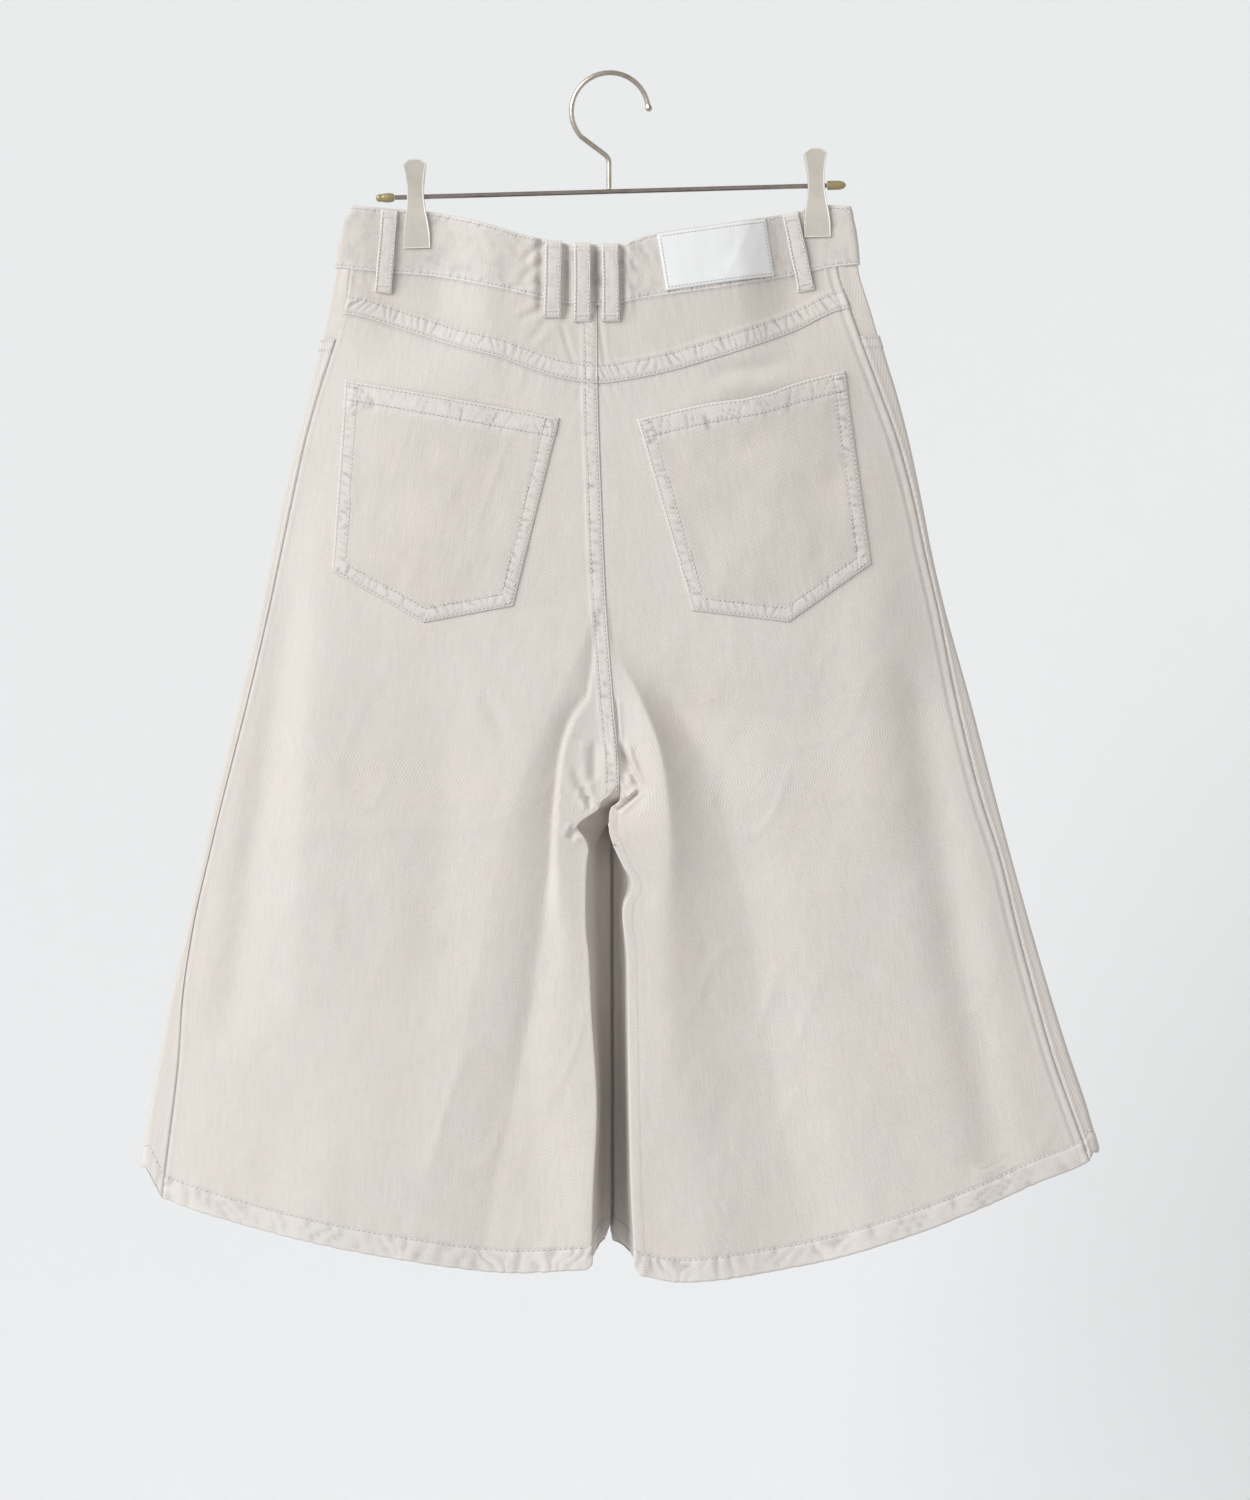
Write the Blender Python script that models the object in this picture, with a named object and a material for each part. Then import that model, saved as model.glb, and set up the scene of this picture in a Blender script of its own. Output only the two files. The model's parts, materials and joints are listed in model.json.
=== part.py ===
"""Wide-leg denim shorts, hung by the waistband from a wire clip hanger.

Lengths are in millimetres and become metres when a mesh is made. The origin is the inner top of
the hook, where the hanger hangs. The back of the shorts faces -Y, X runs to the right as the back
is looked at, and Z is up. A "drop" is a distance downwards. "Out" is the distance of a cloth
layer from the garment's middle plane, towards -Y on the back layer and towards +Y on the front one.
"""
import functools
import math
from collections import namedtuple

import bmesh
import bpy
from mathutils import Matrix, Vector

MM = 0.001
DATUM = 1.2                  # drops are measured from this far below the hook's inner top

# ---- driving sizes ---------------------------------------------------------------------------
DENIM = 1.2                  # wall of a single layer
BAND = 2.2                   # wall of the waistband, two layers and its turned edges
BAND_PROUD = 0.6             # the waistband's face stands out from the panels by this much
HEM_WALL = 2.4               # turned-up hem
HEM_HEIGHT = 15.0
HALF_GAP = 0.18              # each piece stops this far short of its seam line
BAND_GAP = 0.45              # and the waistband's lower edge this far
LENS_POWER = 3.0             # how quickly a layer swells away from the side fold
PINCHED = 2.0                # "out" of a layer between the jaws of a clip
PINCH_HALF_WIDTH = 11.0
PINCH_FADE = 44.0
PINCH_CELLS = 7
PINCH_DROPS = (121.0, 215.0)
LAY = 0.3                    # clearance under a piece that lies on another

LEFT, RIGHT = -1, 1
BACK, FRONT = "back", "front"

# The garment's outline from behind, how far each layer stands out at the middle of a leg, and the
# radius of the fold at each side.
Section = namedtuple("Section", "drop side_left outseam_left outseam_right side_right "
                                "back_depth front_depth nose")
SECTIONS = (
    Section(88, -175.3, -165.3, 152.0, 164.2, 13, 11, 2.6),
    Section(110, -182.7, -170.9, 154.0, 168.3, 15, 13, 2.6),
    Section(130, -186.3, -176.0, 155.7, 170.6, 17, 15, 2.6),
    Section(160, -191.8, -180.2, 164.7, 179.4, 20, 17, 2.6),
    Section(190, -198.2, -188.9, 175.3, 188.0, 22, 19, 2.7),
    Section(215, -203.9, -197.0, 184.6, 195.6, 24, 21, 2.8),
    Section(250, -213.1, -206.7, 197.0, 204.6, 26, 23, 3.0),
    Section(290, -222.3, -215.5, 207.6, 213.0, 27, 24, 2.8),
    Section(325, -229.6, -222.9, 215.1, 219.8, 28, 25, 2.9),
    Section(360, -236.5, -230.3, 223.2, 228.0, 28, 26, 3.0),
    Section(425, -251.9, -245.6, 236.4, 245.9, 29, 27, 3.2),
    Section(490, -267.6, -262.2, 252.6, 262.8, 29, 28, 3.0),
    Section(530, -276.4, -271.9, 265.5, 273.4, 29, 28, 2.8),
    Section(580, -287.4, -283.0, 277.6, 287.3, 30, 29, 2.8),
    Section(630, -298.9, -289.8, 291.0, 302.0, 30, 29, 3.4),
    Section(665, -305.8, -291.8, 301.1, 313.1, 31, 30, 4.0),
    Section(700, -312.1, -295.5, 313.4, 325.0, 31, 30, 4.4),
    Section(740, -318.8, -300.6, 327.4, 336.0, 32, 31, 4.5),
    Section(812, -326.0, -308.0, 345.0, 352.0, 33, 32, 4.5),
)

# The centre seams, and below the crotch the inner edge of each leg on either layer.
Centre = namedtuple("Centre", "drop back front")
CENTRE_SEAMS = (
    Centre(88, -8.5, -6.0),
    Centre(210, -7.5, -6.0),
    Centre(288, -5.0, -5.0),
    Centre(356, -2.0, -3.0),
    Centre(424, 3.0, 2.0),
    Centre(478, 7.0, 7.0),
    Centre(500, 7.0, 7.0),
)
InnerEdge = namedtuple("InnerEdge", "drop back_left front_left front_right back_right")
INNER_EDGES = (
    InnerEdge(478, 5.0, 5.0, 8.0, 10.0),
    InnerEdge(492, -1.0, 1.5, 8.0, 8.5),
    InnerEdge(503, -11.0, -3.0, 6.5, 4.5),
    InnerEdge(514, -18.0, -5.5, 4.5, 0.8),
    InnerEdge(530, -14.0, -5.0, 3.0, 6.5),
    InnerEdge(548, -15.0, -4.5, 3.0, 14.0),
    InnerEdge(568, -15.5, -4.0, 2.8, 9.5),
    InnerEdge(630, -12.0, -3.0, 2.6, 12.0),
    InnerEdge(700, -8.0, -1.6, 2.6, 13.6),
    InnerEdge(760, -10.5, -1.6, 2.8, 15.0),
    InnerEdge(812, -11.5, -2.0, 3.0, 18.0),
)
CENTRE_TURN = 8.0            # width of the strip beside a centre seam
LEG_TURN = {(BACK, LEFT): 10.0, (BACK, RIGHT): 22.0, (FRONT, LEFT): 16.0, (FRONT, RIGHT): 16.0}
TURN_UNDER = 478.0           # where the centre seams begin to turn under the crotch
CROTCH = 500.0
CROTCH_DROP = 496.0
INSEAM_SETTLES = 524.0       # below this the inseam lies midway through the leg's inner wall
INSEAM_BASE = 700.0          # below this its rows spread to end at the hem

# Seam lines as drops across the width.
Station = namedtuple("Station", "x drop")
BAND_TOP_BACK = (
    Station(-175, 87.2), Station(-156, 89.1), Station(-122, 91.8), Station(-88, 99.3),
    Station(-54, 109.5), Station(-18, 115.4), Station(6, 114.9), Station(30, 107.8),
    Station(76, 101.0), Station(120, 93.2), Station(149, 87.2), Station(164, 87.5),
)
BAND_TOP_FRONT = (
    Station(-175, 87.2), Station(-145, 90.5), Station(-120, 94.0), Station(-70, 112.0),
    Station(-6, 127.0), Station(60, 114.0), Station(120, 96.0), Station(149, 88.5),
    Station(164, 87.5),
)
WAIST_SEAM_BACK = (
    Station(-186, 129.9), Station(-159, 133.0), Station(-122, 136.0), Station(-74, 145.5),
    Station(-23, 156.2), Station(-6, 157.1), Station(28, 151.6), Station(76, 145.0),
    Station(123, 136.0), Station(156, 129.2), Station(170, 127.8),
)
WAIST_SEAM_FRONT = (
    Station(-186, 129.9), Station(-150, 133.0), Station(-120, 137.0), Station(-70, 154.0),
    Station(-6, 168.5), Station(60, 155.5), Station(120, 138.0), Station(149, 130.5),
    Station(170, 127.8),
)
YOKE_SEAM = (
    Station(-193, 161.0), Station(-180, 161.8), Station(-135, 174.3), Station(-101, 185.4),
    Station(-74, 192.4), Station(-33, 206.4), Station(-7.5, 210.0), Station(22, 206.0),
    Station(75, 191.8), Station(123, 175.0), Station(163, 157.8), Station(180, 157.0),
)
HEM_BACK = (
    Station(-321, 735.0), Station(-312, 756.5), Station(-292, 765.5), Station(-261, 775.0),
    Station(-210, 788.0), Station(-142, 801.0), Station(-61, 810.5), Station(-12, 808.0),
    Station(18, 811.0), Station(48, 816.0), Station(130, 805.8), Station(200, 787.0),
    Station(252, 767.7), Station(293, 750.0), Station(324, 738.0), Station(334, 729.0),
)
HEM_FRONT = (
    Station(-321, 735.0), Station(-308, 746.0), Station(-261, 758.0), Station(-210, 768.0),
    Station(-142, 779.0), Station(-61, 786.5), Station(-12, 786.0), Station(18, 787.0),
    Station(80, 785.0), Station(150, 773.0), Station(230, 756.0), Station(300, 741.0),
    Station(334, 729.0),
)

# The largest folds. Each is a soft ridge, or a trough where its rise is negative, along a path
# through three places; left and right are its half widths on those sides.
Fold = namedtuple("Fold", "name layer drop_a x_a drop_m x_m drop_b x_b left right "
                          "rise_a rise_m rise_b")
FOLDS = (
    Fold("left soft crest", BACK, 262, -194, 470, -202, 690, -214, 16, 34, 2, 5, 2),
    Fold("left side hollow", BACK, 330, -218, 480, -236, 680, -262, 14, 16, -3, -5, -3),
    Fold("left thigh hollow", BACK, 360, -120, 480, -118, 640, -108, 34, 26, -2, -4, -2),
    Fold("left drag ridge", BACK, 380, -30, 532, -78, 815, -142, 34, 14, 2, 5, 4),
    Fold("left drag trough", BACK, 385, -18, 500, -42, 815, -98, 14, 12, -5, -15, -6),
    Fold("left inner ridge", BACK, 395, -14, 520, -24, 815, -22, 13, 12, 1, 6, 4),
    Fold("right inner ridge", BACK, 365, 2, 470, 33, 815, 56, 13, 14, 2, 7, 4),
    Fold("right drag trough", BACK, 362, 8, 478, 64, 815, 138, 16, 13, -5, -15, -6),
    Fold("right thigh crest", BACK, 420, 98, 560, 122, 815, 178, 22, 40, 2, 4, 3),
    Fold("right hip crest", BACK, 320, 178, 420, 180, 560, 190, 24, 24, 1, 3, 1),
    Fold("right side hollow", BACK, 370, 200, 540, 228, 740, 262, 16, 17, -3, -5, -3),
    Fold("front left drag ridge", FRONT, 390, -26, 540, -62, 815, -118, 15, 30, 2, 6, 4),
    Fold("front left drag trough", FRONT, 380, -14, 520, -36, 815, -76, 13, 14, -4, -12, -5),
    Fold("front left side hollow", FRONT, 330, -190, 500, -222, 720, -252, 18, 20, -2, -5, -3),
    Fold("front right drag ridge", FRONT, 400, 36, 560, 76, 815, 142, 30, 15, 2, 6, 4),
    Fold("front right drag trough", FRONT, 380, 22, 510, 46, 815, 96, 14, 13, -4, -12, -5),
    Fold("front right side hollow", FRONT, 350, 182, 520, 216, 720, 250, 20, 18, -2, -5, -3),
    Fold("front thigh crest", FRONT, 420, -130, 560, -142, 815, -176, 34, 30, 1, 4, 3),
)
FOLD_END = 0.16              # share of a fold's length over which it fades out at each end

# Columns of a half's mesh that run along a fold, and the number of cells up to each.
Guide = namedtuple("Guide", "layer side fold share cells")
GUIDES = (
    Guide(BACK, LEFT, "left drag ridge", 0.56, 6),
    Guide(BACK, LEFT, "left drag trough", 0.76, 3),
    Guide(BACK, LEFT, None, 1.0, 4),
    Guide(BACK, RIGHT, "right thigh crest", 0.40, 5),
    Guide(BACK, RIGHT, "right drag trough", 0.68, 3),
    Guide(BACK, RIGHT, None, 1.0, 5),
    Guide(FRONT, LEFT, "front left drag ridge", 0.66, 2),
    Guide(FRONT, LEFT, "front left drag trough", 0.82, 2),
    Guide(FRONT, LEFT, None, 1.0, 3),
    Guide(FRONT, RIGHT, "front right drag ridge", 0.66, 2),
    Guide(FRONT, RIGHT, "front right drag trough", 0.82, 2),
    Guide(FRONT, RIGHT, None, 1.0, 3),
)
GUIDE_REACH = 110.0          # above its fold a guide returns to even spacing over this drop
GUIDE_SPACE = 0.012          # least width of a cell between guides, as a share of the half's

# Places of the pieces that lie on the panels, as x and drop.
Corner = namedtuple("Corner", "x drop")
Pocket = namedtuple("Pocket", "name top_left top_right low_right point low_left")
POCKETS = (
    Pocket("back_pocket_left", Corner(-178.8, 206.7), Corner(-33.3, 233.6), Corner(-64.6, 360.4),
           Corner(-125.1, 371.6), Corner(-187.3, 336.9)),
    Pocket("back_pocket_right", Corner(18.8, 234.6), Corner(159.8, 200.6), Corner(177.5, 331.5),
           Corner(121.4, 371.3), Corner(56.4, 363.6)),
)
POCKET_CELLS = 8
POCKET_MOUTH_SAG = 1.2       # the mouth stands off the panel by this much at its middle
LoopPlace = namedtuple("LoopPlace", "name layer top bottom")
LOOPS = (
    LoopPlace("belt_loop_back_left", BACK, Corner(-149.0, 90.4), Corner(-153.6, 147.6)),
    LoopPlace("belt_loop_centre_left", BACK, Corner(-37.4, 113.0), Corner(-38.4, 165.6)),
    LoopPlace("belt_loop_centre", BACK, Corner(-18.0, 114.4), Corner(-18.0, 168.6)),
    LoopPlace("belt_loop_centre_right", BACK, Corner(0.7, 115.0), Corner(1.4, 168.2)),
    LoopPlace("belt_loop_back_right", BACK, Corner(122.8, 92.6), Corner(134.0, 146.4)),
    LoopPlace("belt_loop_front_left", FRONT, Corner(-82.0, 108.6), Corner(-86.0, 161.0)),
    LoopPlace("belt_loop_front_right", FRONT, Corner(82.0, 109.4), Corner(86.0, 161.5)),
)
LOOP_WIDTH = 11.8
LOOP_WALL = 2.2
LOOP_ARCH = 1.8
PATCH = (Corner(32.6, 108.6), Corner(105.7, 97.6), Corner(111.9, 136.2), Corner(38.8, 147.2))
PATCH_WALL = 1.0

# Front closing and pocket mouths.
MOUTH_REACH = 0.5            # share of the front's width that the pocket mouth takes at the waist
MOUTH_DEPTH = 48.0           # from the waist seam to where the mouth meets the outseam
MOUTH_POWER = 2.4
MOUTH_CELLS = 6
FACING_END = 0.6             # share of the mouth's last cell that the facing takes
FLAP_OVER = 8.0              # the waistband's upper end passes the centre front by this much
FLAP_UNDER = 10.0
FLY_TOP, FLY_LENGTH, FLY_HALF_WIDTH = 170.5, 142.0, 17.0
ZIP_HALF_WIDTH, ZIP_WALL = 12.0, 1.0
BUTTON_RADIUS, BUTTON_RISE = 8.5, 3.2

# The hanger.
ROD_RADIUS = 1.65
ROD_LEFT, ROD_RIGHT = Corner(-145.6, 82.0), Corner(148.2, 73.8)
ROD_CAP_LENGTH = 12.6
WIRE_RADIUS = 1.75
HOOK_RADIUS = 26.2           # of the wire's centre line
HOOK_BALL = 2.5
HOOK_TURN = (10.0, 221.0)    # where the wire's circle begins and ends, in degrees
STEM_BEND_RADIUS = 7.0
STEM_BEND_TURN = 53.0
STEM_BEND_FALL = 59.6        # from the origin to the end of the bend
CLIP_LEFT_X, CLIP_RIGHT_X = -131.4, 140.8
Jaw = namedtuple("Jaw", "height half_width out rim")
JAW = (
    Jaw(25.0, 3.6, 9.6, 1.0),
    Jaw(21.8, 7.8, 9.1, 1.8),
    Jaw(15.0, 6.6, 7.8, 2.4),
    Jaw(6.3, 5.7, 5.9, 2.6),
    Jaw(-1.9, 5.8, 4.8, 2.6),
    Jaw(-8.5, 6.5, 4.6, 1.5),
    Jaw(-18.9, 8.3, 4.9, 1.6),
    Jaw(-25.7, 9.0, 4.6, 1.4),
    Jaw(-35.2, 9.0, 4.0, 1.0),
)
JAW_WALL = 1.0
SPRING_RADIUS, SPRING_LENGTH = 3.4, 8.2
ROUND_SIDES = 12

# ---- finishes --------------------------------------------------------------------------------
Finish = namedtuple("Finish", "colour roughness metallic")
FINISHES = {
    "denim": Finish((0.76, 0.71, 0.66), 0.92, 0.0),
    "denim_light": Finish((0.80, 0.76, 0.72), 0.92, 0.0),
    "patch": Finish((0.90, 0.91, 0.92), 0.55, 0.0),
    "tape": Finish((0.78, 0.75, 0.70), 0.85, 0.0),
    "steel": Finish((0.62, 0.58, 0.53), 0.32, 1.0),
    "rubber": Finish((0.62, 0.56, 0.30), 0.45, 0.0),
}


# ---- curves and surfaces ---------------------------------------------------------------------
def clamp(value, low=0.0, high=1.0):
    """Keep a value between two limits."""
    return max(low, min(high, value))


def mix(a, b, share):
    """Blend two numbers."""
    return a + (b - a) * share


def ease(value):
    """Go from 0 to 1 with level ends."""
    value = clamp(value)
    return value * value * (3.0 - 2.0 * value)


def curve(keys, values):
    """Return a smooth function through points that never overshoots between them."""
    widths = [b - a for a, b in zip(keys, keys[1:])]
    slopes = [(b - a) / w for a, b, w in zip(values, values[1:], widths)]
    tangents = [slopes[0]]
    for before, after, w0, w1 in zip(slopes, slopes[1:], widths, widths[1:]):
        if before * after <= 0.0:
            tangents.append(0.0)
        else:
            share0, share1 = 2.0 * w1 + w0, w1 + 2.0 * w0
            tangents.append((share0 + share1) / (share0 / before + share1 / after))
    tangents.append(slopes[-1])

    def value_at(key):
        key = clamp(key, keys[0], keys[-1])
        index = 0
        while index < len(widths) - 1 and key > keys[index + 1]:
            index += 1
        width = widths[index]
        t = (key - keys[index]) / width
        return ((2 * t ** 3 - 3 * t ** 2 + 1) * values[index]
                + (t ** 3 - 2 * t ** 2 + t) * width * tangents[index]
                + (3 * t ** 2 - 2 * t ** 3) * values[index + 1]
                + (t ** 3 - t ** 2) * width * tangents[index + 1])

    return value_at


def column_curve(table, key, value):
    """Return the smooth curve of one named column of a table against another."""
    return curve([getattr(row, key) for row in table], [getattr(row, value) for row in table])


NOSE = column_curve(SECTIONS, "drop", "nose")
SIDE = {LEFT: column_curve(SECTIONS, "drop", "side_left"),
        RIGHT: column_curve(SECTIONS, "drop", "side_right")}
OUTSEAM = {LEFT: column_curve(SECTIONS, "drop", "outseam_left"),
           RIGHT: column_curve(SECTIONS, "drop", "outseam_right")}
DEPTH = {layer: column_curve(SECTIONS, "drop", layer + "_depth") for layer in (BACK, FRONT)}
CENTRE = {layer: column_curve(CENTRE_SEAMS, "drop", layer) for layer in (BACK, FRONT)}
EDGE = {(BACK, LEFT): column_curve(INNER_EDGES, "drop", "back_left"),
        (FRONT, LEFT): column_curve(INNER_EDGES, "drop", "front_left"),
        (FRONT, RIGHT): column_curve(INNER_EDGES, "drop", "front_right"),
        (BACK, RIGHT): column_curve(INNER_EDGES, "drop", "back_right")}
BAND_TOP = {BACK: column_curve(BAND_TOP_BACK, "x", "drop"),
            FRONT: column_curve(BAND_TOP_FRONT, "x", "drop")}
WAIST_SEAM = {BACK: column_curve(WAIST_SEAM_BACK, "x", "drop"),
              FRONT: column_curve(WAIST_SEAM_FRONT, "x", "drop")}
HIP_LINE = column_curve(YOKE_SEAM, "x", "drop")
HEM = {BACK: column_curve(HEM_BACK, "x", "drop"), FRONT: column_curve(HEM_FRONT, "x", "drop")}


def fold_shape(fold):
    """Return a function of x and drop that gives how far a fold lifts the layer."""
    drops = (fold.drop_a, fold.drop_m, fold.drop_b)
    path = curve(drops, (fold.x_a, fold.x_m, fold.x_b))
    rise = curve(drops, (fold.rise_a, fold.rise_m, fold.rise_b))
    length = fold.drop_b - fold.drop_a

    def lift(x, drop):
        along = (drop - fold.drop_a) / length
        if not 0.0 < along < 1.0:
            return 0.0
        fade = ease(along / FOLD_END)
        if fold.drop_b < HEM_BACK[0].drop:
            fade *= ease((1.0 - along) / FOLD_END)
        away = x - path(drop)
        width = fold.left if away < 0.0 else fold.right
        return rise(drop) * fade * math.exp(-(away / width) ** 2)

    return lift


FOLD_SHAPES = {layer: [fold_shape(fold) for fold in FOLDS if fold.layer == layer]
               for layer in (BACK, FRONT)}


FOLD_PATHS = {fold.name: (curve((fold.drop_a, fold.drop_m, fold.drop_b),
                                (fold.x_a, fold.x_m, fold.x_b)), fold.drop_a) for fold in FOLDS}


def inner_edge(layer, side, drop):
    """Return the x where a half of a layer ends: the centre seam, or the leg's inner edge."""
    if drop <= TURN_UNDER:
        return CENTRE[layer](drop)
    return mix(CENTRE[layer](drop), EDGE[layer, side](drop), ease((drop - TURN_UNDER) / 8.0))


def pinch(x, drop):
    """Return how strongly a clip presses the layers together here, from 0 to 1."""
    fade = 1.0 - ease((drop - PINCH_DROPS[0]) / (PINCH_DROPS[1] - PINCH_DROPS[0]))
    away = min(abs(x - CLIP_LEFT_X), abs(x - CLIP_RIGHT_X))
    return fade * (1.0 - ease((away - PINCH_HALF_WIDTH) / PINCH_FADE))


def layer_out(layer, x, drop):
    """Return how far a layer's outer face stands from the middle plane at x and drop."""
    side = LEFT if x < CENTRE[layer](drop) else RIGHT
    rim = SIDE[side](drop)
    across = clamp((x - rim) / (inner_edge(layer, side, drop) - rim))
    swell = DEPTH[layer](drop) * (1.0 - (1.0 - across) ** LENS_POWER)
    folds = sum(lift(x, drop) for lift in FOLD_SHAPES[layer]) * ease(across / 0.14)
    out = NOSE(drop) + swell + folds
    return mix(out, PINCHED, pinch(x, drop))


def to_point(layer, x, out, drop):
    """Return a point in the part's frame, still in millimetres."""
    return Vector((x, -out if layer == BACK else out, -drop - DATUM))


# ---- the two halves of each layer ------------------------------------------------------------
# A row value runs from -1 at the waistband's top edge, through 0 at the waist seam and 1 at the
# yoke seam (or the same line on the front), to 2 at the hem.
Column = namedtuple("Column", "kind share")
STRIP, FOLD_COLUMN, FLAT, TURN = "strip", "fold", "flat", "turn"
ROW_SPAN = 596.0             # drop from the yoke seam to the hem at the crotch
HIP_CENTRE = 210.0
LINES = {"top": BAND_TOP, "waist": WAIST_SEAM, "hip": {BACK: HIP_LINE, FRONT: HIP_LINE},
         "hem": HEM}


def flat_ends(layer, side, drop):
    """Return x at the outseam, or side fold, and where the inner turn begins."""
    start = OUTSEAM[side](drop) if layer == BACK else SIDE[side](drop) - side * NOSE(drop)
    turn = mix(CENTRE_TURN, LEG_TURN[layer, side], ease((drop - 400.0) / 90.0))
    return start, inner_edge(layer, side, drop) + side * turn


def flat_x(layer, side, share, drop):
    """Return x of a flat column at a drop; columns between guides are spaced evenly."""
    start, end = flat_ends(layer, side, drop)
    knots = [[0.0, 0.0, 0]]
    for guide in GUIDES:
        if (guide.layer, guide.side) != (layer, side):
            continue
        target = guide.share
        if guide.fold:
            path, first_drop = FOLD_PATHS[guide.fold]
            follow = ease((drop - first_drop + GUIDE_REACH) / GUIDE_REACH)
            target = mix(target, (path(drop) - start) / (end - start), follow)
        knots.append([guide.share, target, guide.cells])
    for before, after in zip(knots[-2:0:-1], knots[:1:-1]):
        before[1] = min(before[1], after[1] - GUIDE_SPACE * after[2])
    for (share0, x0, _), (share1, x1, _) in zip(knots, knots[1:]):
        if share <= share1:
            return mix(start, end, mix(x0, x1, (share - share0) / (share1 - share0)))
    return end


@functools.lru_cache(maxsize=None)
def seam_drop(layer, side, share, name):
    """Return the drop where a column of the flat part meets a seam line."""
    line = LINES[name][layer]
    drop = line(0.0)
    for _ in range(14):
        drop = line(flat_x(layer, side, share, drop))
    return drop


def column_drop(layer, side, share, row):
    """Return the drop of a row value on a column of the flat part."""
    waist = seam_drop(layer, side, share, "waist")
    if row < 0.0:
        return mix(waist, seam_drop(layer, side, share, "top"), -row)
    hip = seam_drop(layer, side, share, "hip")
    if row < 1.0:
        return mix(waist, hip, row)
    return mix(hip, seam_drop(layer, side, share, "hem"), row - 1.0)


def row_at(layer, side, share, drop):
    """Return the row value of a drop on a column of the flat part, below the waist seam."""
    waist = seam_drop(layer, side, share, "waist")
    hip = seam_drop(layer, side, share, "hip")
    if drop < hip:
        return (drop - waist) / (hip - waist)
    return 1.0 + (drop - hip) / (seam_drop(layer, side, share, "hem") - hip)


def inner_seam(layer, side, row):
    """Return x, out and drop of the centre seam, or of the inseam below the crotch."""
    if row <= 1.0:
        x = CENTRE[layer](HIP_CENTRE)
        waist = WAIST_SEAM[layer](x)
        drop = mix(waist, HIP_CENTRE, row) if row >= 0.0 else mix(waist, BAND_TOP[layer](x), -row)
        x = CENTRE[layer](drop)
        return x, layer_out(layer, x, drop), drop
    level = HIP_CENTRE + (row - 1.0) * ROW_SPAN
    if level <= TURN_UNDER:
        x = CENTRE[layer](level)
        return x, layer_out(layer, x, level), level
    crotch_x = CENTRE[BACK](CROTCH)
    if level <= CROTCH:
        turn = (level - TURN_UNDER) / (CROTCH - TURN_UNDER) * math.pi / 2.0
        out = layer_out(layer, CENTRE[layer](TURN_UNDER), TURN_UNDER) * math.cos(turn)
        return crotch_x, out, mix(TURN_UNDER, CROTCH_DROP, math.sin(turn))
    settled = ease((level - CROTCH) / (INSEAM_SETTLES - CROTCH))
    middle = 0.5 * (EDGE[BACK, side](level) + EDGE[FRONT, side](level))
    low = level
    if level > INSEAM_BASE:
        hem = 0.5 * (HEM[BACK](middle) + HEM[FRONT](middle))
        low = mix(INSEAM_BASE, hem, (row - level_row(INSEAM_BASE)) / (2.0 - level_row(INSEAM_BASE)))
    drop = mix(low - (CROTCH - CROTCH_DROP), low, settled)
    return mix(crotch_x, middle, settled), 0.0, drop


def level_row(level):
    """Return the row value of a drop measured down the centre seam."""
    return 1.0 + (level - HIP_CENTRE) / ROW_SPAN


def cloth_point(layer, side, column, row):
    """Return a point of a layer's outer face at a column and a row value."""
    if column.kind == FLAT:
        drop = column_drop(layer, side, column.share, row)
        x = flat_x(layer, side, column.share, drop)
        return to_point(layer, x, layer_out(layer, x, drop), drop)
    if column.kind == TURN:
        drop = column_drop(layer, side, 1.0, row)
        x = flat_x(layer, side, 1.0, drop)
        start = Vector((x, layer_out(layer, x, drop), drop))
        end = Vector(inner_seam(layer, side, row))
        rounded = ease((drop - 440.0) / 60.0)
        corner = Vector((inner_edge(layer, side, drop), start.y, 0.5 * (start.z + end.z)))
        corner = (0.5 * (start + end)).lerp(corner, rounded)
        t = column.share
        bend = (1 - t) ** 2 * start + 2 * t * (1 - t) * corner + t * t * end
        return to_point(layer, *bend)
    fold_drop = column_drop(FRONT, side, 0.0, row)
    if column.kind == STRIP:
        drop = mix(column_drop(BACK, side, 0.0, row), fold_drop, column.share)
        x = mix(OUTSEAM[side](drop), SIDE[side](drop) - side * NOSE(drop), column.share)
        return to_point(BACK, x, layer_out(BACK, x, drop), drop)
    angle = math.pi * column.share
    seat = SIDE[side](fold_drop) - side * NOSE(fold_drop)
    out = mix(layer_out(BACK, seat, fold_drop), -layer_out(FRONT, seat, fold_drop),
              0.5 * (1.0 - math.cos(angle)))
    return to_point(BACK, seat + side * NOSE(fold_drop) * math.sin(angle), out, fold_drop)


PROBE, ROW_PROBE = 0.01, 0.003   # steps in column share and row value used to measure slopes


def face_normal(layer, side, column, row):
    """Return the outward unit normal of one half's outer face."""
    low, high = max(0.0, column.share - PROBE), min(1.0, column.share + PROBE)
    across = (cloth_point(layer, side, column._replace(share=high), row)
              - cloth_point(layer, side, column._replace(share=low), row))
    down = (cloth_point(layer, side, column, min(2.0, row + ROW_PROBE))
            - cloth_point(layer, side, column, max(-1.0, row - ROW_PROBE)))
    normal = across.cross(down).normalized()
    if column.kind == TURN and row > 1.0:
        inside = inner_edge(layer, side, HIP_CENTRE + (row - 1.0) * ROW_SPAN)
        outward = cloth_point(layer, side, column, row) - Vector((inside + side * 60.0, 0.0, 0.0))
    else:
        middle = 0.5 * (SIDE[side](HIP_CENTRE) + CENTRE[BACK](HIP_CENTRE))
        outward = cloth_point(layer, side, column, row) - Vector((middle, 0.0, 0.0))
        if column.kind in (FLAT, TURN):
            outward.x = 0.0
    outward.z = 0.0
    return normal if normal.dot(outward) > 0.0 else -normal


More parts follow.
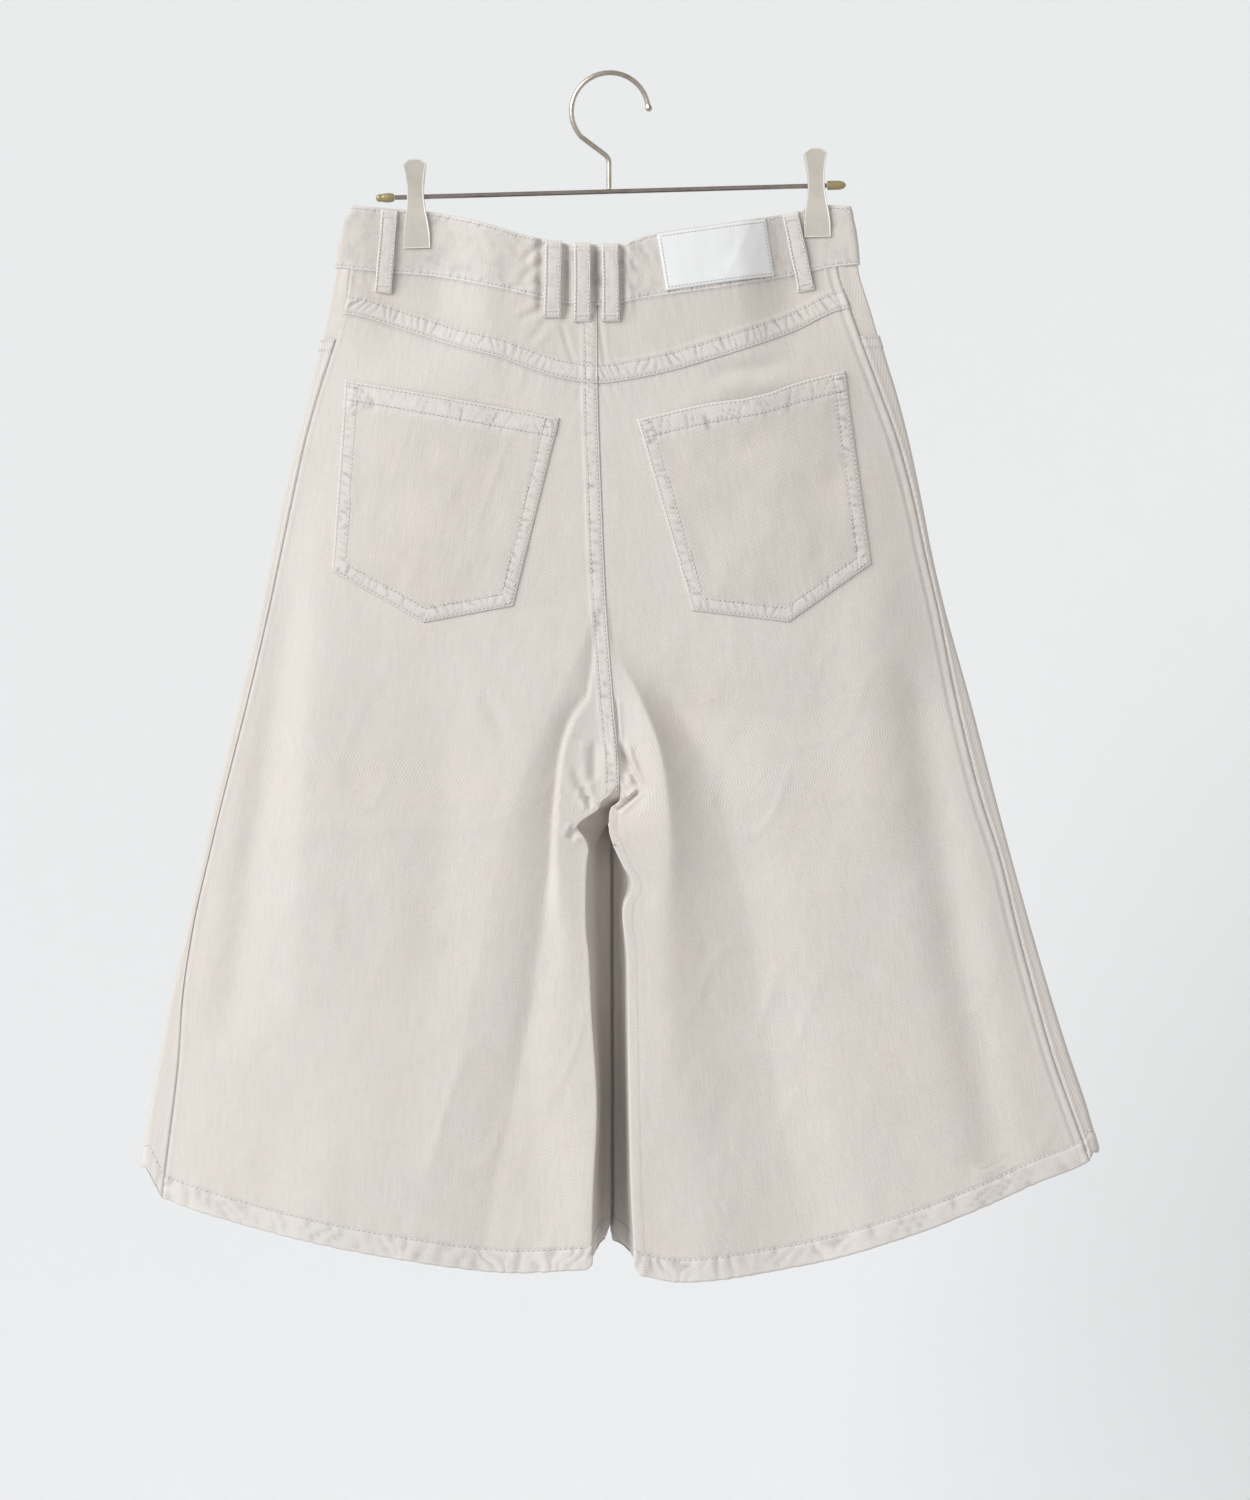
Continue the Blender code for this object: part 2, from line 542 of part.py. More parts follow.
def cloth_normal(layer, side, column, row):
    """Return the outward normal of the cloth, shared by the two pieces that meet at a seam."""
    own = face_normal(layer, side, column, row)
    if column == Column(TURN, 1.0):
        level = HIP_CENTRE + (row - 1.0) * ROW_SPAN
        if level <= TURN_UNDER:
            return (own + face_normal(layer, -side, column, row)).normalized()
        if level <= CROTCH:
            turn = (level - TURN_UNDER) / (CROTCH - TURN_UNDER) * math.pi / 2.0
            facing = 1.0 if layer == FRONT else -1.0
            return Vector((0.0, facing * math.cos(turn), -math.sin(turn)))
        other = FRONT if layer == BACK else BACK
        return (own + face_normal(other, side, column, row)).normalized()
    if layer == BACK and column == Column(FLAT, 0.0):
        return (own + face_normal(FRONT, side, Column(STRIP, 0.0), row)).normalized()
    if column == Column(STRIP, 0.0):
        return (own + face_normal(BACK, side, Column(FLAT, 0.0), row)).normalized()
    return own


# ---- mesh helpers ----------------------------------------------------------------------------
def new_object(name, mesh, finish):
    """Link an object with its material to the scene."""
    piece = bpy.data.objects.new(name, mesh)
    bpy.context.scene.collection.objects.link(piece)
    mesh.materials.append(material(finish))
    return piece


def material(name):
    """Return the Principled material of a named finish."""
    found = bpy.data.materials.get(name)
    if found:
        return found
    finish = FINISHES[name]
    made = bpy.data.materials.new(name)
    made.use_nodes = True
    shader = made.node_tree.nodes["Principled BSDF"]
    shader.inputs["Base Color"].default_value = (*finish.colour, 1.0)
    shader.inputs["Roughness"].default_value = finish.roughness
    shader.inputs["Metallic"].default_value = finish.metallic
    return made


def mesh_from(name, points, faces, finish, smooth=True):
    """Make an object from points in millimetres and faces, with its faces turned outwards."""
    mesh = bpy.data.meshes.new(name)
    mesh.from_pydata([tuple(point * MM) for point in points], [], faces)
    work = bmesh.new()
    work.from_mesh(mesh)
    bmesh.ops.recalc_face_normals(work, faces=work.faces)
    work.to_mesh(mesh)
    work.free()
    if smooth:
        mesh.shade_smooth()
        mesh.set_sharp_from_angle(angle=math.radians(40.0))
    return new_object(name, mesh, finish)


def shell(name, outer, inner, finish):
    """Close two matching grids of points into one wall."""
    rows, columns = len(outer), len(outer[0])
    points = [point for grid in (outer, inner) for row in grid for point in row]
    half = rows * columns

    def at(row, column, layer):
        return layer * half + row * columns + column

    faces = []
    for row in range(rows - 1):
        for column in range(columns - 1):
            for layer in (0, 1):
                quad = [at(row, column, layer), at(row, column + 1, layer),
                        at(row + 1, column + 1, layer), at(row + 1, column, layer)]
                faces.append(quad if layer else quad[::-1])
    border = ([(0, c) for c in range(columns)] + [(r, columns - 1) for r in range(1, rows)]
              + [(rows - 1, c) for c in range(columns - 2, -1, -1)]
              + [(r, 0) for r in range(rows - 2, 0, -1)])
    for here, there in zip(border, border[1:] + border[:1]):
        faces.append([at(*here, 0), at(*there, 0), at(*there, 1), at(*here, 1)])
    return mesh_from(name, points, faces, finish)


def square_off(inward, along):
    """Return the unit part of a direction that is square to a border."""
    along = along.normalized()
    return (inward - along * inward.dot(along)).normalized()


def drawn_in(grid, sides, step):
    """Move the named borders of a grid inwards, square to each border."""
    moved = [list(row) for row in grid]
    last_row, last_column = len(grid) - 1, len(grid[0]) - 1
    for row in range(last_row + 1):
        for column in range(last_column + 1):
            here = grid[row][column]
            by_row = grid[row][min(column + 1, last_column)] - grid[row][max(column - 1, 0)]
            by_column = grid[min(row + 1, last_row)][column] - grid[max(row - 1, 0)][column]
            if "first row" in sides and row == 0:
                moved[row][column] += square_off(grid[1][column] - here, by_row) * step
            if "last row" in sides and row == last_row:
                moved[row][column] += square_off(grid[row - 1][column] - here, by_row) * step
            if "first column" in sides and column == 0:
                moved[row][column] += square_off(grid[row][1] - here, by_column) * step
            if "last column" in sides and column == last_column:
                moved[row][column] += square_off(grid[row][column - 1] - here, by_column) * step
    return moved


def wall(name, places, thickness, finish, sides=(), proud=0.0, step=HALF_GAP):
    """Make a cloth wall from a grid of (point, normal) places; thickness is per row."""
    face = [[point + normal * proud for point, normal in row] for row in places]
    face = drawn_in(face, sides, step)
    lining = [[point - normal * thick for point, (_, normal) in zip(face_row, row)]
              for face_row, row, thick in zip(face, places, thickness)]
    return shell(name, face, lining, finish)


def sweep(name, path, radii, finish, sides=ROUND_SIDES):
    """Make a closed round bar along a path that lies in a plane of constant Y."""
    points, faces = [], []
    for index, centre in enumerate(path):
        ahead = path[min(index + 1, len(path) - 1)] - path[max(index - 1, 0)]
        ahead.normalize()
        over = Vector((0.0, 1.0, 0.0))
        beside = ahead.cross(over)
        for step in range(sides):
            turn = 2.0 * math.pi * step / sides
            points.append(centre + radii[index] * (math.cos(turn) * over + math.sin(turn) * beside))
    for ring in range(len(path) - 1):
        for step in range(sides):
            after = (step + 1) % sides
            faces.append([ring * sides + step, ring * sides + after,
                          (ring + 1) * sides + after, (ring + 1) * sides + step])
    faces.append(list(range(sides))[::-1])
    faces.append(list(range(len(points) - sides, len(points))))
    return mesh_from(name, points, faces, finish)


def turned(name, profile, axis_point, axis, finish, sides=ROUND_SIDES):
    """Turn a profile of (along, radius) pairs about an axis."""
    axis = axis.normalized()
    over = Vector((0.0, 1.0, 0.0)) if abs(axis.y) < 0.9 else Vector((1.0, 0.0, 0.0))
    beside = axis.cross(over).normalized()
    over = beside.cross(axis)
    points, faces = [], []
    for along, radius in profile:
        for step in range(sides):
            turn = 2.0 * math.pi * step / sides
            points.append(axis_point + axis * along
                          + radius * (math.cos(turn) * over + math.sin(turn) * beside))
    rings = len(profile)
    for ring in range(rings - 1):
        for step in range(sides):
            after = (step + 1) % sides
            faces.append([ring * sides + step, ring * sides + after,
                          (ring + 1) * sides + after, (ring + 1) * sides + step])
    faces.append(list(range(sides))[::-1])
    faces.append(list(range((rings - 1) * sides, rings * sides)))
    return mesh_from(name, points, faces, finish)


# ---- rows and columns ------------------------------------------------------------------------
YOKE_ROWS = (0.0, 0.34, 0.67, 1.0)
LEG_LEVELS = (210, 242, 276, 310, 340, 365, 388, 410, 431, 450, 467, 480, 488, 495, 500, 507, 515,
              525, 540, 562, 595, 640, 690, 740)
HEM_ROWS = (2.0 - (HEM_HEIGHT + 0.5) / ROW_SPAN, 2.0 - (HEM_HEIGHT - 0.5) / ROW_SPAN, 2.0)
LEG_ROWS = tuple(level_row(level) for level in LEG_LEVELS) + HEM_ROWS
TURN_SHARES = (0.3, 0.55, 0.8, 1.0)


def flat_columns(layer, side, first=0.0):
    """Return the columns of a half's flat part past a share, by the cells between its guides."""
    columns, start = [Column(FLAT, first)], first
    for guide in GUIDES:
        if (guide.layer, guide.side) == (layer, side):
            columns += [Column(FLAT, mix(start, guide.share, (cell + 1) / guide.cells))
                        for cell in range(guide.cells)]
            start = guide.share
    return columns


def turn_columns():
    """Return the columns of the turn at a half's inner edge."""
    return [Column(TURN, share) for share in TURN_SHARES]


def side_columns():
    """Return the columns that carry a front round the side fold to the outseam."""
    return ([Column(STRIP, 0.0), Column(STRIP, 1.0)]
            + [Column(FOLD_COLUMN, share) for share in (0.3, 0.5, 0.7)])


def mouth_columns():
    """Return the columns of a front along its pocket mouth."""
    return [Column(FLAT, MOUTH_REACH * math.sin(0.5 * math.pi * cell / MOUTH_CELLS))
            for cell in range(MOUTH_CELLS)]


def place(layer, side, column, row):
    """Return the point and normal at a column and a row value."""
    return cloth_point(layer, side, column, row), cloth_normal(layer, side, column, row)


def wall_thickness(rows):
    """Return each row's wall: the denim, or the turned-up hem below its stitching."""
    return [HEM_WALL if row > HEM_ROWS[0] + 1e-6 else DENIM for row in rows]


# ---- the garment's pieces --------------------------------------------------------------------
def make_backs():
    """Make the two backs and the two yokes above them."""
    for side, word in ((LEFT, "left"), (RIGHT, "right")):
        columns = flat_columns(BACK, side) + turn_columns()
        rows = (LEG_ROWS[0], mouth_row(side, Column(STRIP, 0.0))) + LEG_ROWS[1:]
        places = [[place(BACK, side, column, row) for column in columns] for row in rows]
        wall("back_" + word, places, wall_thickness(rows), "denim",
             ("first row", "first column", "last column"))
        places = [[place(BACK, side, column, row) for column in columns] for row in YOKE_ROWS]
        wall("back_yoke_" + word, places, [DENIM] * len(YOKE_ROWS), "denim_light",
             ("first row", "last row", "first column", "last column"))


def mouth_fall(share):
    """Return how far the pocket mouth lies below the waist seam, from the outseam to its end."""
    last = mouth_columns()[-1].share / MOUTH_REACH
    if share > last:
        return mix(mouth_fall(last), 0.0, (share - last) / (1.0 - last))
    return MOUTH_DEPTH * (1.0 - share ** MOUTH_POWER) ** (1.0 / MOUTH_POWER)


def mouth_row(side, column):
    """Return the row value of the pocket mouth on a front column."""
    share = column.share if column.kind == FLAT else 0.0
    waist = seam_drop(FRONT, side, share, "waist")
    return row_at(FRONT, side, share, waist + mouth_fall(share / MOUTH_REACH))


def front_rows(side, column):
    """Return the row values of a front column, which begin at the mouth where there is one."""
    rows = YOKE_ROWS[:-1] + LEG_ROWS
    if column.kind == TURN or (column.kind == FLAT and column.share > MOUTH_REACH - 1e-6):
        return rows
    knots = (mouth_row(side, column),) + LEG_ROWS[1:4]
    moved = []
    for above, below in zip(knots, knots[1:]):
        moved += [above, 0.5 * (above + below)]
    return tuple(moved) + LEG_ROWS[3:]


def facing_row(side, column, step):
    """Return a facing's row value: at the outseam the yoke's own rows, and then the mouth's."""
    mouth = mouth_row(side, column)
    if column.kind == FLAT or step == len(YOKE_ROWS):
        return mouth * step / len(YOKE_ROWS)
    return YOKE_ROWS[step]


def make_fronts():
    """Make the two fronts and the facings that show in their pocket mouths."""
    for side, word in ((LEFT, "left"), (RIGHT, "right")):
        columns = (side_columns() + mouth_columns() + flat_columns(FRONT, side, MOUTH_REACH)
                   + turn_columns())
        rows = [front_rows(side, column) for column in columns]
        places = [[place(FRONT, side, column, column_rows[index])
                   for column, column_rows in zip(columns, rows)] for index in range(len(rows[0]))]
        wall("front_" + word, places, wall_thickness(rows[-1]), "denim",
             ("first row", "first column", "last column"))
        end = mix(mouth_columns()[-1].share, MOUTH_REACH, FACING_END)
        columns = side_columns() + mouth_columns() + [Column(FLAT, end)]
        steps = len(YOKE_ROWS)
        places = [[place(FRONT, side, column, facing_row(side, column, step))
                   for column in columns] for step in range(steps + 1)]
        wall("front_facing_" + word, places, [DENIM] * (steps + 1), "denim_light",
             ("first row", "last row", "first column"))


def band_columns(layer, side):
    """Return the waistband's columns across one half of a layer, with some beside the clip."""
    drop = 110.0
    start, end = flat_ends(layer, side, drop)
    clip_x = CLIP_LEFT_X if side == LEFT else CLIP_RIGHT_X
    away = [PINCH_HALF_WIDTH + PINCH_FADE * cell / PINCH_CELLS for cell in range(PINCH_CELLS + 1)]
    shares = [(clip_x + sign * width - start) / (end - start) for sign in (-1, 1) for width in away]
    spread = [share for share in shares if 0.03 < share < 0.98]
    far = max(spread)
    spread += [mix(far, 1.0, cell / 4.0) for cell in (1, 2, 3)]
    return [Column(FLAT, share) for share in [0.0] + sorted(spread) + [1.0]]


def make_waistband():
    """Make the waistband, one strip from the centre front round to the centre front."""
    rows = (-1.0, -0.66, -0.33, 0.0)
    folds = [Column(FOLD_COLUMN, share) for share in (0.25, 0.5, 0.75)]
    centre_back = [Column(TURN, 1.0)]
    grid = []
    for row in rows:
        line = [band_end(row, reach, BAND + 0.4) for reach in (FLAP_OVER, 0.0, -13.0)]
        for layer, side, columns in (
                (FRONT, LEFT, band_columns(FRONT, LEFT)[-2::-1]),
                (FRONT, LEFT, folds[::-1]),
                (BACK, LEFT, band_columns(BACK, LEFT) + centre_back),
                (BACK, RIGHT, band_columns(BACK, RIGHT)[::-1]),
                (FRONT, RIGHT, folds),
                (FRONT, RIGHT, band_columns(FRONT, RIGHT)[:-1])):
            line += [place(layer, side, column, row) for column in columns]
        line += [band_end(row, reach, 0.0) for reach in (13.0, 0.0, -FLAP_UNDER)]
        grid.append(line)
    return wall("waistband", grid, [BAND] * len(rows), "denim_light", ("last row",), BAND_PROUD,
                BAND_GAP)


def band_end(row, reach, lift):
    """Return a place on the waistband's front, past the centre front by reach."""
    x = CENTRE[FRONT](HIP_CENTRE) + reach
    drop = mix(WAIST_SEAM[FRONT](x), BAND_TOP[FRONT](x), -row)
    point = surface_place(FRONT, x, drop)[0]
    normal = Vector((0.0, 1.0, 0.0))
    return point + normal * lift, normal


def surface_place(layer, x, drop):
    """Return the point and normal of the open part of a layer at x and drop."""
    step = 0.5
    point = to_point(layer, x, layer_out(layer, x, drop), drop)
    across = (to_point(layer, x + step, layer_out(layer, x + step, drop), drop)
              - to_point(layer, x - step, layer_out(layer, x - step, drop), drop))
    down = (to_point(layer, x, layer_out(layer, x, drop + step), drop + step)
            - to_point(layer, x, layer_out(layer, x, drop - step), drop - step))
    normal = across.cross(down).normalized()
    return point, (-normal if (normal.y > 0.0) == (layer == BACK) else normal)


def make_pockets():
    """Make the back patch pockets, which lie on the backs and end in a point."""
    for pocket in POCKETS:
        point_share = ((pocket.point.x - pocket.low_left.x)
                       / (pocket.low_right.x - pocket.low_left.x))
        half = POCKET_CELLS // 2
        shares = ([point_share * cell / half for cell in range(half + 1)]
                  + [mix(point_share, 1.0, cell / half) for cell in range(1, half + 1)])
        grid = []
        for row in range(POCKET_CELLS + 1):
            down = row / POCKET_CELLS
            line = []
            for share in shares:
                top = Vector(pocket.top_left).lerp(Vector(pocket.top_right), share)
                if share < point_share:
                    low = Vector(pocket.low_left).lerp(Vector(pocket.point), share / point_share)
                else:
                    low = Vector(pocket.point).lerp(Vector(pocket.low_right),
                                                    (share - point_share) / (1.0 - point_share))
                spot = top.lerp(low, down)
                point, normal = surface_place(BACK, spot.x, spot.y)
                sag = POCKET_MOUTH_SAG * math.sin(math.pi * share) * ease(1.0 - 4.0 * down)
                line.append((point + normal * sag, normal))
            grid.append(line)
        wall(pocket.name, grid, [DENIM] * len(grid), "denim_light", (), LAY + DENIM)


def make_belt_loops():
    """Make the belt loops, strips that arch over the waistband."""
    cells = 6
    for loop in LOOPS:
        grid = []
        for row in range(cells + 1):
            down = row / cells
            spot = Vector(loop.top).lerp(Vector(loop.bottom), down)
            arch = LOOP_ARCH * math.sin(math.pi * down)
            line = []
            for share in (-0.5, 0.0, 0.5):
                point, normal = surface_place(loop.layer, spot.x + share * LOOP_WIDTH, spot.y)
                line.append((point + normal * arch, normal))
            grid.append(line)
        wall(loop.name, grid, [LOOP_WALL] * len(grid), "denim_light", (),
             BAND_PROUD + LAY + LOOP_WALL)


def make_patch():
    """Make the plain patch on the waistband."""
    cells = 4
    grid = []
    for row in range(cells + 1):
        line = []
        for column in range(3 * cells + 1):
            across = column / (3.0 * cells)
            top = Vector(PATCH[0]).lerp(Vector(PATCH[1]), across)
            low = Vector(PATCH[3]).lerp(Vector(PATCH[2]), across)
            spot = top.lerp(low, row / cells)
            line.append(surface_place(BACK, spot.x, spot.y))
        grid.append(line)
    return wall("waist_patch", grid, [PATCH_WALL] * len(grid), "patch", (),
                BAND_PROUD + 1.5 * LAY + PATCH_WALL)


def make_closing():
    """Make the zip tape and fly shield behind the centre front, and the waist button."""
    for name, half_width, thickness, behind, finish in (
            ("fly_zip", ZIP_HALF_WIDTH, ZIP_WALL, DENIM + LAY, "tape"),
            ("fly_shield", FLY_HALF_WIDTH, DENIM, DENIM + 2.0 * LAY + ZIP_WALL, "denim")):
        grid = []
        for row in range(8):
            down = row / 7.0
            drop = FLY_TOP + FLY_LENGTH * down
            narrow = 1.0 - 0.35 * ease((down - 0.75) / 0.25)
            line = [surface_place(FRONT, CENTRE[FRONT](drop) + share * half_width * narrow, drop)
                    for share in (-1.0, -0.5, 0.0, 0.5, 1.0)]
            grid.append(line)
        wall(name, grid, [thickness] * len(grid), finish, (), -behind)
    seat, normal = band_end(-0.5, -3.0, BAND + 0.4)
    profile = [(0.0, 3.0), (1.2, 3.2), (1.6, 0.82 * BUTTON_RADIUS), (2.0, BUTTON_RADIUS),
               (2.6, BUTTON_RADIUS), (BUTTON_RISE, 0.78 * BUTTON_RADIUS),
               (BUTTON_RISE + 0.5, 0.3 * BUTTON_RADIUS)]
    turned("waist_button", profile, seat + normal * (BAND_PROUD + LAY), normal, "steel", sides=16)


# ---- the hanger ------------------------------------------------------------------------------
def rod_drop(x):
    """Return the drop of the rod's axis at x."""
    share = (x - ROD_LEFT.x) / (ROD_RIGHT.x - ROD_LEFT.x)
    return mix(ROD_LEFT.drop, ROD_RIGHT.drop, share)


def arc(centre, radius, first, last, steps):
    """Return points on an arc in the hanger's plane, between two angles in degrees."""
    turns = [math.radians(mix(first, last, step / steps)) for step in range(steps + 1)]
    return [centre + radius * Vector((math.cos(turn), 0.0, math.sin(turn))) for turn in turns]


def make_hook():
    """Make the hook: a ball tip, most of a circle, a slanted run and a straight stem."""
    ring = arc(Vector((0.6, 0.0, WIRE_RADIUS - HOOK_RADIUS)), HOOK_RADIUS, *HOOK_TURN, 24)
    bend = arc(Vector((-STEM_BEND_RADIUS, 0.0, -STEM_BEND_FALL)), STEM_BEND_RADIUS,
               STEM_BEND_TURN, 0.0, 5)
    foot = Vector((0.0, 0.0, -rod_drop(0.0) - DATUM + ROD_RADIUS + LAY))
    ahead = (ring[0] - ring[1]).normalized()
    caps = (0.94, 0.75, 0.5, 0.28)
    ball = [ring[0] + ahead * HOOK_BALL * (1.0 - math.cos(math.pi * share)) for share in caps]
    radii = [HOOK_BALL * math.sin(math.pi * share) for share in caps]
    path = ring + bend + [foot]
    return sweep("hanger_hook", ball + path, radii + [WIRE_RADIUS] * len(path), "steel", sides=10)


def make_rod():
    """Make the rod with the clips' springs round it, and the rubber caps on its ends."""
    left = Vector((ROD_LEFT.x, 0.0, -ROD_LEFT.drop - DATUM))
    right = Vector((ROD_RIGHT.x, 0.0, -ROD_RIGHT.drop - DATUM))
    along = (right - left).normalized()
    length = (right - left).length
    profile = [(0.0, ROD_RADIUS)]
    for clip_x in (CLIP_LEFT_X, CLIP_RIGHT_X):
        middle = (clip_x - left.x) / along.x
        first, last = middle - 0.5 * SPRING_LENGTH, middle + 0.5 * SPRING_LENGTH
        profile += [(first, ROD_RADIUS), (first + 0.2, SPRING_RADIUS),
                    (last - 0.2, SPRING_RADIUS), (last, ROD_RADIUS)]
    turned("hanger_rod", profile + [(length, ROD_RADIUS)], left, along, "steel")
    bulb = [(0.0, 2.2), (1.2, 2.9), (4.0, 3.3), (7.0, 3.0), (8.4, 2.6), (10.4, 2.7),
            (12.0, 1.9), (ROD_CAP_LENGTH, 0.7)]
    plug = [(0.0, 2.9), (1.0, 3.2), (8.4, 3.1), (10.6, 2.6), (12.0, 1.5), (ROD_CAP_LENGTH, 0.5)]
    turned("hanger_cap_left", bulb, left - along * LAY, -along, "rubber")
    turned("hanger_cap_right", plug, right + along * LAY, along, "rubber")


def make_clip(word, x):
    """Make the two jaws of one clip, which have turned-in rims."""
    tilt = math.atan2(ROD_LEFT.drop - ROD_RIGHT.drop, ROD_RIGHT.x - ROD_LEFT.x)
    axis = Vector((x, 0.0, -rod_drop(x) - DATUM))
    lean = Matrix.Translation(axis) @ Matrix.Rotation(-tilt, 4, "Y")
    for jaw_word, facing in (("back", -1.0), ("front", 1.0)):
        points, faces = [], []
        for row in JAW:
            inner = row.half_width - JAW_WALL
            ring = ((-row.half_width, row.out - row.rim), (-row.half_width, row.out),
                    (row.half_width, row.out), (row.half_width, row.out - row.rim),
                    (inner, row.out - row.rim), (inner, row.out - JAW_WALL),
                    (-inner, row.out - JAW_WALL), (-inner, row.out - row.rim))
            if row.rim <= JAW_WALL + 1e-6:
                middle = row.out - JAW_WALL
                ring = ring[:4] + ((inner, middle), (0.5 * inner, middle), (-0.5 * inner, middle),
                                   (-inner, middle))
            points += [lean @ Vector((across, facing * out, row.height)) for across, out in ring]
        for ring_index in range(len(JAW) - 1):
            for step in range(8):
                after = (step + 1) % 8
                faces.append([ring_index * 8 + step, ring_index * 8 + after,
                              (ring_index + 1) * 8 + after, (ring_index + 1) * 8 + step])
        faces.append(list(range(8))[::-1])
        faces.append(list(range(len(points) - 8, len(points))))
        mesh_from(f"clip_{word}_jaw_{jaw_word}", points, faces, "steel")


def main():
    """Clear the scene and make every piece."""
    for old in list(bpy.data.objects):
        bpy.data.objects.remove(old)
    make_backs()
    make_fronts()
    make_waistband()
    make_pockets()
    make_belt_loops()
    make_patch()
    make_closing()
    make_hook()
    make_rod()
    make_clip("left", CLIP_LEFT_X)
    make_clip("right", CLIP_RIGHT_X)


main()
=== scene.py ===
"""Looks of wide-leg denim shorts that hang from a wire clip hanger, seen from behind.

Tables and sizes are in millimetres and become metres when a mesh is made. X runs to the right as
the back is looked at, the back faces -Y and Z is up. A "drop" is a distance down from the inner
top of the hook, and "out" is how far a cloth layer stands from the garment's middle plane. The
cloth pieces are thin shells on the surface that the solids have; sewing, puckers and finer folds
are added to it here.
"""
from __future__ import annotations

import json
import logging
import math
from dataclasses import dataclass, field
from enum import Enum, IntEnum
from typing import Callable, Sequence

import bpy
import numpy as np
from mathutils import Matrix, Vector

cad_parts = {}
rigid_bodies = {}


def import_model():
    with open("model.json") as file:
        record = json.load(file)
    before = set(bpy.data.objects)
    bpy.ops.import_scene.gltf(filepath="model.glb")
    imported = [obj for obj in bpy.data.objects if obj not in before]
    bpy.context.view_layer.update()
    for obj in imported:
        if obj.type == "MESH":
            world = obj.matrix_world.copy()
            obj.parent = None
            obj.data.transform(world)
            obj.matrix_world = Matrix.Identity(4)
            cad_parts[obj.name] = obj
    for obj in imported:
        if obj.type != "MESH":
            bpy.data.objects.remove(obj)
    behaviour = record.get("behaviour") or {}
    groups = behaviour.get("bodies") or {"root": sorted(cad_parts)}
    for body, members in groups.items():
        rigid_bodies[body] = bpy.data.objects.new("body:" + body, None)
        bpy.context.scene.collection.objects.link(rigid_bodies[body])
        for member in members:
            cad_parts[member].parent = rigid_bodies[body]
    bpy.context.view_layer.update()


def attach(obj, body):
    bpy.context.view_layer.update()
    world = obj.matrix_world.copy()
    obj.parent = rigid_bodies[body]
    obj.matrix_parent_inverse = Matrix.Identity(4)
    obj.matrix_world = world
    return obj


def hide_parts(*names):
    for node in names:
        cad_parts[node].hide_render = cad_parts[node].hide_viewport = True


LOG = logging.getLogger("shorts")
MM = 0.001
DATUM = 1.2
BAND_PROUD = 0.6             # the waistband's edges over the panels
BAND_CROWN = 0.35            # its middle over its edges
PHOTO_SIZE = (1250.0, 1500.0)
PHOTO_SCALE = 0.68           # millimetres to a pixel
PHOTO_ZERO = (609.0, 77.0)   # the pixel at x 0 and drop 0

CLIPS_X = (-131.4, 140.8)

Array = np.ndarray
Triple = tuple[float, float, float]
Colour = Triple


class Layer(Enum):
    """The two layers of the garment."""

    BACK = "back"
    FRONT = "front"


class Side(IntEnum):
    """The two halves, as seen from behind."""

    LEFT = -1
    RIGHT = 1


# ---- the form of the solids ------------------------------------------------------------------
# drop, side left, outseam left, outseam right, side right, back depth, front depth, nose
SECTIONS = (
    (88, -175.3, -165.3, 152.0, 164.2, 13, 11, 2.6), (110, -182.7, -170.9, 154.0, 168.3, 15, 13, 2.6),
    (130, -186.3, -176.0, 155.7, 170.6, 17, 15, 2.6), (160, -191.8, -180.2, 164.7, 179.4, 20, 17, 2.6),
    (190, -198.2, -188.9, 175.3, 188.0, 22, 19, 2.7), (215, -203.9, -197.0, 184.6, 195.6, 24, 21, 2.8),
    (250, -213.1, -206.7, 197.0, 204.6, 26, 23, 3.0), (290, -222.3, -215.5, 207.6, 213.0, 27, 24, 2.8),
    (325, -229.6, -222.9, 215.1, 219.8, 28, 25, 2.9), (360, -236.5, -230.3, 223.2, 228.0, 28, 26, 3.0),
    (425, -251.9, -245.6, 236.4, 245.9, 29, 27, 3.2), (490, -267.6, -262.2, 252.6, 262.8, 29, 28, 3.0),
    (530, -276.4, -271.9, 265.5, 273.4, 29, 28, 2.8), (580, -287.4, -283.0, 277.6, 287.3, 30, 29, 2.8),
    (630, -298.9, -289.8, 291.0, 302.0, 30, 29, 3.4), (665, -305.8, -291.8, 301.1, 313.1, 31, 30, 4.0),
    (700, -312.1, -295.5, 313.4, 325.0, 31, 30, 4.4), (740, -318.8, -300.6, 327.4, 336.0, 32, 31, 4.5),
    (812, -326.0, -308.0, 345.0, 352.0, 33, 32, 4.5),
)
# drop, back, front
CENTRE_SEAMS = ((88, -8.5, -6.0), (210, -7.5, -6.0), (288, -5.0, -5.0), (356, -2.0, -3.0),
                (424, 3.0, 2.0), (478, 7.0, 7.0), (500, 7.0, 7.0))
# drop and x of the legs' inner edges: on the back, and on the front as left and right
EDGE_BACK_LEFT = (
    (478, 5.0), (488, 0.5), (492, -4.8), (496, -6.1), (500, -8.2), (503, -13.0), (508, -19.7),
    (510.5, -21.6), (513.4, -19.7), (517.5, -16.3), (522, -14.2), (526, -13.6), (531, -14.3),
    (539, -15.0), (563, -15.6), (583, -15.0), (594, -13.6), (630, -12.0), (700, -8.0),
    (760, -10.5), (812, -11.5))
EDGE_BACK_RIGHT = (
    (478, 10.0), (490, 8.4), (494, 5.4), (498, 1.4), (507, 0.0), (513, 0.0), (519, 1.4), (524, 3.4),
    (530, 6.1), (538, 10.2), (543, 13.6), (548, 15.3), (553, 14.9), (557, 12.9), (562, 10.2),
    (568, 9.2), (575, 9.5), (583, 10.5), (600, 12.2), (630, 12.6), (700, 13.6), (760, 15.0),
    (812, 18.0))
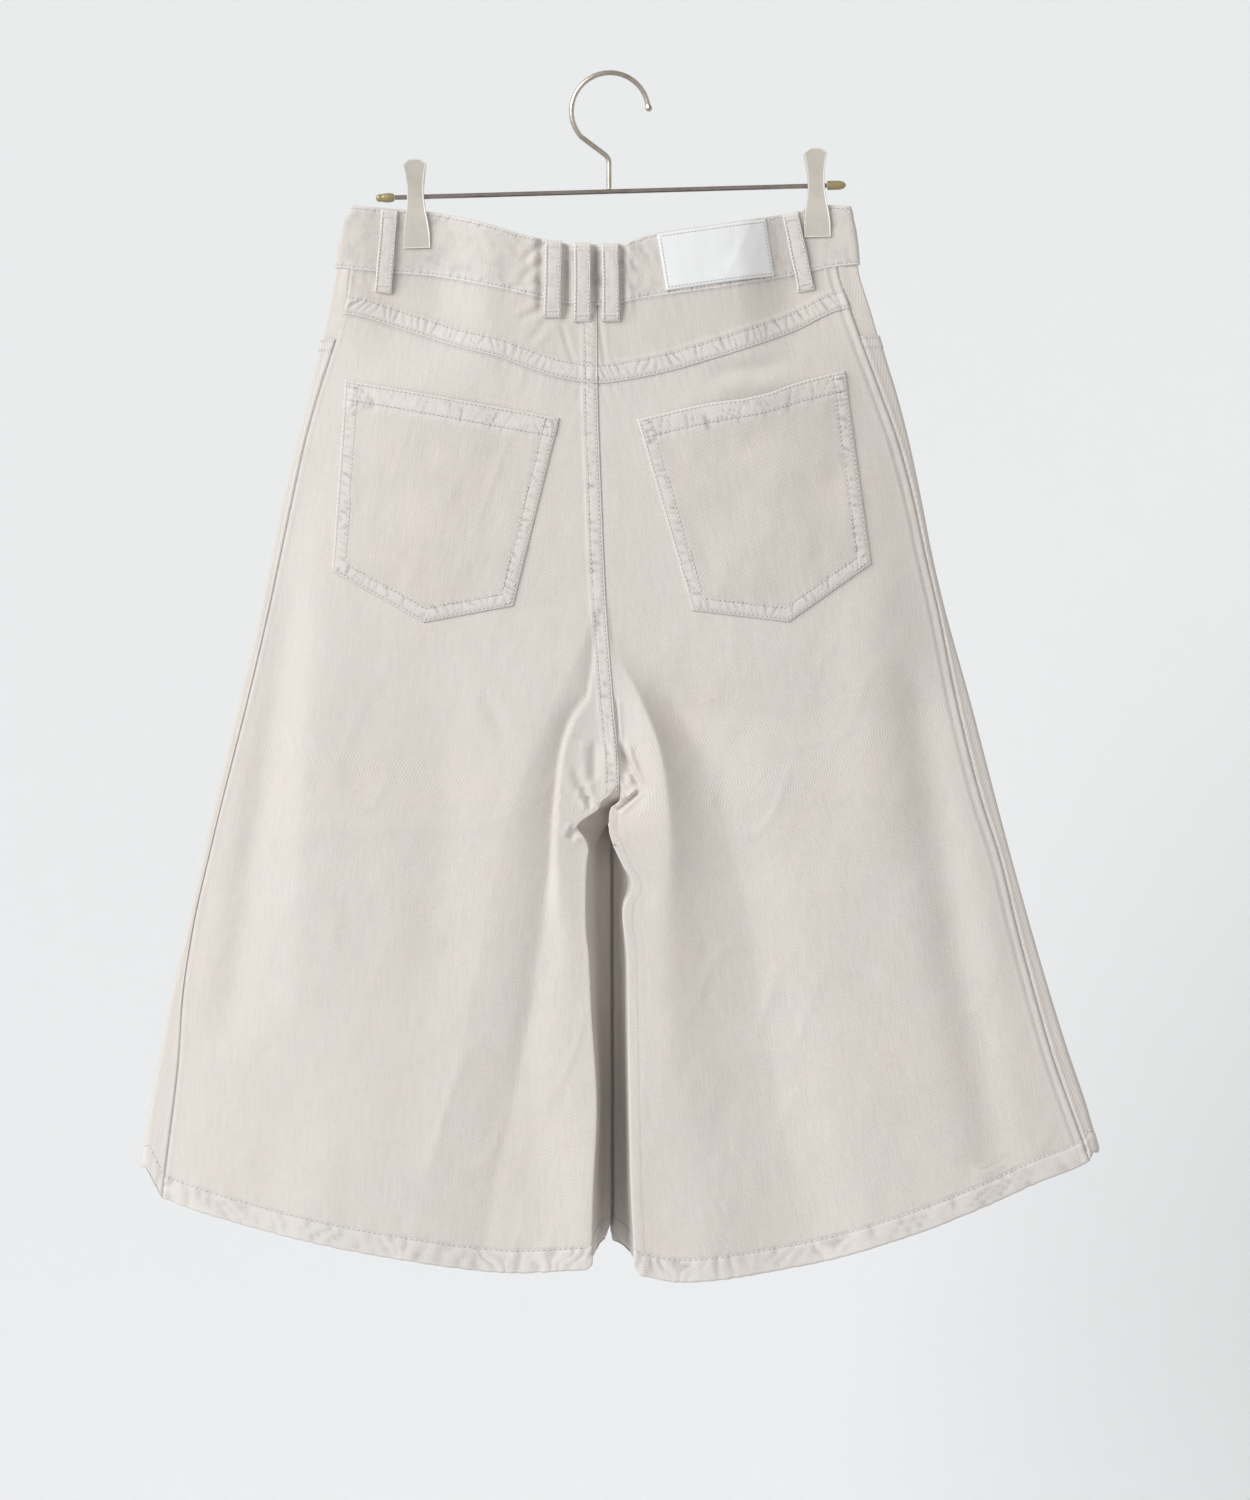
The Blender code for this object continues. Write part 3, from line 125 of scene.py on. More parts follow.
EDGES_FRONT = (
    (478, 5.0, 8.0), (492, 1.0, 7.0), (503, -2.2, 2.0), (514, -2.6, -0.4), (560, -2.6, -0.4),
    (700, -2.4, -0.2), (768, -2.4, 0.0), (790, -4.0, 1.6), (812, -5.0, 3.0))
BAND_TOP_BACK = ((-175, 87.2), (-156, 89.1), (-122, 91.8), (-88, 99.3), (-54, 109.5), (-18, 115.4),
                 (6, 114.9), (30, 107.8), (76, 101.0), (120, 93.2), (149, 87.2), (164, 87.5))
BAND_TOP_FRONT = ((-175, 87.2), (-145, 90.5), (-120, 94.0), (-70, 112.0), (-6, 127.0), (60, 114.0),
                  (120, 96.0), (149, 88.5), (164, 87.5))
WAIST_SEAM_BACK = ((-186, 129.9), (-159, 133.0), (-122, 136.0), (-74, 145.5), (-23, 156.2),
                   (-6, 157.1), (28, 151.6), (76, 145.0), (123, 136.0), (156, 129.2), (170, 127.8))
WAIST_SEAM_FRONT = ((-186, 129.9), (-150, 133.0), (-120, 137.0), (-70, 154.0), (-6, 168.5),
                    (60, 155.5), (120, 138.0), (149, 130.5), (170, 127.8))
YOKE_SEAM = ((-193, 161.0), (-180, 161.8), (-135, 174.3), (-101, 185.4), (-74, 192.4), (-33, 206.4),
             (-7.5, 210.0), (22, 206.0), (75, 191.8), (123, 175.0), (163, 157.8), (180, 157.0))
HEM_BACK = ((-321, 735.0), (-312, 756.5), (-292, 765.5), (-261, 775.0), (-210, 788.0),
            (-142, 801.0), (-61, 810.5), (-12, 808.0), (18, 811.0), (48, 816.0), (130, 805.8),
            (200, 787.0), (252, 767.7), (293, 750.0), (324, 738.0), (334, 729.0))
HEM_FRONT = ((-321, 735.0), (-308, 746.0), (-261, 758.0), (-210, 768.0), (-142, 779.0),
             (-61, 786.5), (-12, 786.0), (18, 787.0), (80, 785.0), (150, 773.0), (230, 756.0),
             (300, 741.0), (334, 729.0))
# Large folds: drops at three places, x at them, half widths to the left and right, rises at them
FOLDS = {
    Layer.BACK: (
        ((262, 470, 690), (-194, -202, -214), 16, 34, (2, 5, 2)),
        ((330, 480, 680), (-218, -236, -262), 14, 16, (-3, -5, -3)),
        ((360, 480, 640), (-120, -118, -108), 34, 26, (-2, -4, -2)),
        ((420, 560, 815), (104, 132, 184), 24, 40, (1, 2, 2)),
        ((320, 420, 560), (178, 180, 190), 24, 24, (1, 3, 1)),
        ((370, 540, 740), (200, 228, 262), 16, 17, (-3, -5, -3)),),
    Layer.FRONT: (
        ((390, 540, 815), (-26, -62, -118), 15, 30, (2, 6, 4)),
        ((380, 520, 815), (-14, -36, -76), 13, 14, (-4, -12, -5)),
        ((330, 500, 720), (-190, -222, -252), 18, 20, (-2, -5, -3)),
        ((400, 560, 815), (36, 76, 142), 30, 15, (2, 6, 4)),
        ((380, 510, 815), (22, 46, 96), 14, 13, (-4, -12, -5)),
        ((350, 520, 720), (182, 216, 250), 20, 18, (-2, -5, -3)),
        ((420, 560, 815), (-130, -142, -176), 34, 30, (1, 4, 3)),),
}


# The folds that fan out of the crotch on the back: drop; x of the left crest, of the left valley, of
# the left ridge's foot, of the right ridge and of the right valley; fall of the left valley, rise of
# the left ridge out of it, rise of the right ridge, fall of the right valley; how soft the left
# crest, the left foot, the right ridge and the right valley are
FAN = (
    (352, -6, -4, -3, 0, 8, 0, 0, 0, 0, 1.5, 0.8, 0.8, 2),
    (385, -17, -10, -8, 3, 20, 0.4, 0.5, 0.2, 1.0, 1.5, 0.8, 0.8, 2),
    (403, -25, -13, -11, 11, 29, 1.1, 1.3, 1.4, 3.2, 3.0, 0.8, 0.8, 6),
    (420, -33, -15.5, -13.5, 20, 39, 2.2, 2.6, 3.4, 6.6, 5.0, 0.8, 0.8, 8),
    (436, -40, -26, -24.5, 27, 48, 3.8, 4.0, 5.8, 9.6, 6.0, 0.8, 0.8, 9),
    (451, -47, -31, -30, 33, 56, 5.0, 5.0, 8.0, 10.0, 7.0, 0.8, 0.8, 9),
    (471, -56, -35, -33.5, 37.5, 65, 6.0, 5.5, 9.0, 9.0, 8.0, 0.8, 1.2, 9),
    (500, -65.5, -38, -36, 41, 75, 7.4, 6.0, 9.0, 8.0, 9.0, 0.9, 1.8, 9),
    (529, -74, -40, -37.3, 42, 85, 8.2, 6.0, 9.0, 8.0, 9.0, 1.2, 2.8, 9),
    (560, -81, -43, -37.5, 41, 92, 8.4, 5.5, 8.5, 7.0, 8.0, 4.0, 5, 10),
    (587, -85, -46, -35.5, 41, 97, 8.2, 5.0, 7.5, 6.5, 5.0, 8.0, 7, 6),
    (620, -92, -51, -40, 42, 101, 7.6, 5.0, 6.5, 6.5, 4.0, 10, 8, 6),
    (672, -103, -60, -46, 46, 110, 6.6, 5.0, 5.5, 6.0, 4.0, 13, 9, 6),
    (730, -118, -73, -43, 56, 122, 5.6, 5.0, 4.5, 5.0, 4.0, 18, 11, 6),
    (781, -131, -82, -46, 62, 137, 5.0, 5.0, 4.0, 4.5, 4.0, 20, 12, 6),
    (815, -139, -88, -48, 66, 144, 4.5, 4.5, 3.5, 4.0, 4.0, 20, 12, 6),
)
# Short wrinkles: x and drop at both ends, depth, width
WRINKLES = {
    Layer.BACK: (
        (-115, 103, -100, 123, 0.9, 2.4), (-105, 99, -84, 118, 1.1, 2.6),
        (-94, 126, -74, 133, 0.7, 2.2), (-45, 114, -57, 126, 1.2, 2.2),
        (-45, 126, -61, 141, 1.0, 2.4), (-46, 141, -67, 145, 0.8, 2.0),
        (-43, 158, -61, 167, 0.8, 2.4), (-41, 167, -54, 182, 0.5, 2.6),
        (-28.4, 108, -28.6, 164, 3.6, 3.0), (-8.9, 110, -8.6, 164, 3.4, 2.8),
        (-45.6, 108, -46.4, 160, 2.0, 2.6), (8.6, 110, 9.4, 162, 2.2, 2.4),
        (9, 118, 18, 130, 1.3, 2.0), (10, 126, 16, 145, 0.9, 2.2), (21, 116, 29, 126, 0.8, 1.8),
        (113.6, 103, 116, 126, 1.2, 2.0), (118, 105, 120, 122, 0.8, 1.6),
        (155, 94, 158, 121, 0.6, 2.6), (-176, 136, -160, 147, 1.1, 2.4),
        (-166, 134, -158, 150, 0.7, 2.0), (-32, 170, -23.8, 197, 0.6, 1.8),
        (-7.0, 166, -2.0, 200, 0.6, 1.6), (4.6, 424, 6.6, 452, 1.8, 1.1),
        (7.4, 453, 12.5, 475, 3.6, 2.6), (9.0, 458, 19.5, 481, 3.4, 1.8),
        (10.5, 475.3, 19.7, 482, -1.3, 1.1), (19, 483.5, 4.4, 495.7, -1.7, 1.3),
        (20.4, 485.7, 6.4, 498.6, 2.0, 1.3), (-9.5, 452, -10.2, 478, 1.6, 3.4),
        (-17.7, 483, -12.2, 496, 2.6, 2.0), (-23, 470, -17.7, 485, 1.2, 3.0),
        (-21.8, 509, -26.5, 518, 1.8, 2.2), (-29, 449, -15, 452, 0.7, 2.0),
        (70, 203, 118, 197, 1.2, 5.0), (-84, 418, -70, 452, 0.6, 5.0),),
    Layer.FRONT: (
        (-96, 118, -84, 132, 0.9, 2.4), (92, 116, 104, 131, 0.9, 2.4),
        (-12, 318, -34, 338, 1.4, 3.4), (2, 322, 26, 344, 1.3, 3.4),
        (-10, 430, -34, 462, 1.2, 4.0), (10, 428, 36, 458, 1.1, 4.0),),
}


def mix(a: Array | float, b: Array | float, share: Array | float) -> Array:
    """Blend two numbers or arrays."""
    return a + (b - a) * share


def ease(value: Array | float) -> Array:
    """Go from 0 to 1 with level ends."""
    value = np.clip(value, 0.0, 1.0)
    return value * value * (3.0 - 2.0 * value)


def ramp(value: Array, soft: Array | float) -> Array:
    """Return zero below zero and the value above it, with a soft bend between."""
    return 0.5 * soft * np.logaddexp(0.0, 2.0 * value / soft)


def dished(x: Array, start: Array, stop: Array, softs: tuple[Array | float, Array | float],
           knee: float, part: float) -> Array:
    """Return a fall from 0 to 1 between two places, steeper on one side of a knee.

    Args:
        x: Places.
        start: Where the fall begins.
        stop: Where it ends.
        softs: How soft the bends at both ends are.
        knee: Share of the way to the knee.
        part: Share of the fall up to the knee.

    Returns:
        How far each place has fallen.
    """
    middle, soft = mix(start, stop, knee), 0.35 * (stop - start)
    first = (ramp(x - start, softs[0]) - ramp(x - middle, soft)) / (middle - start)
    second = (ramp(x - middle, soft) - ramp(x - stop, softs[1])) / (stop - middle)
    return part * first + (1.0 - part) * second


def bell(value: Array | float, width: float) -> Array:
    """Return a soft bump of height 1 about zero."""
    return np.exp(-(np.asarray(value) / width) ** 2)


def unit(vectors: Array) -> Array:
    """Return vectors at length 1."""
    return vectors / np.maximum(np.linalg.norm(vectors, axis=-1, keepdims=True), 1e-9)


def spline(path: Sequence[Array], share: Array) -> Array:
    """Return points of a smooth line that starts and ends on its path and keeps near it.

    Args:
        path: The corners, each an array of points.
        share: How far along, from 0 to 1.

    Returns:
        The points.
    """
    knots = np.concatenate([np.zeros(3), np.linspace(0.0, 1.0, len(path) - 2), np.ones(3)])
    share = np.minimum(share, 1.0 - 1e-9)
    basis = [((share >= low) & (share < high)).astype(float)
             for low, high in zip(knots[:-1], knots[1:])]
    for degree in (1, 2, 3):
        basis = [(share - knots[i]) / max(knots[i + degree] - knots[i], 1e-9) * basis[i]
                 + (knots[i + degree + 1] - share)
                 / max(knots[i + degree + 1] - knots[i + 1], 1e-9) * basis[i + 1]
                 for i in range(len(basis) - 1)]
    return sum(weight[..., None] * corner for weight, corner in zip(basis, path))


def valleys(along: Array, distance: Array, pitch: float, noise: Callable, sharp: float = 4.0
            ) -> Array:
    """Return the depths, from 0 to 1, of uneven puckers that lie across a seam.

    Args:
        along: Distance along the seam.
        distance: Distance from it.
        pitch: Mean spacing of the puckers.
        noise: The noise that makes them uneven.
        sharp: How narrow they are.

    Returns:
        The depth at each place.
    """
    place = along / pitch + 0.9 * noise(along / (1.7 * pitch), distance / 16.0)
    depth = np.clip(0.62 + 0.6 * noise(along / (0.9 * pitch), 9.0 + distance / 12.0), 0.0, 1.0)
    return depth * (0.5 + 0.5 * np.cos(2.0 * math.pi * place)) ** sharp


class Curve:
    """A smooth function through points that never overshoots between them."""

    def __init__(self, keys: Sequence[float], values: Sequence[float]) -> None:
        """Work out the tangent at each point.

        Args:
            keys: Rising places of the points.
            values: The value at each place.
        """
        self.keys = np.array(keys, float)
        self.values = np.array(values, float)
        width = np.diff(self.keys)
        slope = np.diff(self.values) / width
        self.tangents = np.zeros(len(self.keys))
        self.tangents[0], self.tangents[-1] = slope[0], slope[-1]
        before, after = slope[:-1], slope[1:]
        same = before * after > 0.0
        share0, share1 = 2.0 * width[1:] + width[:-1], width[1:] + 2.0 * width[:-1]
        joined = share0 / np.where(same, before, 1.0) + share1 / np.where(same, after, 1.0)
        self.tangents[1:-1] = np.where(same, (share0 + share1) / joined, 0.0)

    def __call__(self, key: Array | float) -> Array:
        """Return the value at each place."""
        key = np.clip(np.asarray(key, float), self.keys[0], self.keys[-1])
        index = np.clip(np.searchsorted(self.keys, key, side="right") - 1, 0, len(self.keys) - 2)
        width = self.keys[index + 1] - self.keys[index]
        t = (key - self.keys[index]) / width
        return ((2 * t ** 3 - 3 * t ** 2 + 1) * self.values[index]
                + (t ** 3 - 2 * t ** 2 + t) * width * self.tangents[index]
                + (3 * t ** 2 - 2 * t ** 3) * self.values[index + 1]
                + (t ** 3 - t ** 2) * width * self.tangents[index + 1])


class SoftNoise:
    """Smooth seeded noise between -1 and 1 over a plane."""

    def __init__(self, seed: int, size: int = 64) -> None:
        """Fill the lattice.

        Args:
            seed: Start of the number series, which is the same in each run.
            size: Cells along each side before the pattern repeats.
        """
        self.size = size
        self.lattice = np.random.default_rng(seed).uniform(-1.0, 1.0, (size, size))

    def __call__(self, x: Array | float, y: Array | float) -> Array:
        """Return the noise at places measured in cells."""
        x, y = np.broadcast_arrays(np.asarray(x, float), np.asarray(y, float))
        left, low = np.floor(x).astype(int), np.floor(y).astype(int)
        tx, ty = x - left, y - low
        tx = tx ** 3 * (tx * (tx * 6 - 15) + 10)
        ty = ty ** 3 * (ty * (ty * 6 - 15) + 10)
        near = self.lattice[left % self.size, low % self.size]
        right = self.lattice[(left + 1) % self.size, low % self.size]
        over = self.lattice[left % self.size, (low + 1) % self.size]
        far = self.lattice[(left + 1) % self.size, (low + 1) % self.size]
        return mix(mix(near, right, tx), mix(over, far, tx), ty)


def column(table: Sequence[Sequence[float]], index: int) -> Curve:
    """Return a table's column as a curve over its first column."""
    return Curve([row[0] for row in table], [row[index] for row in table])


class ClothForm:
    """The surface that the hanging cloth follows, on both layers."""

    lens_power = 3.0
    pinched = 2.0
    pinch_half_width = 11.0
    pinch_fade = 44.0
    pinch_drops = (121.0, 215.0)
    centre_turn = 1.6
    leg_turn = 4.0
    # share of the way to the inseam and share of the depth, at the corners of the inner turns
    wall_back = ((0.0, 1.0), (0.0, 0.8), (0.3, 0.35))
    wall_front = ((0.0, 1.0), (0.0, 0.56), (0.75, 0.44))
    turn_under, crotch, crotch_drop = 478.0, 500.0, 496.0
    inseam_settles, inseam_base = 524.0, 700.0
    row_span, hip_centre = 596.0, 210.0
    fold_end = 0.16
    # the fan of folds: its lift at the seam and at the left crest, and for each side the share of
    # the way to the knee of its fall and the share of the fall there
    fan_seam, fan_crest = 1.2, 1.5
    fan_knees = {Side.LEFT: (0.6, 0.4), Side.RIGHT: (0.38, 0.56)}
    front_lean, right_inseam_shift = 3.8, 4.0

    def __init__(self) -> None:
        """Make the curves from the tables."""
        self.side = {Side.LEFT: column(SECTIONS, 1), Side.RIGHT: column(SECTIONS, 4)}
        self.outseam = {Side.LEFT: column(SECTIONS, 2), Side.RIGHT: column(SECTIONS, 3)}
        self.depth = {Layer.BACK: column(SECTIONS, 5), Layer.FRONT: column(SECTIONS, 6)}
        self.nose = column(SECTIONS, 7)
        self.centre = {Layer.BACK: column(CENTRE_SEAMS, 1), Layer.FRONT: column(CENTRE_SEAMS, 2)}
        self.edge = {(Layer.BACK, Side.LEFT): column(EDGE_BACK_LEFT, 1),
                     (Layer.FRONT, Side.LEFT): column(EDGES_FRONT, 1),
                     (Layer.FRONT, Side.RIGHT): column(EDGES_FRONT, 2),
                     (Layer.BACK, Side.RIGHT): column(EDGE_BACK_RIGHT, 1)}
        self.top = {Layer.BACK: column(BAND_TOP_BACK, 1), Layer.FRONT: column(BAND_TOP_FRONT, 1)}
        self.waist = {Layer.BACK: column(WAIST_SEAM_BACK, 1),
                      Layer.FRONT: column(WAIST_SEAM_FRONT, 1)}
        self.hip = {layer: column(YOKE_SEAM, 1) for layer in Layer}
        self.hem = {Layer.BACK: column(HEM_BACK, 1), Layer.FRONT: column(HEM_FRONT, 1)}
        self.folds = {layer: [(Curve(drops, xs), Curve(drops, rises), drops, left, right)
                              for drops, xs, left, right, rises in FOLDS[layer]]
                      for layer in Layer}
        self.fan = [column(FAN, index) for index in range(1, len(FAN[0]))]
        self.noise = {layer: [SoftNoise(seed + 40 * (layer is Layer.FRONT)) for seed in range(8)]
                      for layer in Layer}

    @staticmethod
    def crossing(drop: Array) -> Array:
        """Return how far the fronts' inner walls close the view between them, from 0 to 1."""
        return ease((drop - 498.0) / 14.0) * (1.0 - 0.8 * ease((drop - 768.0) / 24.0))

    def inner_edge(self, layer: Layer, side: Side, drop: Array) -> Array:
        """Return x where a half ends: at the centre seam, or at the leg's inner edge."""
        leg = self.edge[layer, side](drop)
        return mix(self.centre[layer](drop), leg, ease((drop - self.turn_under) / 8.0))

    def pinch(self, x: Array, drop: Array) -> Array:
        """Return how strongly a clip presses the layers together, from 0 to 1."""
        fade = 1.0 - ease((drop - self.pinch_drops[0]) / (self.pinch_drops[1] - self.pinch_drops[0]))
        away = np.minimum(np.abs(x - CLIPS_X[0]), np.abs(x - CLIPS_X[1]))
        return fade * (1.0 - ease((away - self.pinch_half_width) / self.pinch_fade))

    def fold_lift(self, layer: Layer, x: Array, drop: Array) -> Array:
        """Return how far the large folds lift a layer."""
        lift = np.zeros(np.broadcast(x, drop).shape)
        for path, rise, drops, left, right in self.folds[layer]:
            along = (drop - drops[0]) / (drops[2] - drops[0])
            fade = ease(along / self.fold_end)
            if drops[2] < HEM_BACK[0][1]:
                fade = fade * ease((1.0 - along) / self.fold_end)
            away = x - path(drop)
            width = np.where(away < 0.0, left, right)
            lift += (np.where((along > 0.0) & (along < 1.0), rise(drop) * fade, 0.0)
                     * np.exp(-(away / width) ** 2))
        return lift

    def fan_lift(self, x: Array, drop: Array) -> Array:
        """Return the folds that fan out of the crotch on the back, crisp at their upper ends."""
        (crest, valley, foot, ridge, dip, fall_left, rise_left, rise_right, fall_right,
         soft_crest, soft_foot, soft_ridge, soft_dip) = (curve(drop) for curve in self.fan)
        parted = ease((drop - 488.0) / 30.0)
        seam, raised = self.fan_seam, self.fan_crest
        edge = self.inner_edge(Layer.BACK, Side.LEFT, drop)
        left = raised * np.exp(-np.maximum(crest - x, 0.0) / 34.0)
        left -= (fall_left + raised) * dished(x, crest, valley, (soft_crest, 1.5),
                                              *self.fan_knees[Side.LEFT])
        left += rise_left * (0.5 + 0.5 * np.tanh((x - foot) / soft_foot))
        within = np.clip((x - foot - soft_foot) / (edge - foot - soft_foot), 0.0, 1.0)
        left += within * within * mix(seam + fall_left - rise_left, -0.8, parted)
        edge = self.inner_edge(Layer.BACK, Side.RIGHT, drop)
        centre = mix(seam, 0.8 * rise_right, parted)
        right = mix(centre, rise_right, ease((x - edge) / (ridge - edge)))
        right -= (rise_right + fall_right) * dished(x, ridge, dip, (soft_ridge, soft_dip),
                                                    *self.fan_knees[Side.RIGHT])
        right += fall_right * (1.0 - np.exp(-np.maximum(x - dip, 0.0) / 110.0))
        shown = ease((drop - self.fan[0].keys[0]) / 20.0)
        return shown * np.where(x < self.centre[Layer.BACK](drop), left, right)

    def crease_lift(self, layer: Layer, x: Array, drop: Array) -> Array:
        """Return the fanning folds and the short wrinkles of a layer."""
        lift = np.zeros(np.broadcast(x, drop).shape)
        if layer is Layer.BACK:
            lift += self.fan_lift(x, drop)
        for x0, drop0, x1, drop1, depth, width in WRINKLES[layer]:
            length = math.hypot(x1 - x0, drop1 - drop0)
            ax, ad = (x1 - x0) / length, (drop1 - drop0) / length
            along = (x - x0) * ax + (drop - drop0) * ad
            away = (x - x0) * ad - (drop - drop0) * ax
            end = ease((along / length + 0.12) / 0.3) * ease((1.12 - along / length) / 0.3)
            lift += end * depth * (0.45 * bell(np.abs(away) - 2.0 * width, 1.1 * width)
                                   - bell(away, width))
        return lift

    def drape(self, layer: Layer, x: Array, drop: Array) -> Array:
        """Return the finer undulation of the cloth: slow falls, dimples and soft creases."""
        slow, falls, dimple, crease, fine, skew, gate, flare = self.noise[layer]
        lean = x / (drop + 420.0) * 900.0
        lift = 1.1 * falls(lean / 46.0, drop / 260.0) * ease((drop - 260.0) / 160.0)
        lift = lift + 0.9 * slow(x / 120.0, drop / 150.0) * ease((drop - 150.0) / 80.0)
        lift = lift + 0.55 * dimple(x / 34.0 + 0.3 * skew(x / 60.0, drop / 60.0), drop / 58.0)
        ridge = 1.0 - np.abs(crease((x + 0.35 * drop) / 38.0, (drop - 0.35 * x) / 74.0)) * 2.6
        lift = lift + 0.5 * np.clip(ridge, 0.0, 1.0) ** 2 * ease(gate(x / 90.0, drop / 110.0) + 0.5)
        lift = lift + 0.16 * fine(x / 11.0, drop / 16.0) + 0.07 * fine(drop / 6.0, x / 5.0)
        lift = lift + 1.2 * flare(lean / 30.0, drop / 500.0) * ease((drop - 640.0) / 140.0)
        return lift

    def out(self, layer: Layer, x: Array, drop: Array) -> Array:
        """Return how far a layer's outer face stands from the middle plane."""
        x, drop = np.broadcast_arrays(np.asarray(x, float), np.asarray(drop, float))
        left = x < self.centre[layer](drop)
        rim = np.where(left, self.side[Side.LEFT](drop), self.side[Side.RIGHT](drop))
        inner = np.where(left, self.inner_edge(layer, Side.LEFT, drop),
                         self.inner_edge(layer, Side.RIGHT, drop))
        across = np.clip((x - rim) / (inner - rim), 0.0, 1.0)
        swell = self.depth[layer](drop) * (1.0 - (1.0 - across) ** self.lens_power)
        folds = (self.fold_lift(layer, x, drop) + self.crease_lift(layer, x, drop)
                 + self.drape(layer, x, drop))
        out = self.nose(drop) + swell + folds * ease(across / 0.14)
        return mix(out, self.pinched, self.pinch(x, drop))

    @staticmethod
    def place(layer: Layer, x: Array, out: Array, drop: Array) -> Array:
        """Return points in the part's frame from x, out and drop."""
        x, out, drop = np.broadcast_arrays(x, out, drop)
        return np.stack([x, -out if layer is Layer.BACK else out, -drop - DATUM], axis=-1)

    def ends(self, layer: Layer, side: Side, drop: Array) -> tuple[Array, Array]:
        """Return x at the outseam or side fold, and x where the inner turn begins."""
        if layer is Layer.BACK:
            start = self.outseam[side](drop)
        else:
            start = self.side[side](drop) - int(side) * self.nose(drop)
        turn = mix(self.centre_turn, self.leg_turn, ease((drop - 474.0) / 20.0))
        return start, self.inner_edge(layer, side, drop) + int(side) * turn

    def seam(self, layer: Layer, side: Side, share: Array, line: Curve) -> Array:
        """Return the drop where a column meets a seam line."""
        drop = line(0.0) + 0.0 * share
        for _ in range(14):
            start, end = self.ends(layer, side, drop)
            drop = line(mix(start, end, share))
        return drop

    def seam_drops(self, layer: Layer, side: Side, share: Array) -> list[Array]:
        """Return the drops where columns meet the band's top, waist seam, yoke line and hem."""
        return [self.seam(layer, side, share, line[layer])
                for line in (self.top, self.waist, self.hip, self.hem)]

    def column_drop(self, layer: Layer, side: Side, share: Array, row: Array) -> Array:
        """Return drops of row values: -1 band top, 0 waist seam, 1 yoke line, 2 hem."""
        top, waist, hip, hem = self.seam_drops(layer, side, share)
        return np.where(row < 0.0, mix(waist, top, -row),
                        np.where(row < 1.0, mix(waist, hip, row), mix(hip, hem, row - 1.0)))

    def level_row(self, level: float) -> float:
        """Return the row value of a drop measured down the centre seam."""
        return 1.0 + (level - self.hip_centre) / self.row_span

    def inner_seam(self, layer: Layer, side: Side, row: Array) -> Array:
        """Return x, out and drop of the centre seam, or of the inseam below the crotch."""
        row = np.asarray(row, float)
        level = self.hip_centre + (row - 1.0) * self.row_span
        x0 = self.centre[layer](self.hip_centre)
        waist = self.waist[layer](x0)
        high = np.where(row >= 0.0, mix(waist, self.hip_centre, row),
                        mix(waist, self.top[layer](x0), -row))
        drop_a = np.where(row <= 1.0, high, np.minimum(level, self.turn_under))
        x_a = self.centre[layer](drop_a)
        out_a = self.out(layer, x_a, drop_a)
        turn = np.clip((level - self.turn_under) / (self.crotch - self.turn_under), 0, 1) * math.pi / 2
        rim_out = self.out(layer, self.centre[layer](self.turn_under), self.turn_under)
        crotch_x = self.centre[Layer.BACK](self.crotch)
        settled = ease((level - self.crotch) / (self.inseam_settles - self.crotch))
        middle = 0.5 * (self.edge[Layer.BACK, side](level) + self.edge[Layer.FRONT, side](level))
        middle = middle + (self.right_inseam_shift if side is Side.RIGHT else 0.0)
        hem = 0.5 * (self.hem[Layer.BACK](middle) + self.hem[Layer.FRONT](middle))
        base = self.level_row(self.inseam_base)
        low = np.where(level > self.inseam_base,
                       mix(self.inseam_base, hem, (row - base) / (2.0 - base)), level)
        drop_c = mix(low - (self.crotch - self.crotch_drop), low, settled)
        first, second = level <= self.turn_under, level <= self.crotch
        x = np.where(first, x_a, np.where(second, crotch_x, mix(crotch_x, middle, settled)))
        out = np.where(first, out_a, np.where(second, rim_out * np.cos(turn), 0.0))
        drop = np.where(first, drop_a, np.where(
            second, mix(self.turn_under, self.crotch_drop, np.sin(turn)), drop_c))
        return np.stack([x, out, drop], axis=-1)

    def flat(self, layer: Layer, side: Side, share: Array, row: Array) -> Array:
        """Return points of a half's open part."""
        drop = self.column_drop(layer, side, share, row)
        start, end = self.ends(layer, side, drop)
        x = mix(start, end, share)
        return self.place(layer, x, self.out(layer, x, drop), drop)

    def turn(self, layer: Layer, side: Side, share: Array, row: Array) -> Array:
        """Return points of the turn from a half's open part to its centre seam or inseam."""
        share, row = np.broadcast_arrays(share, row)
        drop = self.column_drop(layer, side, np.ones_like(row), row)
        _, x = self.ends(layer, side, drop)
        start = np.stack([x, self.out(layer, x, drop), drop], axis=-1)
        end = self.inner_seam(layer, side, row)
        edge = self.inner_edge(layer, side, drop)
        lean = (self.front_lean if layer is Layer.FRONT else 0.0) * self.crossing(drop)
        bent = ease((drop - 476.0) / 16.0)[..., None]
        path = [start]
        corners = self.wall_front if layer is Layer.FRONT else self.wall_back
        for index, (across, deep) in enumerate(corners):
            corner = np.stack([mix(edge, end[..., 0], across) + lean * (index == 1),
                               mix(end[..., 1], start[..., 1], deep),
                               mix(start[..., 2], end[..., 2], 0.25 + 0.25 * index)], axis=-1)
            corner = mix(mix(start, end, 0.25 + 0.25 * index), corner, bent)
            path += [corner] * (2 if index < 2 else 1)
        bend = spline(path + [end], share)
        return self.place(layer, bend[..., 0], bend[..., 1], bend[..., 2])

    def strip(self, side: Side, share: Array, row: Array) -> Array:
        """Return points of the front's strip on the back layer, from the outseam to the fold."""
        zero = 0.0 * share
        drop = mix(self.column_drop(Layer.BACK, side, zero, row),
                   self.column_drop(Layer.FRONT, side, zero, row), share)
        x = mix(self.outseam[side](drop), self.side[side](drop) - int(side) * self.nose(drop), share)
        return self.place(Layer.BACK, x, self.out(Layer.BACK, x, drop), drop)

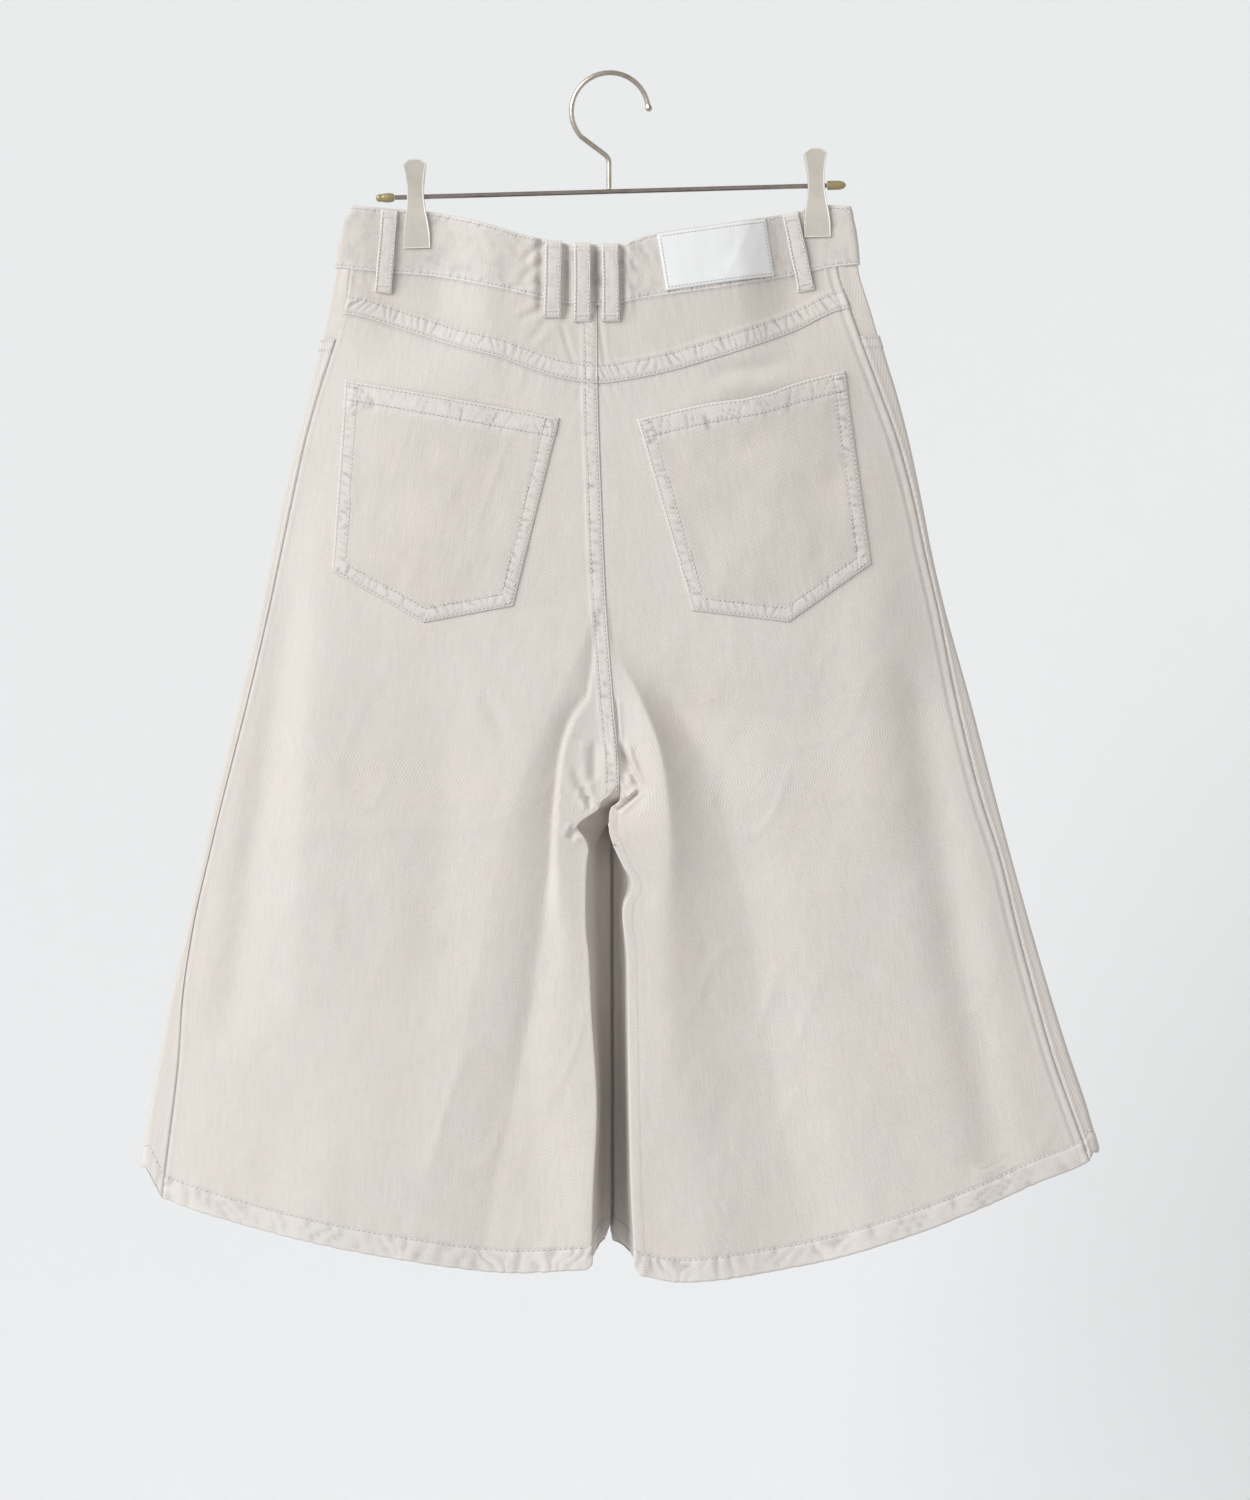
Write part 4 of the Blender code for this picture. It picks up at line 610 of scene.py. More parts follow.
    def side_fold(self, side: Side, share: Array, row: Array) -> Array:
        """Return points of the fold at the garment's side."""
        drop = self.column_drop(Layer.FRONT, side, 0.0 * share, row)
        nose = self.nose(drop)
        seat = self.side[side](drop) - int(side) * nose
        out = mix(self.out(Layer.BACK, seat, drop), -self.out(Layer.FRONT, seat, drop),
                  0.5 * (1.0 - np.cos(math.pi * share)))
        return self.place(Layer.BACK, seat + int(side) * nose * np.sin(math.pi * share), out, drop)

    def surface(self, layer: Layer, x: Array, drop: Array) -> tuple[Array, Array]:
        """Return points and outward normals of a layer's open part.

        Args:
            layer: The layer that is looked at.
            x: Places across.
            drop: Places down.

        Returns:
            The points and their normals.
        """
        step = 0.5
        at = [self.place(layer, x + dx, self.out(layer, x + dx, drop + dd), drop + dd)
              for dx, dd in ((0, 0), (step, 0), (-step, 0), (0, step), (0, -step))]
        normal = unit(np.cross(at[1] - at[2], at[3] - at[4]))
        facing = -1.0 if layer is Layer.BACK else 1.0
        return at[0], normal * np.sign(normal[..., 1:2] * facing + 1e-12)


FORM = ClothForm()


# ---- sheets of cloth -------------------------------------------------------------------------
class Relief:
    """How far a face stands off its surface, with its painted shade and grey mottling, and its pale
    marks of wear and painted highlight.
    """

    def __init__(self, shape: tuple[int, ...]) -> None:
        """Start level and unmarked."""
        self.lift = np.zeros(shape)
        self.dent = np.zeros(shape)
        self.worn = np.zeros(shape)

    def raise_by(self, lift: Array) -> None:
        """Add to how far the face stands off."""
        self.lift = self.lift + lift

    def mark(self, dent: Array | None = None, worn: Array | None = None) -> None:
        """Add to the painted shade and grey mottling, and to the pale marks of wear and painted
        highlight.
        """
        if dent is not None:
            self.dent = np.clip(self.dent + dent, 0.0, 1.0)
        if worn is not None:
            self.worn = np.clip(self.worn + worn, 0.0, 1.0)

    def sew(self, distance: Array, along: Array, rows: Sequence[float], seed: int,
            pitch: float = 6.6, height: float = 0.5, slant: float = 0.1) -> None:
        """Sink rows of sewing and pucker the cloth beside and between them, with painted shade in the
        pucker valleys and the stitch grooves, and pale wear and painted highlight on the pucker
        crests.

        Args:
            distance: Distance from the sewn edge.
            along: Distance along it.
            rows: Distances of the stitch rows from the edge.
            seed: Start of the number series.
            pitch: Mean spacing of the puckers.
            height: Their height.
            slant: How far they lean along the edge for each step away from it.
        """
        noise = SoftNoise(seed, 256)
        first, last = rows[0], rows[-1]
        bars = valleys(along + slant * distance, distance, pitch, noise)
        grain = noise(along / 1.9, distance / 2.6)
        if last > first:
            window = ease((distance - first - 0.4) / 2.6) * ease((last + 1.6 - distance) / 2.0)
            apron = ease((last + 6.5 - distance) / 5.0) * ease((distance - last) / 1.0)
        else:
            window = ease(distance / 1.0) * ease((first + 4.0 - distance) / 3.5)
            apron = 0.0 * distance
        self.raise_by(height * (1.3 * (0.3 - bars) * (window + 0.3 * apron)
                                + 0.2 * grain * window))
        # painted shade in the pucker valleys; the pale crests are wear and painted highlight
        self.mark(dent=np.clip((1.1 * bars ** 1.4 + 0.2 * grain) * window
                               + 0.35 * (bars ** 1.4 + 0.3 * grain) * apron, 0.0, 1.0),
                  worn=np.clip((0.62 - 1.3 * bars + 0.25 * grain) * window, 0.0, 0.7))
        for row in rows:
            self.raise_by(-0.34 * bell(distance - row, 0.62))
            # painted shade in the groove of each stitch row
            self.mark(dent=0.3 * bell(distance - row, 0.72))

    def roll(self, distance: Array, radius: float) -> None:
        """Round an edge over and pale it along the turn: wear and painted highlight."""
        inside = np.clip(1.0 - distance / radius, 0.0, 1.0)
        self.raise_by(-radius * (1.0 - np.sqrt(1.0 - inside ** 2)))
        self.mark(worn=0.8 * ease(1.0 - np.abs(distance - 0.8 * radius) / (1.3 * radius)))


class Sheet(Relief):
    """A grid of points on one piece of cloth, with the distances from its own edges."""

    def __init__(self, points: Array, facing: Array) -> None:
        """Measure the grid.

        Args:
            points: Rows by columns by 3.
            facing: A direction that the middle of the outer face looks in.
        """
        super().__init__(points.shape[:2])
        self.points = points
        across = np.linalg.norm(np.diff(points, axis=1), axis=-1)
        down = np.linalg.norm(np.diff(points, axis=0), axis=-1)
        self.left = np.concatenate([np.zeros((len(points), 1)), np.cumsum(across, axis=1)], axis=1)
        self.top = np.concatenate([np.zeros((1, points.shape[1])), np.cumsum(down, axis=0)], axis=0)
        self.right = self.left[:, -1:] - self.left
        self.bottom = self.top[-1:] - self.top
        self.normals = self.facing_normals(points, facing)

    @staticmethod
    def facing_normals(points: Array, facing: Array) -> Array:
        """Return unit normals of a grid, turned to the side that faces a direction."""
        normals = unit(np.cross(np.gradient(points, axis=1), np.gradient(points, axis=0)))
        middle = normals[normals.shape[0] // 2, normals.shape[1] // 2]
        return normals if middle @ np.asarray(facing) > 0.0 else -normals

    def face(self) -> Array:
        """Return the outer face with all its relief."""
        return self.points + self.normals * self.lift[..., None]

    def trace(self, distance: Array, at: float, by_rows: bool) -> tuple[Array, Array]:
        """Return a line on the finished face at a distance from an edge.

        Args:
            distance: One of the sheet's own distances, or any that changes steadily.
            at: The distance to follow.
            by_rows: True where the line crosses every column, False where it crosses every row.

        Returns:
            Points and normals along the line.
        """
        face = self.face()
        if not by_rows:
            face, distance = np.swapaxes(face, 0, 1), distance.T
        normals = self.normals if by_rows else np.swapaxes(self.normals, 0, 1)
        rising = distance[-1] > distance[0]
        steady = np.where(rising, distance, distance[::-1])
        index = np.clip((steady < at).sum(axis=0), 1, len(distance) - 1)
        picks = np.arange(distance.shape[1])
        low, high = steady[index - 1, picks], steady[index, picks]
        share = np.clip((at - low) / np.maximum(high - low, 1e-9), 0.0, 1.0)
        spot = index - 1 + share
        spot = np.where(rising, spot, len(distance) - 1 - spot)
        base = np.clip(np.floor(spot).astype(int), 0, len(distance) - 2)
        part = (spot - base)[:, None]
        return (mix(face[base, picks], face[base + 1, picks], part),
                unit(mix(normals[base, picks], normals[base + 1, picks], part)))


class Workshop:
    """Makes meshes, gives them their body and keeps the count."""

    made: list[bpy.types.Object] = []

    @classmethod
    def mesh(cls, name: str, points: Array, faces: Sequence[Sequence[int]],
             material: bpy.types.Material, slot: str, smooth_angle: float = 60.0
             ) -> bpy.types.Object:
        """Make an object from points in millimetres.

        Args:
            name: Name of the piece.
            points: Its vertices.
            faces: Its faces, which already point outwards.
            material: Its finish.
            slot: Not used.
            smooth_angle: Edges sharper than this stay sharp.

        Returns:
            The linked object.
        """
        mesh = bpy.data.meshes.new(name)
        mesh.from_pydata((points.reshape(-1, 3) * MM).tolist(), [],
                         faces.tolist() if isinstance(faces, np.ndarray) else faces)
        mesh.materials.append(material)
        mesh.shade_smooth()
        mesh.set_sharp_from_angle(angle=math.radians(smooth_angle))
        piece = bpy.data.objects.new(name, mesh)
        bpy.context.scene.collection.objects.link(piece)
        cls.adopt(piece, slot)
        return piece

    @classmethod
    def adopt(cls, piece: bpy.types.Object, slot: str) -> None:
        """Let a piece ride on the one body."""
        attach(piece, "root")
        cls.made.append(piece)
        LOG.info("made %s, %d faces", piece.name, len(piece.data.polygons))

    @classmethod
    def shell(cls, name: str, sheet: Sheet, thickness: float | Array,
              material: bpy.types.Material, slot: str) -> bpy.types.Object:
        """Close a sheet into a thin shell with its map and its marks.

        Args:
            name: Name of the piece.
            sheet: The finished outer face.
            thickness: One wall, or one for each point.
            material: Its finish.
            slot: Not used.

        Returns:
            The linked object.
        """
        outer = sheet.face()
        thick = np.broadcast_to(np.asarray(thickness, float), outer.shape[:2])
        inner = outer - sheet.normals * thick[..., None]
        rows, columns = outer.shape[:2]
        index = np.arange(rows * columns).reshape(rows, columns)
        quads = np.stack([index[:-1, :-1], index[1:, :-1], index[1:, 1:], index[:-1, 1:]],
                         axis=-1).reshape(-1, 4)
        normal = np.cross(outer[1, 0] - outer[0, 0], outer[0, 1] - outer[0, 0])
        if normal @ sheet.normals[0, 0] < 0.0:
            quads = quads[:, ::-1]
        border = np.concatenate([index[0, :], index[1:, -1], index[-1, -2::-1], index[-2:0:-1, 0]])
        after = np.roll(border, -1)
        half = rows * columns
        rim = np.stack([border, after, after + half, border + half], axis=-1)
        corners = outer.reshape(-1, 3)
        edge = np.cross(corners[after[3]] - corners[border[3]],
                        (inner - outer).reshape(-1, 3)[border[3]])
        outward = corners[border[3]] - corners[index[min(3, rows - 1), 3]]
        if edge @ outward < 0.0:
            rim = rim[:, ::-1]
        faces = np.concatenate([quads, quads[:, ::-1] + half, rim])
        piece = cls.mesh(name, np.concatenate([corners, inner.reshape(-1, 3)]), faces, material,
                         slot, 75.0)
        place = np.stack([sheet.left - 0.5 * sheet.left[:, -1:], sheet.top], axis=-1).reshape(-1, 2)
        place = np.concatenate([place, place]) * MM
        loops = np.empty(len(piece.data.loops), int)
        piece.data.loops.foreach_get("vertex_index", loops)
        layer = piece.data.uv_layers.new(name="cloth")
        layer.data.foreach_set("uv", place[loops].ravel())
        # store the painted shade and grey mottling and the marks of wear and painted highlight, weaker
        # on the inner face
        for label, values in (("dent", sheet.dent), ("worn", sheet.worn)):
            attribute = piece.data.attributes.new(label, "FLOAT", "POINT")
            both = np.concatenate([values.ravel(), 0.3 * values.ravel()]).astype(np.float32)
            attribute.data.foreach_set("value", both)
        return piece


def distances(points: Array) -> Array:
    """Return the distance along a line at each of its points."""
    return np.concatenate([[0.0], np.cumsum(np.linalg.norm(np.diff(points, axis=0), axis=-1))])


def sample(where: Array, run: Array, values: Array) -> Array:
    """Return a line's points or normals at distances along it.

    Args:
        where: The distances that are asked for.
        run: The distance at each known value.
        values: The known values.

    Returns:
        The values between them.
    """
    return np.stack([np.interp(where, run, values[:, axis]) for axis in range(3)], axis=-1)


def tube_faces(rings: int, sides: int, closed: bool = False) -> list[list[int]]:
    """Return the faces between rings of points that follow each other.

    Args:
        rings: How many rings there are.
        sides: Points in each ring.
        closed: True where the last ring joins the first.

    Returns:
        Four point numbers for each face.
    """
    faces = []
    for ring in range(rings if closed else rings - 1):
        low, high = ring * sides, (ring + 1) % rings * sides
        for step in range(sides):
            after = (step + 1) % sides
            faces.append([low + step, low + after, high + after, high + step])
    return faces


@dataclass
class Thread:
    """Gathers rows of stitches and makes them as one mesh."""

    name: str
    material: bpy.types.Material
    pitch: float = 3.0
    length: float = 1.95
    thickness: float = 0.72
    hole: float = 0.45
    tack_pitch: float = 0.62
    rows: list[tuple[Array, Array, Array]] = field(default_factory=list)
    holes: list[tuple[Array, Array, Array]] = field(default_factory=list)

    def line(self, points: Array, normals: Array, pitch: float | None = None) -> None:
        """Add a row of stitches along a line.

        Args:
            points: The line on the finished cloth.
            normals: The cloth's normals along it.
            pitch: Spacing of the stitches, or None for the thread's own.
        """
        pitch = pitch or self.pitch
        run = distances(points)
        count = int(run[-1] // pitch)
        if count < 1:
            return
        centres = (np.arange(count) + 0.5) * run[-1] / count
        reach = 0.5 * self.length * pitch / self.pitch
        ahead = unit(sample(centres + reach, run, points) - sample(centres - reach, run, points))
        up = unit(sample(centres, run, normals))
        self.rows.append((sample(centres, run, points), ahead, up, np.full(count, reach)))
        between = centres + 0.5 * run[-1] / count
        self.holes.append((sample(between, run, points), ahead,
                           unit(sample(between, run, normals))))

    def tack(self, points: Array, normals: Array, width: float) -> None:
        """Add a bar tack: short stitches close together, square to a line."""
        run = distances(points)
        count = max(3, int(run[-1] // self.tack_pitch))
        centres = (np.arange(count) + 0.5) * run[-1] / count
        spots = sample(centres, run, points)
        ups = unit(sample(centres, run, normals))
        along = unit(np.gradient(spots, axis=0))
        across = unit(np.cross(ups, along) + 0.22 * along)
        self.rows.append((spots, across, ups, np.full(count, 0.5 * width)))

    def build(self, slot: str = "denim_light") -> bpy.types.Object:
        """Make the mesh of all the stitches.

        Args:
            slot: Not used.

        Returns:
            The linked object.
        """
        centres, ahead, up, reach = (np.concatenate([row[part] for row in self.rows])
                                     for part in range(4))
        beside = np.cross(up, ahead)
        radius = 0.5 * self.thickness
        sides = 5
        turn = 2.0 * math.pi * (np.arange(sides) + 0.25) / sides
        rings = ((-1.0, 0.35, -0.34), (-0.6, 1.0, 0.12), (0.6, 1.0, 0.12), (1.0, 0.35, -0.34))
        points = []
        for along, size, rise in rings:
            middle = centres + ahead * (along * reach)[:, None] + up * (rise + 0.05) * radius * 2.0
            for angle in turn:
                points.append(middle + radius * size * (math.cos(angle) * beside
                                                        + math.sin(angle) * up))
        points = np.stack(points, axis=1)
        base = np.arange(len(centres))[:, None] * sides * len(rings)
        faces = np.array(tube_faces(len(rings), sides))
        quads = (base[:, None] + faces[None]).reshape(-1, 4)[:, ::-1]
        first = base + np.arange(sides)[None]
        last = base + (len(rings) - 1) * sides + np.arange(sides)[None, ::-1]
        polygons = quads.tolist() + first.tolist() + last.tolist()
        if self.holes:
            self.pierce(slot)
        return Workshop.mesh(self.name, points.reshape(-1, 3), polygons, self.material, slot, 80.0)

    def pierce(self, slot: str) -> None:
        """Make the dark dimples where the needle went in, one between each two stitches; their
        darkness is painted shade.
        """
        centres, ahead, up = (np.concatenate([row[part] for row in self.holes])
                              for part in range(3))
        beside = np.cross(up, ahead)
        sides = 6
        rings = ((1.0, -0.30), (1.0, 0.02), (0.55, 0.09))
        points = []
        for size, rise in rings:
            for step in range(sides):
                angle = 2.0 * math.pi * step / sides
                points.append(centres + self.hole * size * (1.05 * math.cos(angle) * ahead
                                                            + 0.95 * math.sin(angle) * beside)
                              + rise * up)
        points = np.stack(points, axis=1)
        base = np.arange(len(centres))[:, None] * sides * len(rings)
        faces = np.array(tube_faces(len(rings), sides))
        quads = (base[:, None] + faces[None]).reshape(-1, 4)
        floor = base + np.arange(sides)[None, ::-1]
        lid = base + (len(rings) - 1) * sides + np.arange(sides)[None]
        Workshop.mesh(self.name.replace("stitches", "needle_marks"), points.reshape(-1, 3),
                      quads.tolist() + floor.tolist() + lid.tolist(), NEEDLE_HOLE_SHADE.material(), slot,
                      80.0)


# ---- finishes --------------------------------------------------------------------------------
class NodeKit:
    """Short words for placing and joining shader nodes in one tree."""

    def __init__(self, tree: bpy.types.NodeTree) -> None:
        """Keep the tree."""
        self.tree = tree

    def node(self, kind: str, **settings: object) -> bpy.types.Node:
        """Add a node and set its plain settings."""
        made = self.tree.nodes.new(kind)
        for name, value in settings.items():
            setattr(made, name, value)
        return made

    def join(self, source: bpy.types.NodeSocket, target: bpy.types.NodeSocket) -> None:
        """Join two sockets."""
        self.tree.links.new(source, target)

    def feed(self, node: bpy.types.Node, index: int | str,
             value: bpy.types.NodeSocket | float | Colour) -> None:
        """Join or set one input."""
        if isinstance(value, bpy.types.NodeSocket):
            self.join(value, node.inputs[index])
        elif isinstance(value, tuple) and len(value) == 3 and node.inputs[index].type == "RGBA":
            node.inputs[index].default_value = (*value, 1.0)
        else:
            node.inputs[index].default_value = value

    def math(self, operation: str, a: object, b: object = 0.0, c: object = 0.0
             ) -> bpy.types.NodeSocket:
        """Add a Math node and return its value."""
        made = self.node("ShaderNodeMath", operation=operation)
        for index, value in enumerate((a, b, c)):
            self.feed(made, index, value)
        return made.outputs[0]

    def blend(self, share: object, a: object, b: object, mode: str = "MIX"
              ) -> bpy.types.NodeSocket:
        """Mix two colours and return the result."""
        made = self.node("ShaderNodeMix", data_type="RGBA", blend_type=mode)
        for index, value in ((0, share), (6, a), (7, b)):
            self.feed(made, index, value)
        return made.outputs[2]

    def object_place(self) -> bpy.types.NodeSocket:
        """Return the place in the piece's own space."""
        return self.node("ShaderNodeTexCoord").outputs["Object"]

    def stored(self, label: str) -> bpy.types.NodeSocket:
        """Return a value that is stored on the mesh."""
        return self.node("ShaderNodeAttribute", attribute_name=label).outputs["Fac"]

    def bump(self, shader: bpy.types.Node, height: bpy.types.NodeSocket, strength: float,
             distance: float) -> None:
        """Roughen a shader's surface.

        Args:
            shader: The shader.
            height: The pattern.
            strength: How much of it shows.
            distance: Its height in metres.
        """
        made = self.node("ShaderNodeBump")
        made.inputs["Strength"].default_value = strength
        made.inputs["Distance"].default_value = distance
        self.join(height, made.inputs["Height"])
        self.join(made.outputs[0], shader.inputs["Normal"])

    def noise(self, vector: bpy.types.NodeSocket, scale: float, detail: float = 3.0,
              roughness: float = 0.55) -> bpy.types.NodeSocket:
        """Add a noise and return its value."""
        made = self.node("ShaderNodeTexNoise")
        self.join(vector, made.inputs["Vector"])
        made.inputs["Scale"].default_value = scale
        made.inputs["Detail"].default_value = detail
        made.inputs["Roughness"].default_value = roughness
        return made.outputs[0]

    def spread(self, value: bpy.types.NodeSocket, low: float, high: float, to_low: float = 0.0,
               to_high: float = 1.0) -> bpy.types.NodeSocket:
        """Map a range to another one and return the value."""
        made = self.node("ShaderNodeMapRange")
        self.feed(made, 0, value)
        for index, number in enumerate((low, high, to_low, to_high), start=1):
            made.inputs[index].default_value = number
        return made.outputs[0]


class Groups:
    """Shader node groups that more than one finish uses, each built once."""

    @staticmethod
    def start(name: str, inputs: Sequence[tuple[str, str, object]],
              outputs: Sequence[tuple[str, str]]
              ) -> tuple[bpy.types.NodeTree, NodeKit, bpy.types.Node, bpy.types.Node]:
        """Open a new group.

        Args:
            name: Name of the group.
            inputs: Name, socket kind and first value of each input.
            outputs: Name and socket kind of each output.

        Returns:
            The tree, its kit, its input node and its output node.
        """
        tree = bpy.data.node_groups.new(name, "ShaderNodeTree")
        for label, kind, value in inputs:
            socket = tree.interface.new_socket(label, in_out="INPUT", socket_type=kind)
            if value is not None:
                socket.default_value = value
        for label, kind in outputs:
            tree.interface.new_socket(label, in_out="OUTPUT", socket_type=kind)
        kit = NodeKit(tree)
        return tree, kit, kit.node("NodeGroupInput"), kit.node("NodeGroupOutput")

    @classmethod
    def weave(cls) -> bpy.types.NodeTree:
        """Return the twill: diagonal ribs with uneven yarns, as a mask and a height."""
        name = "twill weave"
        if name in bpy.data.node_groups:
            return bpy.data.node_groups[name]
        full_turn = 2.0 * math.pi
        tree, kit, given, put = cls.start(
            name, (("Vector", "NodeSocketVector", None), ("Rib", "NodeSocketFloat", 0.0021),
                   ("Lean", "NodeSocketFloat", 1.0)),
            (("Ribs", "NodeSocketFloat"), ("Slub", "NodeSocketFloat"),
             ("Height", "NodeSocketFloat")))
        vector = given.outputs["Vector"]
        place = kit.node("ShaderNodeSeparateXYZ")
        kit.join(vector, place.inputs[0])
        wander = kit.noise(vector, 900.0, 2.0)
        diagonal = kit.math("ADD", kit.math("MULTIPLY", place.outputs[0], given.outputs["Lean"]),
                            kit.math("MULTIPLY", place.outputs[1], 0.85))
        turns = kit.math("DIVIDE", kit.math("MULTIPLY", diagonal, full_turn), given.outputs["Rib"])
        turns = kit.math("ADD", turns, kit.math("MULTIPLY", wander, 2.2))
        ribs = kit.math("MULTIPLY_ADD", kit.math("SINE", turns), 0.5, 0.5)
        weft_pitch, warp_pitch = 0.00062, 0.00055
        across = kit.math("DIVIDE", kit.math("MULTIPLY", place.outputs[1], full_turn), weft_pitch)
        down = kit.math("DIVIDE", kit.math("MULTIPLY", place.outputs[0], full_turn), warp_pitch)
        yarns = kit.math("MULTIPLY", kit.math("SINE", across), kit.math("SINE", down))
        long_way = kit.node("ShaderNodeMapping")
        kit.join(vector, long_way.inputs[0])
        long_way.inputs["Scale"].default_value = (1.0, 0.06, 1.0)
        slub = kit.noise(long_way.outputs[0], 700.0, 3.0, 0.7)
        height = kit.math("ADD", kit.math("MULTIPLY", ribs, 0.75), kit.math("MULTIPLY", yarns, 0.12))
        height = kit.math("ADD", height, kit.math("MULTIPLY", slub, 0.35))
        kit.join(ribs, put.inputs["Ribs"])
        kit.join(slub, put.inputs["Slub"])
        kit.join(height, put.inputs["Height"])
        return tree

    @classmethod
    def wash(cls) -> bpy.types.NodeTree:
        """Return the wash: cloudy, faded and slightly stained colour."""
        name = "faded wash"
        if name in bpy.data.node_groups:
            return bpy.data.node_groups[name]
        tree, kit, given, put = cls.start(
            name, (("Vector", "NodeSocketVector", None), ("Colour", "NodeSocketColor", None),
                   ("Cool", "NodeSocketColor", None), ("Warm", "NodeSocketColor", None),
                   ("Strength", "NodeSocketFloat", 1.0)), (("Colour", "NodeSocketColor"),))
        vector = given.outputs["Vector"]
        small = kit.spread(kit.noise(vector, 230.0, 4.0, 0.65), 0.42, 0.68)
        large = kit.spread(kit.noise(vector, 34.0, 3.0, 0.6), 0.40, 0.66)
        cloud = kit.spread(kit.noise(vector, 11.0, 2.0, 0.5), 0.38, 0.62)
        cool = kit.math("MULTIPLY", kit.math("MULTIPLY", small, 0.45), given.outputs["Strength"])
        warm = kit.math("MULTIPLY", kit.math("MULTIPLY_ADD", large, 0.35,
                                             kit.math("MULTIPLY", cloud, 0.30)),
                        given.outputs["Strength"])
        colour = kit.blend(warm, given.outputs["Colour"], given.outputs["Warm"])
        colour = kit.blend(cool, colour, given.outputs["Cool"])
        kit.join(colour, put.inputs["Colour"])
        return tree


@dataclass(frozen=True)
class Finish:
    """A material that is built when it is first asked for."""

    name: str

    def material(self) -> bpy.types.Material:
        """Return the material."""
        if self.name not in bpy.data.materials:
            made = bpy.data.materials.new(self.name)
            made.use_nodes = True
            self.dress(NodeKit(made.node_tree), made.node_tree.nodes["Principled BSDF"])
        return bpy.data.materials[self.name]

    def dress(self, kit: NodeKit, shader: bpy.types.Node) -> None:
        """Join the nodes to the shader.

        Args:
            shader: Its shader.
        """
        raise NotImplementedError


@dataclass(frozen=True)
class ClothFinish(Finish):
    """Washed cotton twill."""

    colour: Colour = (0.722, 0.676, 0.634)
    cool: Colour = (0.640, 0.635, 0.605)
    warm: Colour = (0.760, 0.672, 0.620)
    # dark colour of the painted shade, of the grey mottling and of the twill's dark ribs
    dent: Colour = (0.325, 0.320, 0.318)
    # pale colour of the marks of wear and painted highlight, and of the slubs
    pale: Colour = (0.830, 0.800, 0.768)
    shade_and_grey_strength: float = 0.85
    twill: float = 1.0
    rib_contrast: float = 0.24
    bump: float = 0.0002
    wash: float = 1.0

    def dress(self, kit: NodeKit, shader: bpy.types.Node) -> None:
        """Join the nodes to the shader."""
        uv = kit.node("ShaderNodeUVMap", uv_map="cloth").outputs[0]
        solid = kit.object_place()
        weave = kit.node("ShaderNodeGroup", node_tree=Groups.weave())
        kit.join(uv, weave.inputs["Vector"])
        weave.inputs["Lean"].default_value = self.twill
        wash = kit.node("ShaderNodeGroup", node_tree=Groups.wash())
        kit.join(solid, wash.inputs["Vector"])
        for label, value in (("Colour", self.colour), ("Cool", self.cool), ("Warm", self.warm)):
            wash.inputs[label].default_value = (*value, 1.0)
        wash.inputs["Strength"].default_value = self.wash
        dent, worn = kit.stored("dent"), kit.stored("worn")
        fleck = kit.spread(kit.noise(solid, 420.0, 3.0, 0.7), 0.35, 0.65, 0.55, 1.0)
        # darken where painted shade or grey mottling is stored
        colour = kit.blend(kit.math("MULTIPLY", kit.math("MULTIPLY", dent, fleck),
                                    self.shade_and_grey_strength), wash.outputs[0], self.dent)
        # pale where wear and painted highlight are stored
        colour = kit.blend(kit.math("MULTIPLY", worn, 0.75), colour, self.pale)
        ribs = kit.math("MULTIPLY", kit.math("SUBTRACT", 1.0, weave.outputs["Ribs"]),
                        self.rib_contrast)
        colour = kit.blend(ribs, colour, self.dent)
        slub = kit.spread(weave.outputs["Slub"], 0.35, 0.7, 0.0, 0.3)
        colour = kit.blend(slub, colour, self.pale)
        kit.join(colour, shader.inputs["Base Color"])
        rough = kit.spread(weave.outputs["Slub"], 0.2, 0.8, 0.86, 0.96)
        kit.join(rough, shader.inputs["Roughness"])
        shader.inputs["Sheen Weight"].default_value = 0.12
        shader.inputs["Sheen Roughness"].default_value = 0.6
        shader.inputs["Specular IOR Level"].default_value = 0.22
        kit.bump(shader, weave.outputs["Height"], 0.55, self.bump)


@dataclass(frozen=True)
class ThreadFinish(Finish):
    """Spun sewing thread."""

    name: str = "sewing_thread"
    colour: Colour = (0.800, 0.775, 0.745)
    shade: Colour = (0.610, 0.600, 0.590)

    def dress(self, kit: NodeKit, shader: bpy.types.Node) -> None:
        """Join the nodes to the shader."""
        solid = kit.object_place()
        twist = kit.noise(solid, 1400.0, 2.0)
        patchy = kit.spread(kit.noise(solid, 60.0, 2.0), 0.35, 0.65)
        colour = kit.blend(kit.math("MULTIPLY_ADD", patchy, 0.35, kit.math("MULTIPLY", twist, 0.5)),
                           self.colour, self.shade)
        kit.join(colour, shader.inputs["Base Color"])
        shader.inputs["Roughness"].default_value = 0.8
        shader.inputs["Sheen Weight"].default_value = 0.15


@dataclass(frozen=True)
class PatchFinish(Finish):
    """Smooth white backing of the waist patch, with a fine grain."""

    name: str = "patch_white"
    colour: Colour = (0.830, 0.842, 0.856)
    shade: Colour = (0.790, 0.802, 0.818)
    # dark colour of the painted shade in the stitch groove
    dent: Colour = (0.56, 0.57, 0.59)

    def dress(self, kit: NodeKit, shader: bpy.types.Node) -> None:
        """Join the nodes to the shader."""
        solid = kit.object_place()
        cloud = kit.spread(kit.noise(solid, 90.0, 3.0), 0.4, 0.7, 0.0, 0.5)
        colour = kit.blend(cloud, self.colour, self.shade)
        colour = kit.blend(kit.math("MULTIPLY", kit.stored("dent"), 0.7), colour, self.dent)
        kit.join(colour, shader.inputs["Base Color"])
        grain = kit.node("ShaderNodeTexVoronoi", feature="DISTANCE_TO_EDGE")
        kit.join(solid, grain.inputs["Vector"])
        grain.inputs["Scale"].default_value = 900.0
        kit.join(kit.spread(kit.noise(solid, 500.0), 0.3, 0.7, 0.62, 0.74),
                 shader.inputs["Roughness"])
        kit.bump(shader, grain.outputs[0], 0.3, 0.00008)


